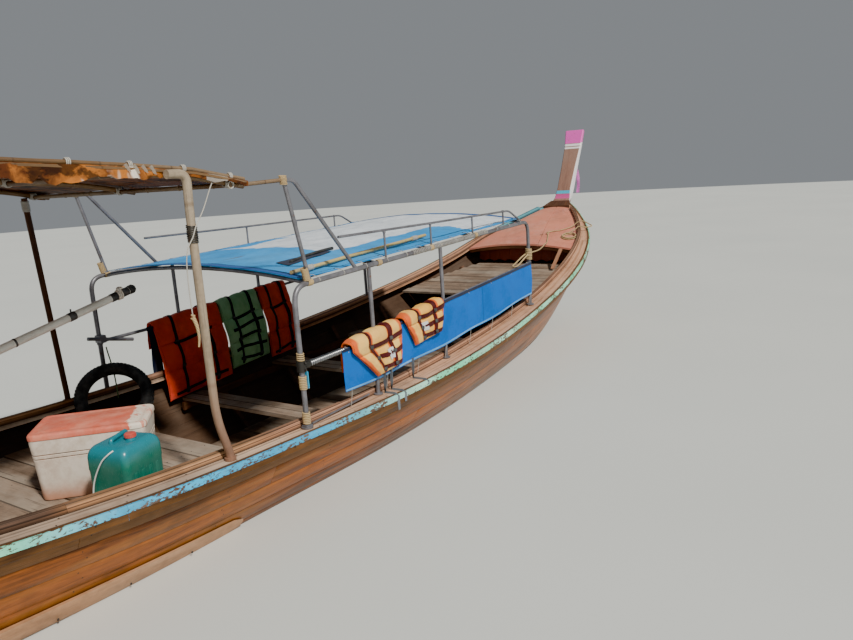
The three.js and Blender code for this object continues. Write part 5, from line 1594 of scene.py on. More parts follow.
ROOF_CORD = [
    (-2.313, -.983, 2.073), (-2.367, -1.012, 2.03), (-2.453, -1.046, 1.931), (-2.526, -1.063, 1.852),
    (-2.553, -1.064, 1.802), (-2.588, -1.062, 1.754), (-2.604, -1.058, 1.696), (-2.61, -1.056, 1.607),
    (-2.612, -1.056, 1.509), (-2.61, -1.056, 1.411),
]
FENDER_CORD = [
    (-1.836, .966, .9), (-1.836, .958, .86), (-1.835, .937, .78), (-1.833, .924, .7), (-1.832, .918, .6),
    (-1.832, .917, .5),
]


def coil_path():
    """Three turns: outer and inner side by side, the last on top between them."""
    matrix = (Matrix.Translation((COIL["x"], COIL["y"], COIL["z"])) @ Matrix.Rotation(radians(COIL["pitch"]), 4, "Y")
              @ Matrix.Rotation(radians(COIL["roll"]), 4, "X"))
    path = []
    for step in range(2, 70):
        a = step * 15
        turn, share = divmod(a, 360)

        def ease(low, high):
            t = clamp((share - low) / (high - low))
            return t * t * (3 - 2 * t)

        if turn == 0:
            r, z = COIL_OUTER + (COIL_INNER - COIL_OUTER) * ease(300, 360), COIL_LEVEL
        elif turn == 1:
            r = COIL_INNER + (COIL_MIDDLE - COIL_INNER) * ease(215, 295)
            z = COIL_LEVEL + (COIL_TOP - COIL_LEVEL) * ease(215, 295)
        else:
            r, z = COIL_MIDDLE, COIL_TOP
        angle = radians(a + 12)
        path.append(matrix @ Vector((r * cos(angle), r * sin(angle), z)))
    return path


def rope(name, points, diameter, key, steps, replaces, slot="tan_rope", sides=10, **facts):
    path = catmull(points, steps)
    shape = Shape().pipe(path, diameter / 2, sides)
    obj = piece(name, shape, [key], replaces, 60, slot)
    tuple(path[0])
    path_length(path)
    [tuple(p) for p in path]
    return obj, path


def knot(name, at, size, key, axis=Z, seed=1, slot="tan_rope", body="hull", turns=3):
    """A small overhand knot: a looped path tied round a point."""
    axis = Vector(axis).normalized()
    one = axis.orthogonal().normalized()
    two = axis.cross(one)
    rng = random.Random(seed)
    path = []
    for k in range(turns * 12 + 1):
        a = 2 * pi * k / 12
        r = size * (.62 + .16 * cos(a * 1.5 + seed))
        path.append(Vector(at) + one * r * cos(a) + two * r * sin(a)
                    + axis * size * (.75 * sin(a * .5 + seed) + rng.uniform(-.05, .05)))
    shape = Shape().pipe(catmull(path, 2), size * .36, 8)
    return piece(name, shape, [key], (), 60, slot, body)


def build_cords(sizes):
    d = sizes.bow_rope
    facts = {"stiffness": "limp"}
    rope("bow-rope-run", ROPE_ROUTE + coil_path(), d, "tan_rope", 3, ["bow-rope", "bow-rope-coil"], far_end="bare",
         lay="loose", **facts)
    hank = [(1.5, -1.004, 1.199), (1.46, -1.002, 1.195), (1.4, -1.0, 1.182), (1.33, -1.0, 1.162), (1.26, -1.0, 1.142),
            (1.205, -1.0, 1.127), (1.172, -1.006, 1.119), (1.158, -1.026, 1.117), (1.17, -1.046, 1.12),
            (1.205, -1.052, 1.13), (1.26, -1.05, 1.146), (1.33, -1.047, 1.167), (1.4, -1.044, 1.187),
            (1.44, -1.043, 1.198)]
    rope("bow-rope-tail", hank, d, "tan_rope", 4, ["bow-rope-hank"], far_end="bare", lay="loose", **facts)
    rope("roof-cord-run", ROOF_CORD, .006, "white_cord", 5, ["roof-cord"], sides=8, far_end="knot", lay="hanging",
         **facts)
    rope("fender-cord-run", FENDER_CORD, .01, "green_cord", 5, ["fender-cord"], sides=8, far_end="bare", lay="hanging",
         **facts)
    knot("bow-rope-knot", (1.503, -1.018, 1.196), .024, "tan_rope", (.2, .1, 1), 2, turns=4)
    knot("bow-rope-tie", (3.79, -.262, 1.172), .017, "tan_rope", (1, .3, 0), 5)
    knot("roof-cord-knot", (-2.304, -.978, 2.078), .014, "tan_rope", (1, 0, .3), 3)
    knot("roof-cord-end", (-2.61, -1.056, 1.408), .012, "tan_rope", Z, 4)
    rings("bow-rope-wraps", [[(1.5, -1.026, 1.15), (1.5, -1.026, 1.245)]], "tan_rope", .0145, .026, .007)
    tail = Shape().pipe(catmull([(-2.61, -1.056, 1.405), (-2.6, -1.064, 1.36), (-2.596, -1.066, 1.3),
                                 (-2.602, -1.062, 1.25)], 4),
                        lambda t: .011 * (1 - .55 * t), 8)
    piece("roof-cord-tassel", tail, ["tan_rope"], angle=60)


# ---------------------------------------------------------------- canopy

CANOPY = {"aft": -1.79, "front": 1.393, "half": 1.02, "aft_z": 1.432, "mid_z": 1.478, "front_z": 1.53, "crown": .075}
POST_Y = 1.026
AFT_POST_X, MID_POSTS_X, FORE_POST_X, FORE_FOOT_X = -1.843, (-1.1, -.16), 1.494, 1.5
MID_RAIL = [(AFT_POST_X, .938), (-1.421, .942), (-.131, 1.034), (FORE_POST_X, 1.106)]
BARS_X = (-1.7, -.98, -.291, .42, 1.38)
STAY_TOP_Y = 1.035
CANOPY_EDGE_X = -1.745


def eave(x):
    t = (x - CANOPY["aft"]) / (CANOPY["front"] - CANOPY["aft"])
    if t < .5:
        return CANOPY["aft_z"] + (CANOPY["mid_z"] - CANOPY["aft_z"]) * t * 2
    return CANOPY["mid_z"] + (CANOPY["front_z"] - CANOPY["mid_z"]) * (t * 2 - 1)


def height_on(line, x):
    k = 1
    while k < len(line) - 1 and x > line[k][0]:
        k += 1
    (x0, z0), (x1, z1) = line[k - 1], line[k]
    return z0 + (z1 - z0) * (x - x0) / (x1 - x0)


def mid_rail(x):
    return height_on(MID_RAIL, x)


def crown_at(y):
    return CANOPY["crown"] * (1 - (y / CANOPY["half"])**2)


def foot_z(x):
    return max(sheer(x - .025), sheer(x + .025)) + .0003


def collar(shape, at, axis, radius, length):
    """A short turned sleeve with rounded ends."""
    half = length / 2
    shape.turned([(-half, radius * .8), (-half + .002, radius), (half - .002, radius), (half, radius * .8)], at, axis,
                 20)


def build_canopy_frame(sizes):
    for label, side in SIDES:
        y = side * POST_Y
        shape = Shape()
        front = [FORE_POST_X, y, eave(1.393) - .012]
        hoop = rounded([[AFT_POST_X, y, foot_z(AFT_POST_X)], [AFT_POST_X, y, eave(-1.79) - .004], [0, y, eave(0)],
                        front, [FORE_FOOT_X, y, foot_z(FORE_POST_X)]], .11, 8)
        shape.pipe(hoop, .017, 16)
        for x in MID_POSTS_X:
            shape.pipe([(x, y, foot_z(x)), (x, y, eave(x))], .015, 14)
            collar(shape, (x, y, foot_z(x) + .006), Z, .034, .012)
            collar(shape, (x, y, mid_rail(x)), Z, .021, .03)
        shape.pipe([(x, y, z) for x, z in MID_RAIL], .013, 14)
        for x in (AFT_POST_X, FORE_FOOT_X):
            collar(shape, (x, y, foot_z(x) + .007), Z, .038, .014)
            collar(shape, (x, y, mid_rail(x)), Z, .0225, .05)
        top = (-1.846, side * STAY_TOP_Y, 2.052)
        shape.pipe([(-1.695, y, eave(-1.695)), top], .013, 12)
        shape.pipe(rounded([top, (-1.765, top[1], 2.05), (-1.234, y, eave(-1.234))], .09, 8), .013, 12)
        path = rounded([(-1.352, side * .992, 1.672), (-.3, side * 1.0, 1.66), (1.12, side * 1.01, 1.65),
                        (1.33, side * 1.016, eave(1.33) + .018)], .06, 8)
        rail = Shape().pipe(path, .009, 12)
        for x in (-.86, -.25, .42, 1.01):
            rail.pipe([(x, side * 1.004, eave(x) + .012), (x, side * 1.003, 1.66)], .008, 10)
            collar(rail, (x, side * 1.0035, 1.655), Z, .0115, .016)
        if side > 0:
            shape.pipe([(-1.96, .984, .988), (-1.59, .984, .902)], .014, 12)
            shape.box((-1.868, .97, .932), (-1.818, 1.048, .99), .004)
            for z in (.945, .977):
                shape.turned([(0, .008), (.014, .008), (.016, .005)], (AFT_POST_X, 1.048, z), Y, 6)
        piece(f"canopy-tubes-{label}", shape, ["grey_tube"], [f"canopy-frame-{label}"], 40)
        piece(f"canopy-rail-tubes-{label}", rail, ["grey_tube"], [f"canopy-top-rail-{label}"], 40)
    bars = Shape()
    reach = POST_Y - .02
    for x in BARS_X:
        bars.pipe([(x, y, eave(x) - .006 + crown_at(y)) for y in spread(-reach, reach, 16)], .014, 12)
    bars.pipe([(x, 0, eave(x) - .006 + crown_at(0)) for x in spread(BARS_X[0], BARS_X[-1], 12)], .012, 12)
    piece("canopy-bar-tubes", bars, ["grey_tube"], ["canopy-bars"], 40)

    wraps = [[(x, -POST_Y, eave(x)) for x in spread(-.55, .62, 14)], [(x, POST_Y, eave(x)) for x in spread(-.2, .5, 8)]]
    rings("eave-cord-wraps", wraps, "white_cord", .021, .0185, .0025)
    binds = []
    for side in (-1, 1):
        for x in BARS_X[:-1]:
            binds.append([(x - .018, side * POST_Y, eave(x)), (x + .018, side * POST_Y, eave(x))])
        binds.append([(-1.722, side * 1.027, eave(-1.72) + .02), (-1.74, side * 1.029, eave(-1.72) + .09)])
        binds.append([(-1.846, side * STAY_TOP_Y, 2.03), (-1.85, side * STAY_TOP_Y, 2.075)])
    rings("frame-bindings", binds, "tan_rope", .0065, .0195, .0032)
    aft = [[(AFT_POST_X, -POST_Y, .955), (AFT_POST_X, -POST_Y, 1.02)], [(-1.81, -POST_Y, .94), (-1.45, -POST_Y, .943)]]
    rings("aft-rail-wraps", aft[1:], "polished_steel", .017, .0165, .0036)
    rings("aft-post-wraps", aft[:1], "tan_rope", .011, .0205, .0042)
    fitting = Shape()
    collar(fitting, (AFT_POST_X, -POST_Y, .94), Z, .03, .07)
    collar(fitting, (-1.8, -POST_Y, .939), X, .024, .05)
    for z in (.918, .962):
        fitting.turned([(0, .007), (.012, .007), (.014, .004)], (AFT_POST_X, -POST_Y - .03, z), (0, -1, 0), 6)
    piece("aft-post-fitting", fitting, ["dark_iron"])
    base = Shape()
    base.box((-1.812, -1.044, .79), (-1.805, -.996, .9), .002)
    base.box((-1.868, -1.05, foot_z(-1.85) + .001), (-1.818, -1.002, foot_z(-1.85) + .024), .003, 1)
    base.pipe([(-1.79, -1.02, foot_z(-1.79) + .012), (-1.2, -1.022, foot_z(-1.2) + .03)], .007, 10, 1)
    piece("aft-post-shoe", base, ["turquoise_paint", "grey_tube"])
    low = foot_z(-1.84)
    rings("aft-shoe-lashing", [[(AFT_POST_X, -POST_Y, low + .035), (AFT_POST_X, -POST_Y, low + .1)],
                               [(AFT_POST_X, -POST_Y, .8), (AFT_POST_X, -POST_Y, .875)]], "tan_rope", .01, .021, .0045)


def canopy_z(x, y):
    """Top of the canopy sheet: crowned, sagging between its bars, creased along and across."""
    bars = (CANOPY_EDGE_X,) + BARS_X[1:4] + (CANOPY["front"],)
    k = 1
    while k < len(bars) - 1 and x > bars[k]:
        k += 1
    t = clamp((x - bars[k - 1]) / (bars[k] - bars[k - 1]))
    sag = sin(pi * t)
    across = 1 - abs(y / CANOPY["half"])**3
    crease = wobble(x * 1.3 + y * .8, y * 2.2, 0, 2.1, 4.0) * .012 + wobble(x, y, .4, 7.0, 9.0) * .0035
    return eave(x) + .02 + crown_at(y) - .011 * sag * across + crease * (.35 + .65 * sag) * (.5 + .5 * across)


def build_canopy_cloths(sizes):
    grid = []
    for x in spread(CANOPY_EDGE_X, CANOPY["front"], 110):
        row = []
        for y in spread(-.985, .985, 70):
            fray = .006 * wobble(x, y, 0, 14, 2) if abs(y) > .97 else 0
            row.append((x, y + copysign(fray, y), canopy_z(x, y)))
        grid.append(row)
    obj, long, wide = sheet_of("canopy-sheet", grid, "blue_tarpaulin", .0018, replaces=["canopy-tarpaulin"])

    def band(points, width, lift, key, name, outward):
        """A doubled band along a row of points: outward is the direction away from the edge."""
        rows = []
        for x, y in points:
            line = [(x - outward[0] * width * t, y - outward[1] * width * t) for t in (0, .34, .68, 1)]
            rows.append([(px, py, canopy_z(px, py) + lift) for px, py in line])
        sheet_of(name, rows, key, .0015)[0]

    band([(-1.741, y) for y in spread(-.98, .98, 50)], .075, .0035, "tarp_hem", "canopy-hem-aft", (-1, 0))
    band([(1.389, y) for y in spread(-.98, .98, 50)], .05, .0035, "tarp_hem", "canopy-hem-fore", (1, 0))
    for label, side in SIDES:
        band([(x, side * .982) for x in spread(-1.74, 1.38, 70)], .035, .0033, "blue_tarpaulin",
             f"canopy-hem-{label}", (0, side))
    edges = [[(x, s * .955, canopy_z(x, s * .955) + .0055) for x in spread(-1.72, 1.37, 60)] for s in (-1, 1)]
    edges += [[(-1.672, y, canopy_z(-1.672, y) + .0055) for y in spread(-.96, .96, 40)]]
    stitches("canopy-stitches", edges, "navy_cloth", .014, .008, .0009)
    ties, knots = Shape(), []
    for side in (-1, 1):
        for x in spread(-1.62, 1.3, 12):
            z = canopy_z(x, side * .968) + .003
            ties.pipe([(x - .006, side * .962, z + .001), (x, side * .99, z + .002),
                       (x + .002, side * 1.012, eave(x) + .02),
                       (x + .001, side * 1.034, eave(x) + .017), (x, side * 1.046, eave(x)),
                       (x, side * 1.034, eave(x) - .017), (x - .002, side * 1.012, eave(x) - .014)], .0022, 6)
            knots.append(((x - .006, side * .963, z + .002), Z))
    piece("canopy-ties", ties, ["white_cord"])
    studs("canopy-eyelets", knots, "polished_steel", .008, .3)

    pole = Shape()
    ends = [(-1.713, -.895), (-.064, -.831)]
    path = [(x, y, canopy_z(x, y) * .2 + (eave(x) + .024 + crown_at(y)) * .8 + .015 + .004)
            for x, y in [tuple(a + (b - a) * t for a, b in zip(*ends)) for t in spread(0, 1, 24)]]
    pole.pipe(path, .0125, 12)
    for k in range(1, 9):
        i = round(k * 24 / 9)
        d = direction(path, i).normalized()
        collar(pole, path[i], d, .0142, .008)
    piece("canopy-bamboo", pole, ["bamboo"], ["canopy-pole"])
    rings("canopy-pole-ties", [[path[2], path[3]], [path[21], path[22]]], "white_cord", .008, .016, .003)

    hose = Shape().pipe(catmull([(-1.42, -.62, canopy_z(-1.42, -.62) + .012), (-1.2, -.56, canopy_z(-1.2, -.56) + .013),
                                 (-.98, -.55, canopy_z(-.98, -.55) + .013),
                                 (-.86, -.52, canopy_z(-.86, -.52) + .012)], 5), .011, 10)
    piece("canopy-hose", hose, ["black_rubber"])
    rag = []
    for r in range(12):
        row = []
        for c in range(7):
            x = -1.48 + .5 * r / 11
            y = -.66 + .05 * r / 11 + .12 * c / 6 + .015 * wobble(r, c, 0, .9, 3)
            row.append((x, y, canopy_z(x, y) + .004 + .006 * abs(wobble(x, y, 0, 22, 5))))
        rag.append(row)
    rag_obj, a, b = sheet_of("canopy-dark-patch", rag, "navy_cloth", .0015)

    rows = []
    for x in spread(-1.48, 1.48, 120):
        row = []
        z0, z1 = sheer(x) + .126, mid_rail(x) + .014
        for k in range(17):
            t = k / 16
            z = z1 + (z0 - z1) * t
            free = sin(pi * min(t * 1.05, 1)) ** .7
            ripple = .0055 * sin(x * 15 + 2.2 * sin(x * 3.1)) + .006 * wobble(x, z, 0, 6, 7)
            y = -(POST_Y + .027 + .0025 * free + ripple * free)
            row.append((x, y, z + .006 * t * sin(x * 7)))
        rows.append(row)
    side_obj, a, b = sheet_of("side-cloth-sheet", rows, "cloth_blue", .0016, replaces=["side-cloth"])
    for name, t0, t1, key in (("side-cloth-top", 0, .07, "navy_cloth"), ("side-cloth-foot", .945, .985, "tarp_foot")):
        band_rows = []
        for row in rows:
            line = []
            for k in range(4):
                t = t0 + (t1 - t0) * k / 3
                i = min(int(t * 16), 15)
                p = Vector(row[i]).lerp(Vector(row[i + 1]), t * 16 - i)
                line.append(p + Vector((0, -.0026, 0)))
            band_rows.append(line)
        sheet_of(name, band_rows, key, .0016)[0]
    loops = Shape()
    for x in spread(-1.42, 1.44, 7):
        z = mid_rail(x)
        loops.pipe([(x, -POST_Y - .03, z - .02), (x, -POST_Y - .0165, z + .012), (x, -POST_Y, z + .0165),
                    (x, -POST_Y + .016, z), (x, -POST_Y + .004, z - .017), (x, -POST_Y - .024, z - .022)], .0025, 6)
        zl = sheer(x) + .13
        loops.pipe([(x, -1.056, zl), (x + .004, -1.05, zl - .03), (x + .002, -1.035, sheer(x) + .012)], .002, 6)
    piece("side-cloth-ties", loops, ["white_cord"])
    seam = [[Vector(p) + Vector((0, -.003, 0)) for p in rows[78]]]
    stitches("side-cloth-seam", seam, "navy_cloth", .01, .006, .0011)
    strap = Shape()
    for x, foot in ((-1.06, .06), (-.98, .02), (-.7, -.02)):
        z = sheer(x)
        edge = -inside(x, 0) - .003
        strap.sweep([(x, -1.064, z + .16), (x, -1.062, z + .06), (x, -1.058, z + .006), (x, edge + .02, z + .004),
                     (x, edge, z - .008), (x + .004, edge, z - foot - .05)],
                    [(-.0012, -.012), (.0012, -.012), (.0012, .012), (-.0012, .012)], 0, .5)
    piece("side-straps", strap, ["strap_grey"])


def direction(path, i):
    """Which way a path runs at one of its points."""
    return Vector(path[min(i + 1, len(path) - 1)]) - Vector(path[max(i - 1, 0)])


# ---------------------------------------------------------------- helm roof

ROOF_AFT, ROOF_FORE = -5.05, -2.09
ROOF_Z = [(ROOF_AFT, 2.225), (-3.4, 2.193), (-2.86, 2.161), (-2.442, 2.126), (ROOF_FORE, 2.063)]
RACK_BARS_X, RACK_RUNS_Y = (-4.98, -3.8, -2.86, -2.2), (-.96, 0, .96)
# Foot x and y, top x and y of the straight roof posts
ROOF_POSTS = ((-2.16, 1.03, -2.26, .962), (-4.7, .76, -4.7, .94), (-4.7, -.76, -4.7, -.94))


def roof_z(x):
    return height_on(ROOF_Z, x)


def roof_sheet_z(x, y):
    return (roof_z(x) - .003 + .008 * wobble(x, y, 0, 3.0, 12) + .003 * wobble(x, y, 0, 12, 3)
            - .006 * abs(sin(pi * (x + 4.98) / .93)))


def build_helm_roof(sizes):
    xs = spread(ROOF_AFT, ROOF_FORE, 90)
    grid = []
    for x in xs:
        row = []
        notch = copysign(1, wobble(x, 0, 0, 8, 9))
        drop = .078 + .03 * wobble(x, 0, 0, 5.5, 1) + .03 * wobble(x, 0, 0, 17, 5) + .012 * notch
        drop *= 1 - .62 * clamp((x + 3.3) / .7)
        for k in range(5):
            t = k / 4
            shy = .006 * exp(-((x + 2.55) / .14)**2)
            row.append((x, -1.005 + shy + .004 * wobble(x, t, 0, 9, 2) + .004 * sin(x * 21) * (1 - t),
                        roof_z(x) - .004 - drop * (1 - t)))
        for y in spread(-.99, .99, 44):
            row.append((x, y, roof_sheet_z(x, y)))
        for k in range(1, 4):
            row.append((x, 1.006, roof_z(x) - .004 - (.03 + .02 * wobble(x, 2, 0, 4, 1)) * k / 3))
        grid.append(row)
    sheet, a, b = sheet_of("helm-roof-sheet", grid, "roof_sheet", .003, replaces=["roof-panel"], angle=50)

    rack = Shape()
    for y in RACK_RUNS_Y:
        path = [(x, y, roof_z(x) - .03) for x in spread(ROOF_AFT, ROOF_FORE, 30)]
        rack.pipe(path, .0148, 12, tone=.5)
        for k in range(2, 30, 4):
            collar(rack, path[k], direction(path, k).normalized(), .0168, .009)
    for x in RACK_BARS_X:
        rack.pipe([(x, -.985, roof_z(x) - .04), (x, .985, roof_z(x) - .04)], .0138, 12, tone=.3)
        for y in spread(-.85, .85, 6):
            collar(rack, (x, y, roof_z(x) - .04), Y, .0158, .009)
    for side in (-1, 1):
        rack.pipe([(-2.15, side * .958, roof_z(ROOF_FORE) - .024), (-1.864, side * 1.03, 2.052)], .012, 12)
    # The roof poles use bamboo darkened as painted shade of the roof.
    piece("roof-poles", rack, ["roof_pole"], ["roof-rack"])
    battens = Shape()
    for side in (-1, 1):
        path = [(x, side * .985, roof_z(x) + .006 + .002 * wobble(x, side, 0, 6, 2)) for x in spread(-5.04, -2.1, 60)]
        battens.pipe(path, .011, 10, tone=.6)
    battens.sweep([(x, -1.003, roof_z(x) - .012) for x in spread(-5.04, -2.1, 60)],
                  [(-.004, -.006), (.004, -.006), (.004, .006),
                   (-.004, .006)], 0, .7, .002)
    piece("roof-edge-battens", battens, ["roof_pole"])
    binds = []
    for x in RACK_BARS_X:
        for y in RACK_RUNS_Y:
            binds.append([(x - .02, y, roof_z(x) - .031), (x + .02, y, roof_z(x) - .031)])
            binds.append([(x, y - .03, roof_z(x) - .039), (x, y - .012, roof_z(x) - .039)])
    for x in spread(-4.9, -2.2, 9):
        binds.append([(x - .008, -.985, roof_z(x) + .006), (x + .008, -.985, roof_z(x) + .006)])
    rings("roof-bindings", binds, "white_cord", .006, .018, .0028)
    tatters = Shape()
    for j in range(4):
        x, drop = -2.84 + j * .045, .022
        tatters.sweep([(x, -1.006, roof_z(x) + .004), (x + .01, -1.012, roof_z(x) - drop * .6),
                       (x + .02, -1.008, roof_z(x) - drop * (1.1 + .3 * (j % 2)))],
                      [(-.02, -.0008), (.02, -.0008), (.014, .0008), (-.014, .0008)], 0, .5, up=X)
    piece("roof-tatters", tatters, ["rag"])


def build_posts(sizes):
    base = foot_z(-2.44)
    bent = rounded([(-2.44, -1.0, base), (-2.44, -1.0, base + .04), (-2.521, -1.024, base + .275),
                    (-2.531, -1.0345, 1.9), (-2.522, -1.0345, 2.112), (-2.64, -1.0345, 2.112)], .11, 10)
    post = Shape().pipe(bent, .0228, 18)
    collar(post, (-2.44, -1.0, base + .01), Z, .032, .02)
    piece("roof-post-pipe", post, ["bent_post"], ["roof-post-starboard"])
    top = Vector((-2.5305, -1.0338, 1.775))
    rings("roof-post-wire", [[top, top + Vector((-.0005, -.0007, .08))]], "dark_iron", .0085, .0255, .0028)
    straight, binds = Shape(), []
    for x, y, top_x, top_y in ROOF_POSTS:
        low = Vector((x, y, foot_z(x)))
        neck = low + Vector((0, 0, .06))
        high = Vector((top_x, top_y, roof_z(top_x) - .053))
        straight.pipe([low, neck] + [neck.lerp(high, k / 8) for k in range(1, 9)], .0198, 14, tone=.35)
        collar(straight, tuple(low + Vector((0, 0, .012))), Z, .034, .022)
        binds.append([neck.lerp(high, .94), neck.lerp(high, .985)])
    piece("roof-post-timbers", straight, ["dark_wood"],
          ["roof-post-port", "roof-post-aft-port", "roof-post-aft-starboard"])
    rings("roof-post-lashings", binds, "white_cord", .007, .0225, .0032)


# ---------------------------------------------------------------- engine

PIVOT = Vector((-5.12, 0, .985))
SHAFT = radians(-16)
TILT = Matrix.Translation(PIVOT) @ Matrix.Rotation(SHAFT, 4, "Y")
TAIL = 4.15
INJECTORS_X, EXHAUST_PORTS_X = (-.2, -.067, .067, .2), (-.165, -.055, .055, .165)


def moved(shape, matrix):
    shape.verts = [tuple(matrix @ Vector(v)) for v in shape.verts]
    return shape


def tilted(name, shape, finishes, replaces=(), angle=30, body="engine"):
    """A piece drawn along the shaft and turned to its slope."""
    return piece(name, moved(shape, TILT), finishes, replaces, angle, body=body)


def at_tilt(*p):
    return TILT @ Vector(p)


def build_engine(sizes):
    coat("engine_iron", "engine-cradle", "swivel-fork")
    coat("beam_wood", "stern-beam")
    block = Shape()
    block.box((-.3, -.12, -.06), (.3, .12, .17), .012)
    block.box((-.25, -.09, -.098), (.26, .09, -.05), .012)
    block.box((-.285, -.098, .165), (.285, .098, .262), .01)
    for x in spread(-.25, .25, 3):
        block.box((x - .055, -.126, -.03), (x + .055, .126, .13), .01)
    for z in (.185, .2, .215, .23):
        block.box((-.288, -.103, z - .003), (.288, .103, z + .003), .002)
    block.turned([(0, .09), (.015, .116), (.09, .116), (.105, .1)], (-.4, 0, .02), X, 32)
    block.turned([(0, .06), (.012, .086), (.14, .088), (.165, .078)], (-.56, 0, .01), X, 28)
    for side in (-1, 1):
        block.box((-.06, min(side * .11, side * .148), -.095), (.06, max(side * .11, side * .148), .01), .006)
    for x in INJECTORS_X:
        block.turned([(0, .016), (.05, .016), (.056, .011)], (x, -.1, .1), (0, -1, 0), 10)
    tilted("engine-casting", block, ["engine_paint"], ["engine-block"], 30)

    cover = Shape()
    cover.box((-.26, -.062, .258), (.262, .062, .318), .018)
    for x in spread(-.2, .2, 5):
        cover.box((x - .006, -.05, .31), (x + .006, .05, .324), .003)
    cover.turned([(0, .026), (.022, .026), (.028, .02), (.03, .012)], (.17, 0, .316), Z, 16)
    tilted("engine-cover", cover, ["polished_steel"], angle=30)

    dark = Shape()
    for x, y, z, r, w in ((.315, 0, -.01, .074, .03), (.318, 0, .15, .052, .022), (.318, .13, .03, .036, .024)):
        dark.turned([(0, r), (.004, r), (w * .3, r - .008), (w * .7, r - .008), (w - .004, r), (w, r),
                     (w + .003, r * .5)],
                    (x, y, z), X, 36)
    for r, z in ((.03, -.01), (.024, .15)):
        dark.turned([(0, r), (.04, r)], (.285, 0, z), X, 16)
    dark.turned([(-.09, .03), (-.08, .045), (.06, .046), (.068, .036), (.09, .018)], (.22, .155, .03), X, 24)
    dark.turned([(0, .088), (.006, .092), (.02, .088), (.13, .088), (.144, .092), (.15, .088)], (.07, -.075, .385), Y,
                36)
    dark.pipe(rounded([(.07, .0, .385), (-.03, .0, .385), (-.06, -.02, .33), (-.08, -.08, .235)], .05, 6), .024, 14)
    dark.turned([(0, .034), (.09, .034), (.1, .028)], (-.12, .118, .03), (.2, 1, -.25), 22)
    dark.turned([(0, .03), (.15, .03), (.16, .02)], (-.32, .14, -.02), X, 20)
    tilted("engine-accessories", dark, ["dark_iron"], angle=35)

    belt = Shape()
    path = []
    for start, radius, z in ((pi, .071, -.01), (0, .05, .15)):
        for k in range(13):
            angle = start + pi * k / 12
            path.append((.329, radius * cos(angle), z + radius * sin(angle)))
    path.append(path[0])
    belt.sweep(path, [(-.004, -.005), (.004, -.005), (.004, .005), (-.004, .005)], 0, .5, up=X, caps=False)
    tilted("engine-belt", belt, ["black_rubber"], angle=40)

    lines = Shape()
    for x in INJECTORS_X:
        lines.pipe(rounded([(x, -.12, .13), (x, -.15, .17), (x * .92, -.13, .29), (x * .9, -.055, .3)], .03, 5),
                   .0035, 8)
    lines.pipe(rounded([(-.2, .1, .09), (-.25, .16, .06), (-.28, .15, .18), (-.2, .1, .24)], .04, 5), .007, 8)
    tilted("injector-pipes", lines, ["polished_steel"], angle=60)
    hoses = Shape()
    hoses.pipe(rounded([(.29, .05, .2), (.36, .09, .24), (.33, .14, .12), (.26, .12, .02)], .05, 6), .013, 10)
    hoses.pipe(rounded([(-.05, .125, .06), (-.05, .17, .1), (-.2, .17, .2), (-.26, .1, .25)], .04, 6), .008, 10)
    tilted("engine-hoses", hoses, ["black_rubber"], angle=60)
    rows = []
    upward, ahead = (TILT.to_3x3() @ Vector(axis) for axis in (Z, X))
    for x in spread(-.25, .25, 5):
        for dx, y, z in ((0, -.112, .171), (0, .112, .171), (.03, -.052, .319), (.03, .052, .319)):
            rows.append((at_tilt(x + dx, y, z), upward))
    for k in range(10):
        a = 2 * pi * k / 10
        rows.append((at_tilt(-.293, .104 * cos(a), .02 + .104 * sin(a)), ahead))
    for x in (-4.71, -4.63):
        for z in (.85, .96):
            rows.append(((x, .0073, z), (0, -1, 0)))
            rows.append(((x, .0727, z), Y))
    studs("engine-bolts", rows, "polished_steel", .0085, .55, "engine")

    line = Shape()
    for x in EXHAUST_PORTS_X:
        line.box((x - .022, -.104, .196), (x + .022, -.094, .234), .004)
        line.pipe([(x, -.1, .215), (x, -.128, .215)], .019, 12)
    line.box((-.22, -.142, .192), (.22, -.112, .238), .012)
    route = rounded([(-.18, -.128, .215), (-.33, -.15, .235), (-.42, -.17, .42), (-.43, -.17, .76)], .11, 10)
    line.pipe(route, .0255, 18)
    d = (Vector((-.43, -.17, .69)) - Vector((-.428, -.17, .47))).normalized()
    line.turned([(0, .027), (.012, .046), (.024, .052), (.196, .052), (.208, .046), (.22, .027)], (-.428, -.17, .47),
                d, 32)
    line.turned([(0, .0262), (.02, .03), (.04, .0262)], (-.43, -.17, .74), d, 24)
    tilted("exhaust-line", line, ["rusty_iron"], ["exhaust-pipe"], 40)
    swivel_bolts = [((-5.12 + dx, dy, .7748), Z) for dx in (-.045, .045) for dy in (-.16, -.06, .06, .16)]
    studs("swivel-bolts", swivel_bolts, "polished_steel", .009, .5, "swivel")


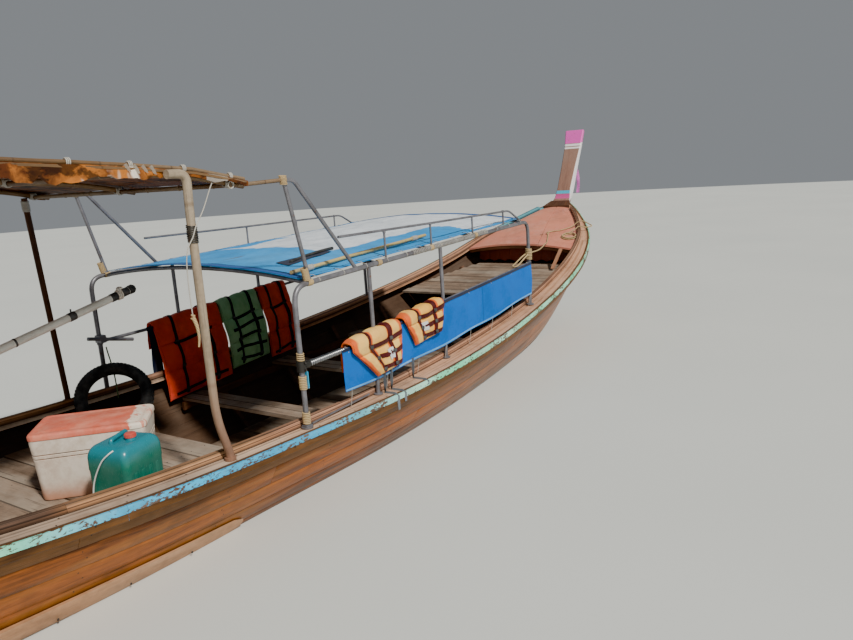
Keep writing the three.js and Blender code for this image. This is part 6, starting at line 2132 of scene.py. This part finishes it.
def build_tail(sizes):
    tube = Shape()
    z = .01
    tube.turned([(-.64, .04), (-.636, .046), (-.575, .046), (-.561, .046)], (0, 0, z), X, 24)
    tube.turned([(-2.5, .0335), (-.63, .0335)], (0, 0, z), X, 24)
    tube.turned([(-TAIL + .13, .0255), (-2.49, .0255)], (0, 0, z), X, 20)
    tube.turned([(-TAIL + .06, .03), (-TAIL + .066, .038), (-TAIL + .134, .038), (-TAIL + .14, .03)], (0, 0, z), X, 24)
    tube.turned([(-2.54, .036), (-2.535, .044), (-2.485, .044), (-2.48, .036)], (0, 0, z), X, 24)
    for x in (-1.1, -1.9):
        tube.turned([(x - .03, .0345), (x - .026, .0385), (x + .026, .0385), (x + .03, .0345)], (0, 0, z), X, 24)
        tube.pipe([(x, 0, .03), (x, 0, .088)], .009, 12)
    tube.pipe(catmull([(-.64, 0, .04), (-1.1, 0, .087), (-1.5, 0, .118), (-1.9, 0, .087), (-2.5, 0, .036)], 8), .0105,
              12)
    skeg = [(-TAIL + .09, 0), (-TAIL + .42, 0), (-TAIL + .27, -.18), (-TAIL + .24, -.2), (-TAIL + .12, -.228),
            (-TAIL + .11, -.225)]
    tube.loft([[(x, y, zz) for x, zz in skeg] for y in (-.004, .004)], 0, .5)
    for x in (-TAIL + .15, -TAIL + .35):
        tube.turned([(-.006, .008), (.006, .008)], (x, 0, -.03), Y, 6)
    tilted("tail-pipe", tube, ["wet_steel"], ["tail-tube"], 40)

    prop = Shape()
    hub = [(-TAIL - .118, .001), (-TAIL - .112, .008), (-TAIL - .095, .018), (-TAIL - .07, .029), (-TAIL - .05, .0335),
           (-TAIL + .044, .0335), (-TAIL + .05, .029)]
    prop.turned(hub, (0, 0, z), X, 28)
    rows = ((.02, .03, 56, .016), (.06, .048, 46, .014), (.1, .062, 38, .012), (.14, .064, 32, .01),
            (.17, .052, 28, .008), (.188, .026, 26, .005))
    section = [(-1, 0), (-.75, .3), (-.3, .5), (.3, .46), (.8, .22), (1, 0), (.8, -.1), (.3, -.14), (-.3, -.14),
               (-.75, -.1)]
    for k in range(3):
        hoops = []
        for j in range(21):
            f = j / 20 * (len(rows) - 1)
            i = min(int(f), len(rows) - 2)
            t = f - i
            r, chord, pitch, thick = [a + (b - a) * t for a, b in zip(rows[i], rows[i + 1])]
            if j > 16:
                chord *= sqrt(max(1 - ((j - 16) / 4.6)**2, .05))
            pitch = radians(pitch)
            ring = []
            for c, h in section:
                c += .18 * (r / .188)**2
                x = c * chord * sin(pitch) + h * thick * cos(pitch)
                y = c * chord * cos(pitch) - h * thick * sin(pitch)
                ring.append((x, y, r))
            hoops.append(ring)
        blade = Shape().loft(hoops, 0, .5)
        turn = Matrix.Translation((-TAIL - .005, 0, z)) @ Matrix.Rotation(2 * pi * k / 3, 4, "X")
        prop.join(moved(blade, turn))
    tilted("propeller-casting", prop, ["bronze"], ["propeller"], 40, "propeller")


GRIP, MID = Vector((-2.162, .04, 1.442)), Vector((-3.02, .04, 1.249))
SLOPE = (GRIP.z - MID.z) / (GRIP.x - MID.x)


def tiller_at(x, lift=0.0):
    return Vector((x, .04, MID.z + SLOPE * (x - MID.x) + lift))


def build_tiller(sizes):
    line = Shape().pipe([tiller_at(x) for x in spread(-4.74, -2.2, 40)], .0235, 24)
    piece("tiller-tube", line, ["white_pipe"], ["tiller-pipe"], 40, body="engine")
    ahead = Vector((1, 0, SLOPE)).normalized()
    grip = Shape()
    grip.turned([(0, .0237), (.004, .0262), (.122, .0262), (.128, .0245)], tiller_at(-2.336), ahead, 28)
    grip.turned([(0, .0265), (.012, .0285), (.034, .0285), (.046, .02), (.05, .008)], tiller_at(-2.208), ahead, 28)
    piece("tiller-sleeve", grip, ["black_plastic"], angle=40, body="engine")
    bands = Shape()
    for x, r, w in ((-2.62, .0262, .045), (-2.95, .0256, .012), (-3.3, .026, .03)):
        bands.turned([(0, r - .002), (.002, r), (w - .002, r), (w, r - .002)], tiller_at(x), ahead, 28)
    bands.pipe([tiller_at(-2.6, .02), tiller_at(-2.6, .045)], .005, 10)
    piece("tiller-bands", bands, ["black_plastic"], angle=40, body="engine")
    knot("tiller-rag", tiller_at(-2.27, .03), .019, "rag", (.3, 0, 1), 8, "white_pipe", "engine", 4)
    rings("tiller-rag-wraps", [[tiller_at(-2.285), tiller_at(-2.262)]], "rag", .01, .0275, .005, "engine")


# ---------------------------------------------------------------- gear on deck

def rounded_ring(a, b, r, z, steps=6):
    """Points round a rectangle with round corners at a height."""
    ring = []
    for sx, sy, start in ((1, 1, 0), (-1, 1, 90), (-1, -1, 180), (1, -1, 270)):
        for k in range(steps + 1):
            angle = radians(start + 90 * k / steps)
            ring.append((sx * (a - r) + r * cos(angle), sy * (b - r) + r * sin(angle), z))
    return ring


def standing(x, y, z, turn):
    return Matrix.Translation((x, y, z)) @ Matrix.Rotation(radians(turn), 4, "Z")


def build_cool_box(sizes):
    matrix = standing(-2.71, -.195, .3883, -45)
    a, b, tall, wall = .282, .1685, .358, .03

    def k_at(h):
        return 1 + .08 * h / tall

    body = Shape()
    outer = [(0, -.012, .03), (.004, -.004, .034), (.012, 0, .036), (.245, 0, .036), (.2475, -.004, .036),
             (.2505, -.004, .036),
             (.253, 0, .036), (.268, 0, .036), (.2705, -.004, .036), (.2735, -.004, .036), (.276, 0, .036),
             (.335, .001, .036), (tall, -.001, .034)]
    hoops = [rounded_ring(a * k_at(h) + swell, b * k_at(h) + swell, r, h) for h, swell, r in outer]
    for h in (tall, tall - .01, wall + .02, wall):
        hoops.append(rounded_ring(a * k_at(h) - wall, b * k_at(h) - wall, .02, h))
    body.loft(hoops, 0, .5)
    body.turned([(0, .016), (.012, .016), (.014, .01)], (-(a + .001), -.1, .035), (-1, 0, 0), 16)
    moved(body, matrix)
    piece("cool-box-shell", body, ["white_box"], ["cool-box"], 35)
    band = Shape()
    for h0, h1 in ((.2475, .2505), (.2705, .2735)):
        hoops = [rounded_ring(a * k_at(h) - .0026, b * k_at(h) - .0026, .036, h) for h in (h0, h1)]
        inner = [rounded_ring(a * k_at(h) - .008, b * k_at(h) - .008, .032, h) for h in (h1, h0)]
        band.loft(hoops + inner + hoops[:1], 0, .5, caps=False)
    moved(band, matrix)
    piece("cool-box-seams", band, ["rusty_iron"], (), 35, "dark_iron")
    lid = Shape()
    z0 = tall + .0003
    profile = [(0, -.002), (.002, .0), (.022, .0), (.029, -.004), (.033, -.012), (.034, -.03), (.031, -.036),
               (.031, -.05), (.0335, -.056)]
    hoops = [rounded_ring(a * 1.1 + g, b * 1.1 + g, max(.045 + g, .012), z0 + h) for h, g in profile]
    hoops.append([(x * .02, y * .02, z0 + .0338) for x, y, _ in hoops[-1]])
    lid.loft(hoops, 0, .5)
    moved(lid, matrix)
    piece("cool-box-top", lid, ["orange_lid"], ["cool-box-lid"], 35)


def build_fuel_can(sizes):
    matrix = standing(-2.83, -.645, .3883, 14)
    a, b, tall = .145, .131, .385
    can = Shape()
    rows = [(0, .86, .02), (.004, .92, .025), (.014, .985, .03), (.024, 1, .032), (.05, 1, .034), (.06, .985, .034),
            (.15, .975, .034),
            (.16, .975, .034), (.25, .985, .034), (.262, 1, .034), (.325, .99, .034), (.345, .965, .034),
            (.36, .92, .032), (.371, .86, .03), (.38, .78, .026), (tall, .68, .022)]
    can.loft([rounded_ring(a * k, b * k, r, h, 8) for h, k, r in rows], 0, .5)
    can.pipe(rounded([(-.066, .017, .368), (-.066, .017, .4), (.074, .044, .4), (.074, .044, .368)], .024, 8), .0125,
             14)
    can.turned([(0, .028), (.01, .028), (.014, .025), (.028, .025)], (.002, -.05, .376), Z, 24)
    for s in (-1, 1):
        for x in (-.08, -.027, .027, .08):
            can.box((x - .01, min(s * .1245, s * .1305), .09), (x + .01, max(s * .1245, s * .1305), .24), .004)
    moved(can, matrix)
    piece("fuel-can-body", can, ["green_can"], ["fuel-can"], 40)
    cap = Shape()
    cap.turned([(.022, .026), (.023, .0285), (.043, .028), (.046, .024), (.047, .01)], (.002, -.05, .376), Z, 28)
    for k in range(20):
        angle = 2 * pi * k / 20
        x, y = .002 + .0285 * cos(angle), -.05 + .0285 * sin(angle)
        cap.box((x - .0014, y - .0014, .402), (x + .0014, y + .0014, .418), .0005)
    moved(cap, matrix)
    piece("fuel-can-cap", cap, ["red_cap"], angle=40)
    path = [(-.128, -.05, .372), (-.142, -.03, .357), (-.152, .01, .32), (-.155, .055, .25), (-.156, .085, .18),
            (-.158, .1, .1), (-.168, .108, .03), (-.2, .12, .006), (-.27, .12, .006)]
    path = [tuple(matrix @ Vector(q)) for q in path]
    line = Shape().pipe(catmull(path, 6), .0042, 8)
    piece("fuel-line", line, ["white_line"], angle=60)


def build_ring_fender(sizes):
    x, y, z, radius, tube_r, turn, lean = -2.04, .63, .608, .218, .046, -122, 38
    matrix = (Matrix.Translation((x, y, z)) @ Matrix.Rotation(radians(turn), 4, "Z")
              @ Matrix.Rotation(radians(90 - lean), 4, "Y"))
    shape = Shape()
    profile = []
    for k in range(24):
        angle = 2 * pi * k / 24
        c, s = cos(angle), sin(angle)
        r = tube_r * (1 - .05 * max(c, 0)**8)
        squeeze = .9 if c < -.55 else 1
        profile.append((radius + r * c * squeeze, r * s))
    hoops = []
    for j in range(73):
        angle = 2 * pi * j / 72
        hoops.append([(p * cos(angle), p * sin(angle), h) for p, h in profile])
    shape.loft(hoops, 0, .5, caps=False)
    moved(shape, matrix)
    piece("ring-fender-tyre", shape, ["black_rubber"], ["ring-fender"], 40, weld=.0002)
    rows = []
    rot = matrix.to_3x3()
    for j in range(60):
        angle = 2 * pi * j / 60
        for h, tip in ((-.024, -.5), (0, 0), (.024, .5)):
            bearing = angle + (.05 if h == 0 else 0)
            d = sqrt(max(tube_r**2 - h * h, 0))
            p = matrix @ Vector(((radius + d) * cos(bearing), (radius + d) * sin(bearing), h))
            q = (rot @ Matrix.Rotation(bearing, 3, "Z") @ Matrix.Rotation(-tip, 3, "Y")).to_euler()
            rows.append((tuple(p), (.005, .016, .014), tuple(q), .5))
    boards("ring-fender-tread", rows, "black_rubber", .001)


# ---------------------------------------------------------------- life jackets

# Name, x, width, side, outside and inside drop, standing off outside and inside, finish, webbing
JACKETS = [
    ("near-aft", -1.13, .56, -1, .27, .17, .038, .034, "near_jacket", "webbing"),
    ("near-mid", -.52, .54, -1, .2, .15, .038, .034, "near_jacket", "webbing"),
    ("far-aft", -1.06, .68, 1, .18, .61, .02, .112, "orange_jacket", "green_webbing"),
    ("far-mid", -.47, .46, 1, .18, .57, .02, .112, "green_jacket", "green_webbing"),
    ("far-fore", -.03, .37, 1, .18, .62, .02, .112, "orange_jacket", "green_webbing"),
]
STRAPS_AT = {-1: (.3, .72), 1: (.26, .74)}
WEBBING_HALF = .0125
# How far each corner of the outside hem is pulled in, as a share of the width: aft side, fore side
SLANT = {"near-aft": (.46, .04), "near-mid": (.22, .1)}
PAD = .034


class Fold:
    """A jacket's path over the rail: v runs from the outside hem over the rail to the inside hem."""

    def __init__(self, x, wide, side, outside, within, out, drape, slant):
        self.x, self.wide, self.side, self.slant = x, wide, side, slant
        bend = -min(.27, within * .6)
        half = PAD / 2
        corners = [(out + half, -outside), (out + half, -.05), (out + half, .02 + half), (-.02, .02 + half + .004),
                   (-.02 - half, .0), (-drape - half, bend), (-drape - half, -within)]
        eased = rounded([(0, a, b) for a, b in corners], .045, 8)
        self.path = []
        for a, b in zip(eased, eased[1:]):
            count = max(int((b - a).length / .012), 1)
            self.path += [a.lerp(b, k / count) for k in range(count)]
        self.path.append(eased[-1])
        self.run = [0.0]
        for a, b in zip(self.path, self.path[1:]):
            self.run.append(self.run[-1] + (b - a).length)
        self.long = self.run[-1]
        self.rail = mid_rail(x)
        self.rise = (mid_rail(x + .05) - mid_rail(x - .05)) / .1

    def at(self, u, v):
        """Middle of the pad at a share across and along, with its outward direction."""
        d = clamp(v) * self.long
        k = 1
        while k < len(self.run) - 1 and d > self.run[k]:
            k += 1
        a, b = self.path[k - 1], self.path[k]
        p = a.lerp(b, (d - self.run[k - 1]) / (self.run[k] - self.run[k - 1]))
        j, i = self.path[min(k + 1, len(self.path) - 1)], self.path[max(k - 2, 0)]
        ahead = (j - i).normalized()
        out = Vector((0, ahead.z, -ahead.y))
        pull = max(1 - max(v, 0) / .42, 0)
        x = self.x + (u - .5 + (1 - u) * self.slant[0] * pull - u * self.slant[1] * pull) * self.wide
        point = Vector((x, self.side * (POST_Y + p.y), self.rail + p.z + self.rise * (x - self.x)))
        return point, Vector((0, self.side * out.y, out.z))


def pad_swell(u, v, cols, rows):
    """Share of full thickness: pillows between the seams, thin at the hems."""
    a = abs(sin(pi * u * cols))
    b = abs(sin(pi * v * rows))
    return (a * b)**.42


def jacket_surface(fold, name, u, v, outer):
    """A point on the jacket's outer or inner face."""
    p, out = fold.at(u, v)
    seed = len(name) + fold.x * 3
    full = pad_swell(u, v, 3, 3 if fold.side < 0 else 4)
    across, down = u * fold.wide, v * fold.long
    crumple = .007 * wobble(across, down, 0, 9, seed) + .0035 * wobble(across, down, 1, 27, seed)
    half = .0035 + (PAD / 2 + (.006 if outer else -.004)) * full
    return p + out * ((half if outer else -half) + crumple * (.4 + full))


def build_life_jackets(sizes):
    for name, x, wide, side, outside, within, out, drape, key, web in JACKETS:
        fold = Fold(x, wide, side, outside, within, out, drape, SLANT.get(name, (0, 0)))
        cols, rows = 56, 84
        faces = []
        for outer in (True, False):
            for r in range(rows + 1):
                for c in range(cols + 1):
                    u, v = c / cols, r / rows
                    hem = .008 * sin(v * 9 + x) * (1 if c in (0, cols) else 0)
                    p = jacket_surface(fold, name, u, v, outer)
                    p.x += hem
                    faces.append(p)
        half = len(faces) // 2
        shape = Shape().two_faced(faces[:half], faces[half:], cols + 1,
                                  lambda r, c: (r / rows * fold.long, c / cols * wide))
        obj = piece(f"jacket-{name}", shape, [key], [f"life-jacket-{name}"], 60)

        def on(u, v, lift=.004):
            p = jacket_surface(fold, name, u, v, True)
            return p + fold.at(u, v)[1] * lift

        straps = Shape()

        def strap(path_uv, half_u, half_v):
            """Webbing laid over the pads along (u, v) points."""
            hoops = []
            for u, v in path_uv:
                edge_a, edge_b = on(u - half_u, v - half_v), on(u + half_u, v + half_v)
                middle = on(u, v)
                normal = fold.at(u, v)[1]
                top = max((edge_a - middle).dot(normal), (edge_b - middle).dot(normal), 0)
                hoops.append([edge_a + normal * .001, middle + normal * (.0015 + top * .5), edge_b + normal * .001,
                              edge_b - normal * .0015, middle - normal * .001, edge_a - normal * .0015])
            straps.loft(hoops, 0, .5)

        u_half = WEBBING_HALF / wide
        v_half = WEBBING_HALF / fold.long
        for u in STRAPS_AT[side]:
            strap([(u + .012 * sin(v * 8 + u), v) for v in spread(.02, .98, 70)], u_half * (1.5 if side < 0 else 1.2),
                  0)
        start, end = (.06, .4) if side < 0 else (.5, .94)
        rungs = 2 if side < 0 else 4 if key == "green_jacket" else 1
        for k, v in enumerate(spread(start, end, rungs)):
            reach = (.28 + .1 * (k % 2), .98) if side < 0 else (.2 - .1 * (k % 2), .8 + .12 * (k % 2))
            strap([(u, v + .016 * sin(u * 5 + k)) for u in spread(*reach, 50)], 0, v_half * (1.4 if side < 0 else 1))
        piece(f"jacket-straps-{name}", straps, [web], (), 50, SLOT_OF[web])
        buckles = []
        for v in spread(start, end, 2):
            for u in STRAPS_AT[side]:
                p = on(u + .012 * sin(v * 8 + u), v, .009)
                ahead = (on(u, v + .01) - on(u, v - .01)).normalized()
                normal = fold.at(u, v)[1]
                basis = Matrix((Vector(X), normal.cross(Vector(X)), normal)).transposed()
                buckles.append((tuple(p), (.036, .026, .008), tuple(basis.to_euler()), .5))
        boards(f"jacket-buckles-{name}", buckles, "black_plastic", .0025)
        edge_paths = [[on(u, v, -.001) for v in spread(.02, .98, 60)] for u in (.012, .988)]
        edge_paths += [[on(u, v, .001) for v in spread(.03, .97, 60)] for u in (.25, .75)]
        stitches(f"jacket-stitches-{name}", edge_paths, web, .012, .007, .0011, slot=SLOT_OF[web])
        if name in ("near-aft", "near-mid"):
            cells = []
            u0, v0 = (.56, .14) if name == "near-aft" else (.3, .16)
            for r in range(9):
                cells.append([on(u0 + .17 * c / 8, v0 + .14 * r / 8, .005) for c in range(9)])
            label = sheet_of(f"jacket-label-{name}", cells, "jacket_label", .0012, slot="orange_jacket")


def build_fittings(sizes):
    rows = []
    for x in spread(-1.44, -1.34, 8):
        row = []
        for k in range(26):
            t = k / 25
            z = mid_rail(x) + .02 - .42 * t
            y = 1.0 - .012 * sin(t * 3) + .01 * sin(x * 60 + t * 3)
            row.append((x + .01 * sin(t * 6), y, z))
        rows.append(row)
    navy, a, b = sheet_of("hung-cloth", rows, "navy_cloth", .002, slot="blue_tarpaulin")
    rows = []
    for k in range(40):
        t = k / 39
        z = 2.32 - .7 * t
        front = 5.55 + (5.283 - 5.55) * (2.32 - z) / .58
        width = .03 * (1 - .25 * t)
        swing = clamp((t - .3) / .6)
        swing *= swing * (3 - 2 * swing)
        aside = .008 * sin(t * 9) - .02 - .115 * swing
        rows.append([(front + .014 + .02 * swing + .005 * sin(t * 13 + c), (c - 1.5) / 1.5 * width + aside, z)
                     for c in range(4)])
    sash, a, b = sheet_of("stem-sash", rows, "pink_cloth", .0016)
    coat("frame_wood", "frames-aft", "frames-mid", "frames-fore")


# ---------------------------------------------------------------- stage

CAMERA_AT = (-4.90, -3.944, 2.042)
CAMERA_AZ, CAMERA_PITCH, CAMERA_ROLL = 33.08, 11.74, -3.605
CAMERA_LENS = 29.83
FLOOR_REACH = 46.0
SUN_TOWARD, FILL_AT, FILL_TO = Vector((.3, .8, -.85)), Vector((-7.5, -6.5, 5.5)), Vector((-1, 0, .6))


def build_camera():
    az, pitch, roll = (radians(v) for v in (CAMERA_AZ, CAMERA_PITCH, CAMERA_ROLL))
    flat = Vector((cos(az), sin(az), 0))
    right = Vector((sin(az), -cos(az), 0))
    ahead = flat * cos(pitch) - UP * sin(pitch)
    upward = flat * sin(pitch) + UP * cos(pitch)
    x = right * cos(roll) + upward * sin(roll)
    y = upward * cos(roll) - right * sin(roll)
    data = bpy.data.cameras.new("Camera")
    data.lens = CAMERA_LENS
    data.sensor_width = 36
    data.clip_start, data.clip_end = .05, 400
    data.dof.use_dof = False
    camera = link(bpy.data.objects.new("Camera", data))
    camera.matrix_world = Matrix.Translation(CAMERA_AT) @ Matrix((x, y, -ahead)).transposed().to_4x4()
    bpy.context.scene.camera = camera
    return camera


def build_stage(sizes):
    """Camera, a pale floor at the waterline that stops at the hull, and soft light."""
    camera = build_camera()
    outline = [(x, breadth_at(x, 0, -.0008)) for x in spread(STERN_X, 4.14, 120)]
    outline = [(STERN_X - .0008, outline[0][1])] + outline
    z_keel = [x for x in spread(3.8, 4.3, 200) if hull(KEEL, x) < 0]
    tip = max(z_keel) + .035
    outline = [(x, y) for x, y in outline if x < tip - .06] + [(tip - .05, .048), (tip, .046)]
    loop = [(x, -y) for x, y in outline] + [(x, y) for x, y in reversed(outline)]
    bm = bmesh.new()
    inner = [bm.verts.new((x, y, 0)) for x, y in loop]
    outer = []
    for x, y in loop:
        angle = atan2(y / 1.2, (x + .4) / 5.5)
        outer.append(bm.verts.new((-.4 + FLOOR_REACH * cos(angle), FLOOR_REACH * sin(angle), 0)))
    for k in range(len(loop)):
        j = (k + 1) % len(loop)
        bm.faces.new((inner[k], inner[j], outer[j], outer[k]))
    bmesh.ops.recalc_face_normals(bm, faces=bm.faces)
    if bm.faces[0].normal.z < 0:
        bmesh.ops.reverse_faces(bm, faces=bm.faces)
    mesh = bpy.data.meshes.new("Floor")
    bm.to_mesh(mesh)
    bm.free()
    mesh.materials.append(finish("floor_tone"))
    floor = link(bpy.data.objects.new("Floor", mesh))

    lights = []
    for name, kind, power, colour, toward in (("Key", "SUN", sizes.key_light, (1, .955, .88), SUN_TOWARD),
                                              ("Fill", "AREA", sizes.fill_light, (1, .97, .92), FILL_TO - FILL_AT)):
        lamp = bpy.data.lights.new(name, kind)
        lamp.energy, lamp.color = power, colour
        light = link(bpy.data.objects.new(name, lamp))
        light.rotation_euler = toward.normalized().to_track_quat("-Z", "Y").to_euler()
        lights.append(light)
    lights[0].data.angle = radians(4)
    lights[1].data.size = 9
    lights[1].location = FILL_AT

    world = bpy.data.worlds.new("Studio")
    world.use_nodes = True
    back = world.node_tree.nodes["Background"]
    back.inputs["Color"].default_value = (.80, .85, .90, 1)
    back.inputs["Strength"].default_value = .5
    bpy.context.scene.world = world
    bpy.context.scene.view_settings.look = "AgX - Punchy"


def floor_finish(n, shader):
    place = n.place()
    soft = n.noise(place, .35, 3, .5)
    dress(n, shader, n.mix(soft, "#c9cdca", "#d6d9d5"), .75)


FINISHES["floor_tone"] = floor_finish


# ---------------------------------------------------------------- add-on

def colour_of(hexa):
    return linear(hexa)[:3]


def sized(label, text, default, low, high):
    return FloatProperty(name=label, description=text, default=default, min=low, max=high, subtype="DISTANCE",
                         unit="LENGTH")


def tinted(label, text, hexa):
    return FloatVectorProperty(name=label, description=text, default=colour_of(hexa), size=3, min=0, max=1,
                               subtype="COLOR")


class BoatSizes(bpy.types.PropertyGroup):
    """Sizes and light of the longtail boat."""

    bow_rope: sized("Bow Rope", "Thickness of the rope at the bow", .014, .006, .03)
    board_bevel: sized("Board Bevel", "Worn edge of the deck boards", .003, .0005, .01)
    plank_seam: sized("Plank Seam", "Depth of the seams between the hull planks", .0024, .001, .008)
    key_light: FloatProperty(name="Key Light", description="Strength of the light from above", default=7.0, min=0,
                             max=20)
    fill_light: FloatProperty(name="Fill Light", description="Power of the soft side light", default=250, min=0,
                              max=4000)


class BoatColours(bpy.types.PropertyGroup):
    """Colours of the longtail boat."""

    plank_light: tinted("Plank Light", "Light grain of the varnished planks", "#c66e20")
    plank_dark: tinted("Plank Dark", "Dark grain of the varnished planks", "#48220b")
    gunwale_blue: tinted("Gunwale Blue", "Turquoise paint of the gunwale", "#0ca6de")
    gunwale_mint: tinted("Gunwale Mint", "Pale mint paint of the gunwale", "#6ce2b0")
    foredeck: tinted("Foredeck", "Salmon paint of the foredeck", "#d0806a")
    canopy: tinted("Canopy", "Canopy sheet", "#2a97dc")
    side_cloth: tinted("Side Cloth", "Cloth along the side of the canopy", "#0066c2")
    jacket: tinted("Life Jacket", "Red-orange life jackets", "#dc4026")
    engine: tinted("Engine", "Paint of the engine", "#4d7391")


class BoatStep:
    """What the operators share: each builds its pieces with the scene's sizes."""

    bl_options = {"REGISTER", "UNDO"}

    def execute(self, context):
        type(self).build(context.scene.boat_sizes)
        return {"FINISHED"}


class BOAT_OT_stage(BoatStep, bpy.types.Operator):
    """Camera, floor and light."""
    bl_idname = "boat.stage"
    bl_label = "Stage"
    build = staticmethod(build_stage)


class BOAT_OT_cords(BoatStep, bpy.types.Operator):
    """Bow rope with its coil and hank, roof cord and fender cord."""
    bl_idname = "boat.cords"
    bl_label = "Cords"
    build = staticmethod(build_cords)


class BOAT_OT_planking(BoatStep, bpy.types.Operator):
    """Side and bottom planks with their nails."""
    bl_idname = "boat.planking"
    bl_label = "Planking"
    build = staticmethod(build_planking)


class BOAT_OT_transom(BoatStep, bpy.types.Operator):
    """Boards of the transom."""
    bl_idname = "boat.transom"
    bl_label = "Transom"
    build = staticmethod(build_transom)


class BOAT_OT_gunwales(BoatStep, bpy.types.Operator):
    """Rub strakes, washboards and inner rails."""
    bl_idname = "boat.gunwales"
    bl_label = "Gunwales"
    build = staticmethod(build_gunwales)


class BOAT_OT_stern_planks(BoatStep, bpy.types.Operator):
    """Planks outside the hull along the waterline aft."""
    bl_idname = "boat.stern_planks"
    bl_label = "Stern Planks"
    build = staticmethod(build_stern_planks)


class BOAT_OT_bow(BoatStep, bpy.types.Operator):
    """Stem, keel, foredeck, bulkhead and breasthook."""
    bl_idname = "boat.bow"
    bl_label = "Bow"
    build = staticmethod(build_bow)


class BOAT_OT_decks(BoatStep, bpy.types.Operator):
    """Deck boards, floor boards, thwarts and their bearers."""
    bl_idname = "boat.decks"
    bl_label = "Decks"
    build = staticmethod(build_decks)


class BOAT_OT_canopy_frame(BoatStep, bpy.types.Operator):
    """Tubes, clamps and lashings of the canopy."""
    bl_idname = "boat.canopy_frame"
    bl_label = "Canopy Frame"
    build = staticmethod(build_canopy_frame)


class BOAT_OT_canopy_cloths(BoatStep, bpy.types.Operator):
    """Canopy sheet, side cloth, ties and pole."""
    bl_idname = "boat.canopy_cloths"
    bl_label = "Canopy Cloths"
    build = staticmethod(build_canopy_cloths)


class BOAT_OT_helm_roof(BoatStep, bpy.types.Operator):
    """Sheet, poles and battens of the roof over the helm."""
    bl_idname = "boat.helm_roof"
    bl_label = "Helm Roof"
    build = staticmethod(build_helm_roof)


class BOAT_OT_posts(BoatStep, bpy.types.Operator):
    """Posts of the helm roof."""
    bl_idname = "boat.posts"
    bl_label = "Roof Posts"
    build = staticmethod(build_posts)


class BOAT_OT_engine(BoatStep, bpy.types.Operator):
    """Engine with its belt, pipes, hoses, exhaust and bolts."""
    bl_idname = "boat.engine"
    bl_label = "Engine"
    build = staticmethod(build_engine)


class BOAT_OT_tail(BoatStep, bpy.types.Operator):
    """Tail pipe, skeg and propeller."""
    bl_idname = "boat.tail"
    bl_label = "Tail"
    build = staticmethod(build_tail)


class BOAT_OT_tiller(BoatStep, bpy.types.Operator):
    """Tiller pipe with its sleeve, bands and rag."""
    bl_idname = "boat.tiller"
    bl_label = "Tiller"
    build = staticmethod(build_tiller)


class BOAT_OT_cool_box(BoatStep, bpy.types.Operator):
    """Cool box and its lid."""
    bl_idname = "boat.cool_box"
    bl_label = "Cool Box"
    build = staticmethod(build_cool_box)


class BOAT_OT_fuel_can(BoatStep, bpy.types.Operator):
    """Fuel can, its cap and its line."""
    bl_idname = "boat.fuel_can"
    bl_label = "Fuel Can"
    build = staticmethod(build_fuel_can)


class BOAT_OT_ring_fender(BoatStep, bpy.types.Operator):
    """Rubber ring with its tread."""
    bl_idname = "boat.ring_fender"
    bl_label = "Ring Fender"
    build = staticmethod(build_ring_fender)


class BOAT_OT_life_jackets(BoatStep, bpy.types.Operator):
    """Quilted life jackets folded over the rails."""
    bl_idname = "boat.life_jackets"
    bl_label = "Life Jackets"
    build = staticmethod(build_life_jackets)


class BOAT_OT_fittings(BoatStep, bpy.types.Operator):
    """Hung cloth and the sash on the stem."""
    bl_idname = "boat.fittings"
    bl_label = "Fittings"
    build = staticmethod(build_fittings)


STEPS = (
    BOAT_OT_stage, BOAT_OT_cords, BOAT_OT_planking, BOAT_OT_transom, BOAT_OT_gunwales, BOAT_OT_stern_planks,
    BOAT_OT_bow, BOAT_OT_decks, BOAT_OT_canopy_frame, BOAT_OT_canopy_cloths, BOAT_OT_helm_roof, BOAT_OT_posts,
    BOAT_OT_engine, BOAT_OT_tail, BOAT_OT_tiller, BOAT_OT_cool_box, BOAT_OT_fuel_can, BOAT_OT_ring_fender,
    BOAT_OT_life_jackets, BOAT_OT_fittings,
)


class BOAT_PT_panel(bpy.types.Panel):
    """Lists the boat's sizes, colours and pieces."""

    bl_idname = "BOAT_PT_panel"
    bl_label = "Longtail Boat"
    bl_space_type = "VIEW_3D"
    bl_region_type = "UI"
    bl_category = "Longtail Boat"

    def draw(self, context):
        for group in (context.scene.boat_sizes, context.scene.boat_colours):
            column = self.layout.column()
            for key in group.__annotations__:
                column.prop(group, key)
        for step in STEPS:
            self.layout.operator(step.bl_idname)


CLASSES = (BoatSizes, BoatColours) + STEPS + (BOAT_PT_panel,)


def register():
    for each in CLASSES:
        bpy.utils.register_class(each)
    bpy.types.Scene.boat_sizes = PointerProperty(type=BoatSizes)
    bpy.types.Scene.boat_colours = PointerProperty(type=BoatColours)


def unregister():
    del bpy.types.Scene.boat_colours
    del bpy.types.Scene.boat_sizes
    for each in reversed(CLASSES):
        bpy.utils.unregister_class(each)


def main():
    register()
    for step in STEPS:
        area, label = step.bl_idname.split(".")
        getattr(getattr(bpy.ops, area), label)()


if __name__ == "__main__":
    main()
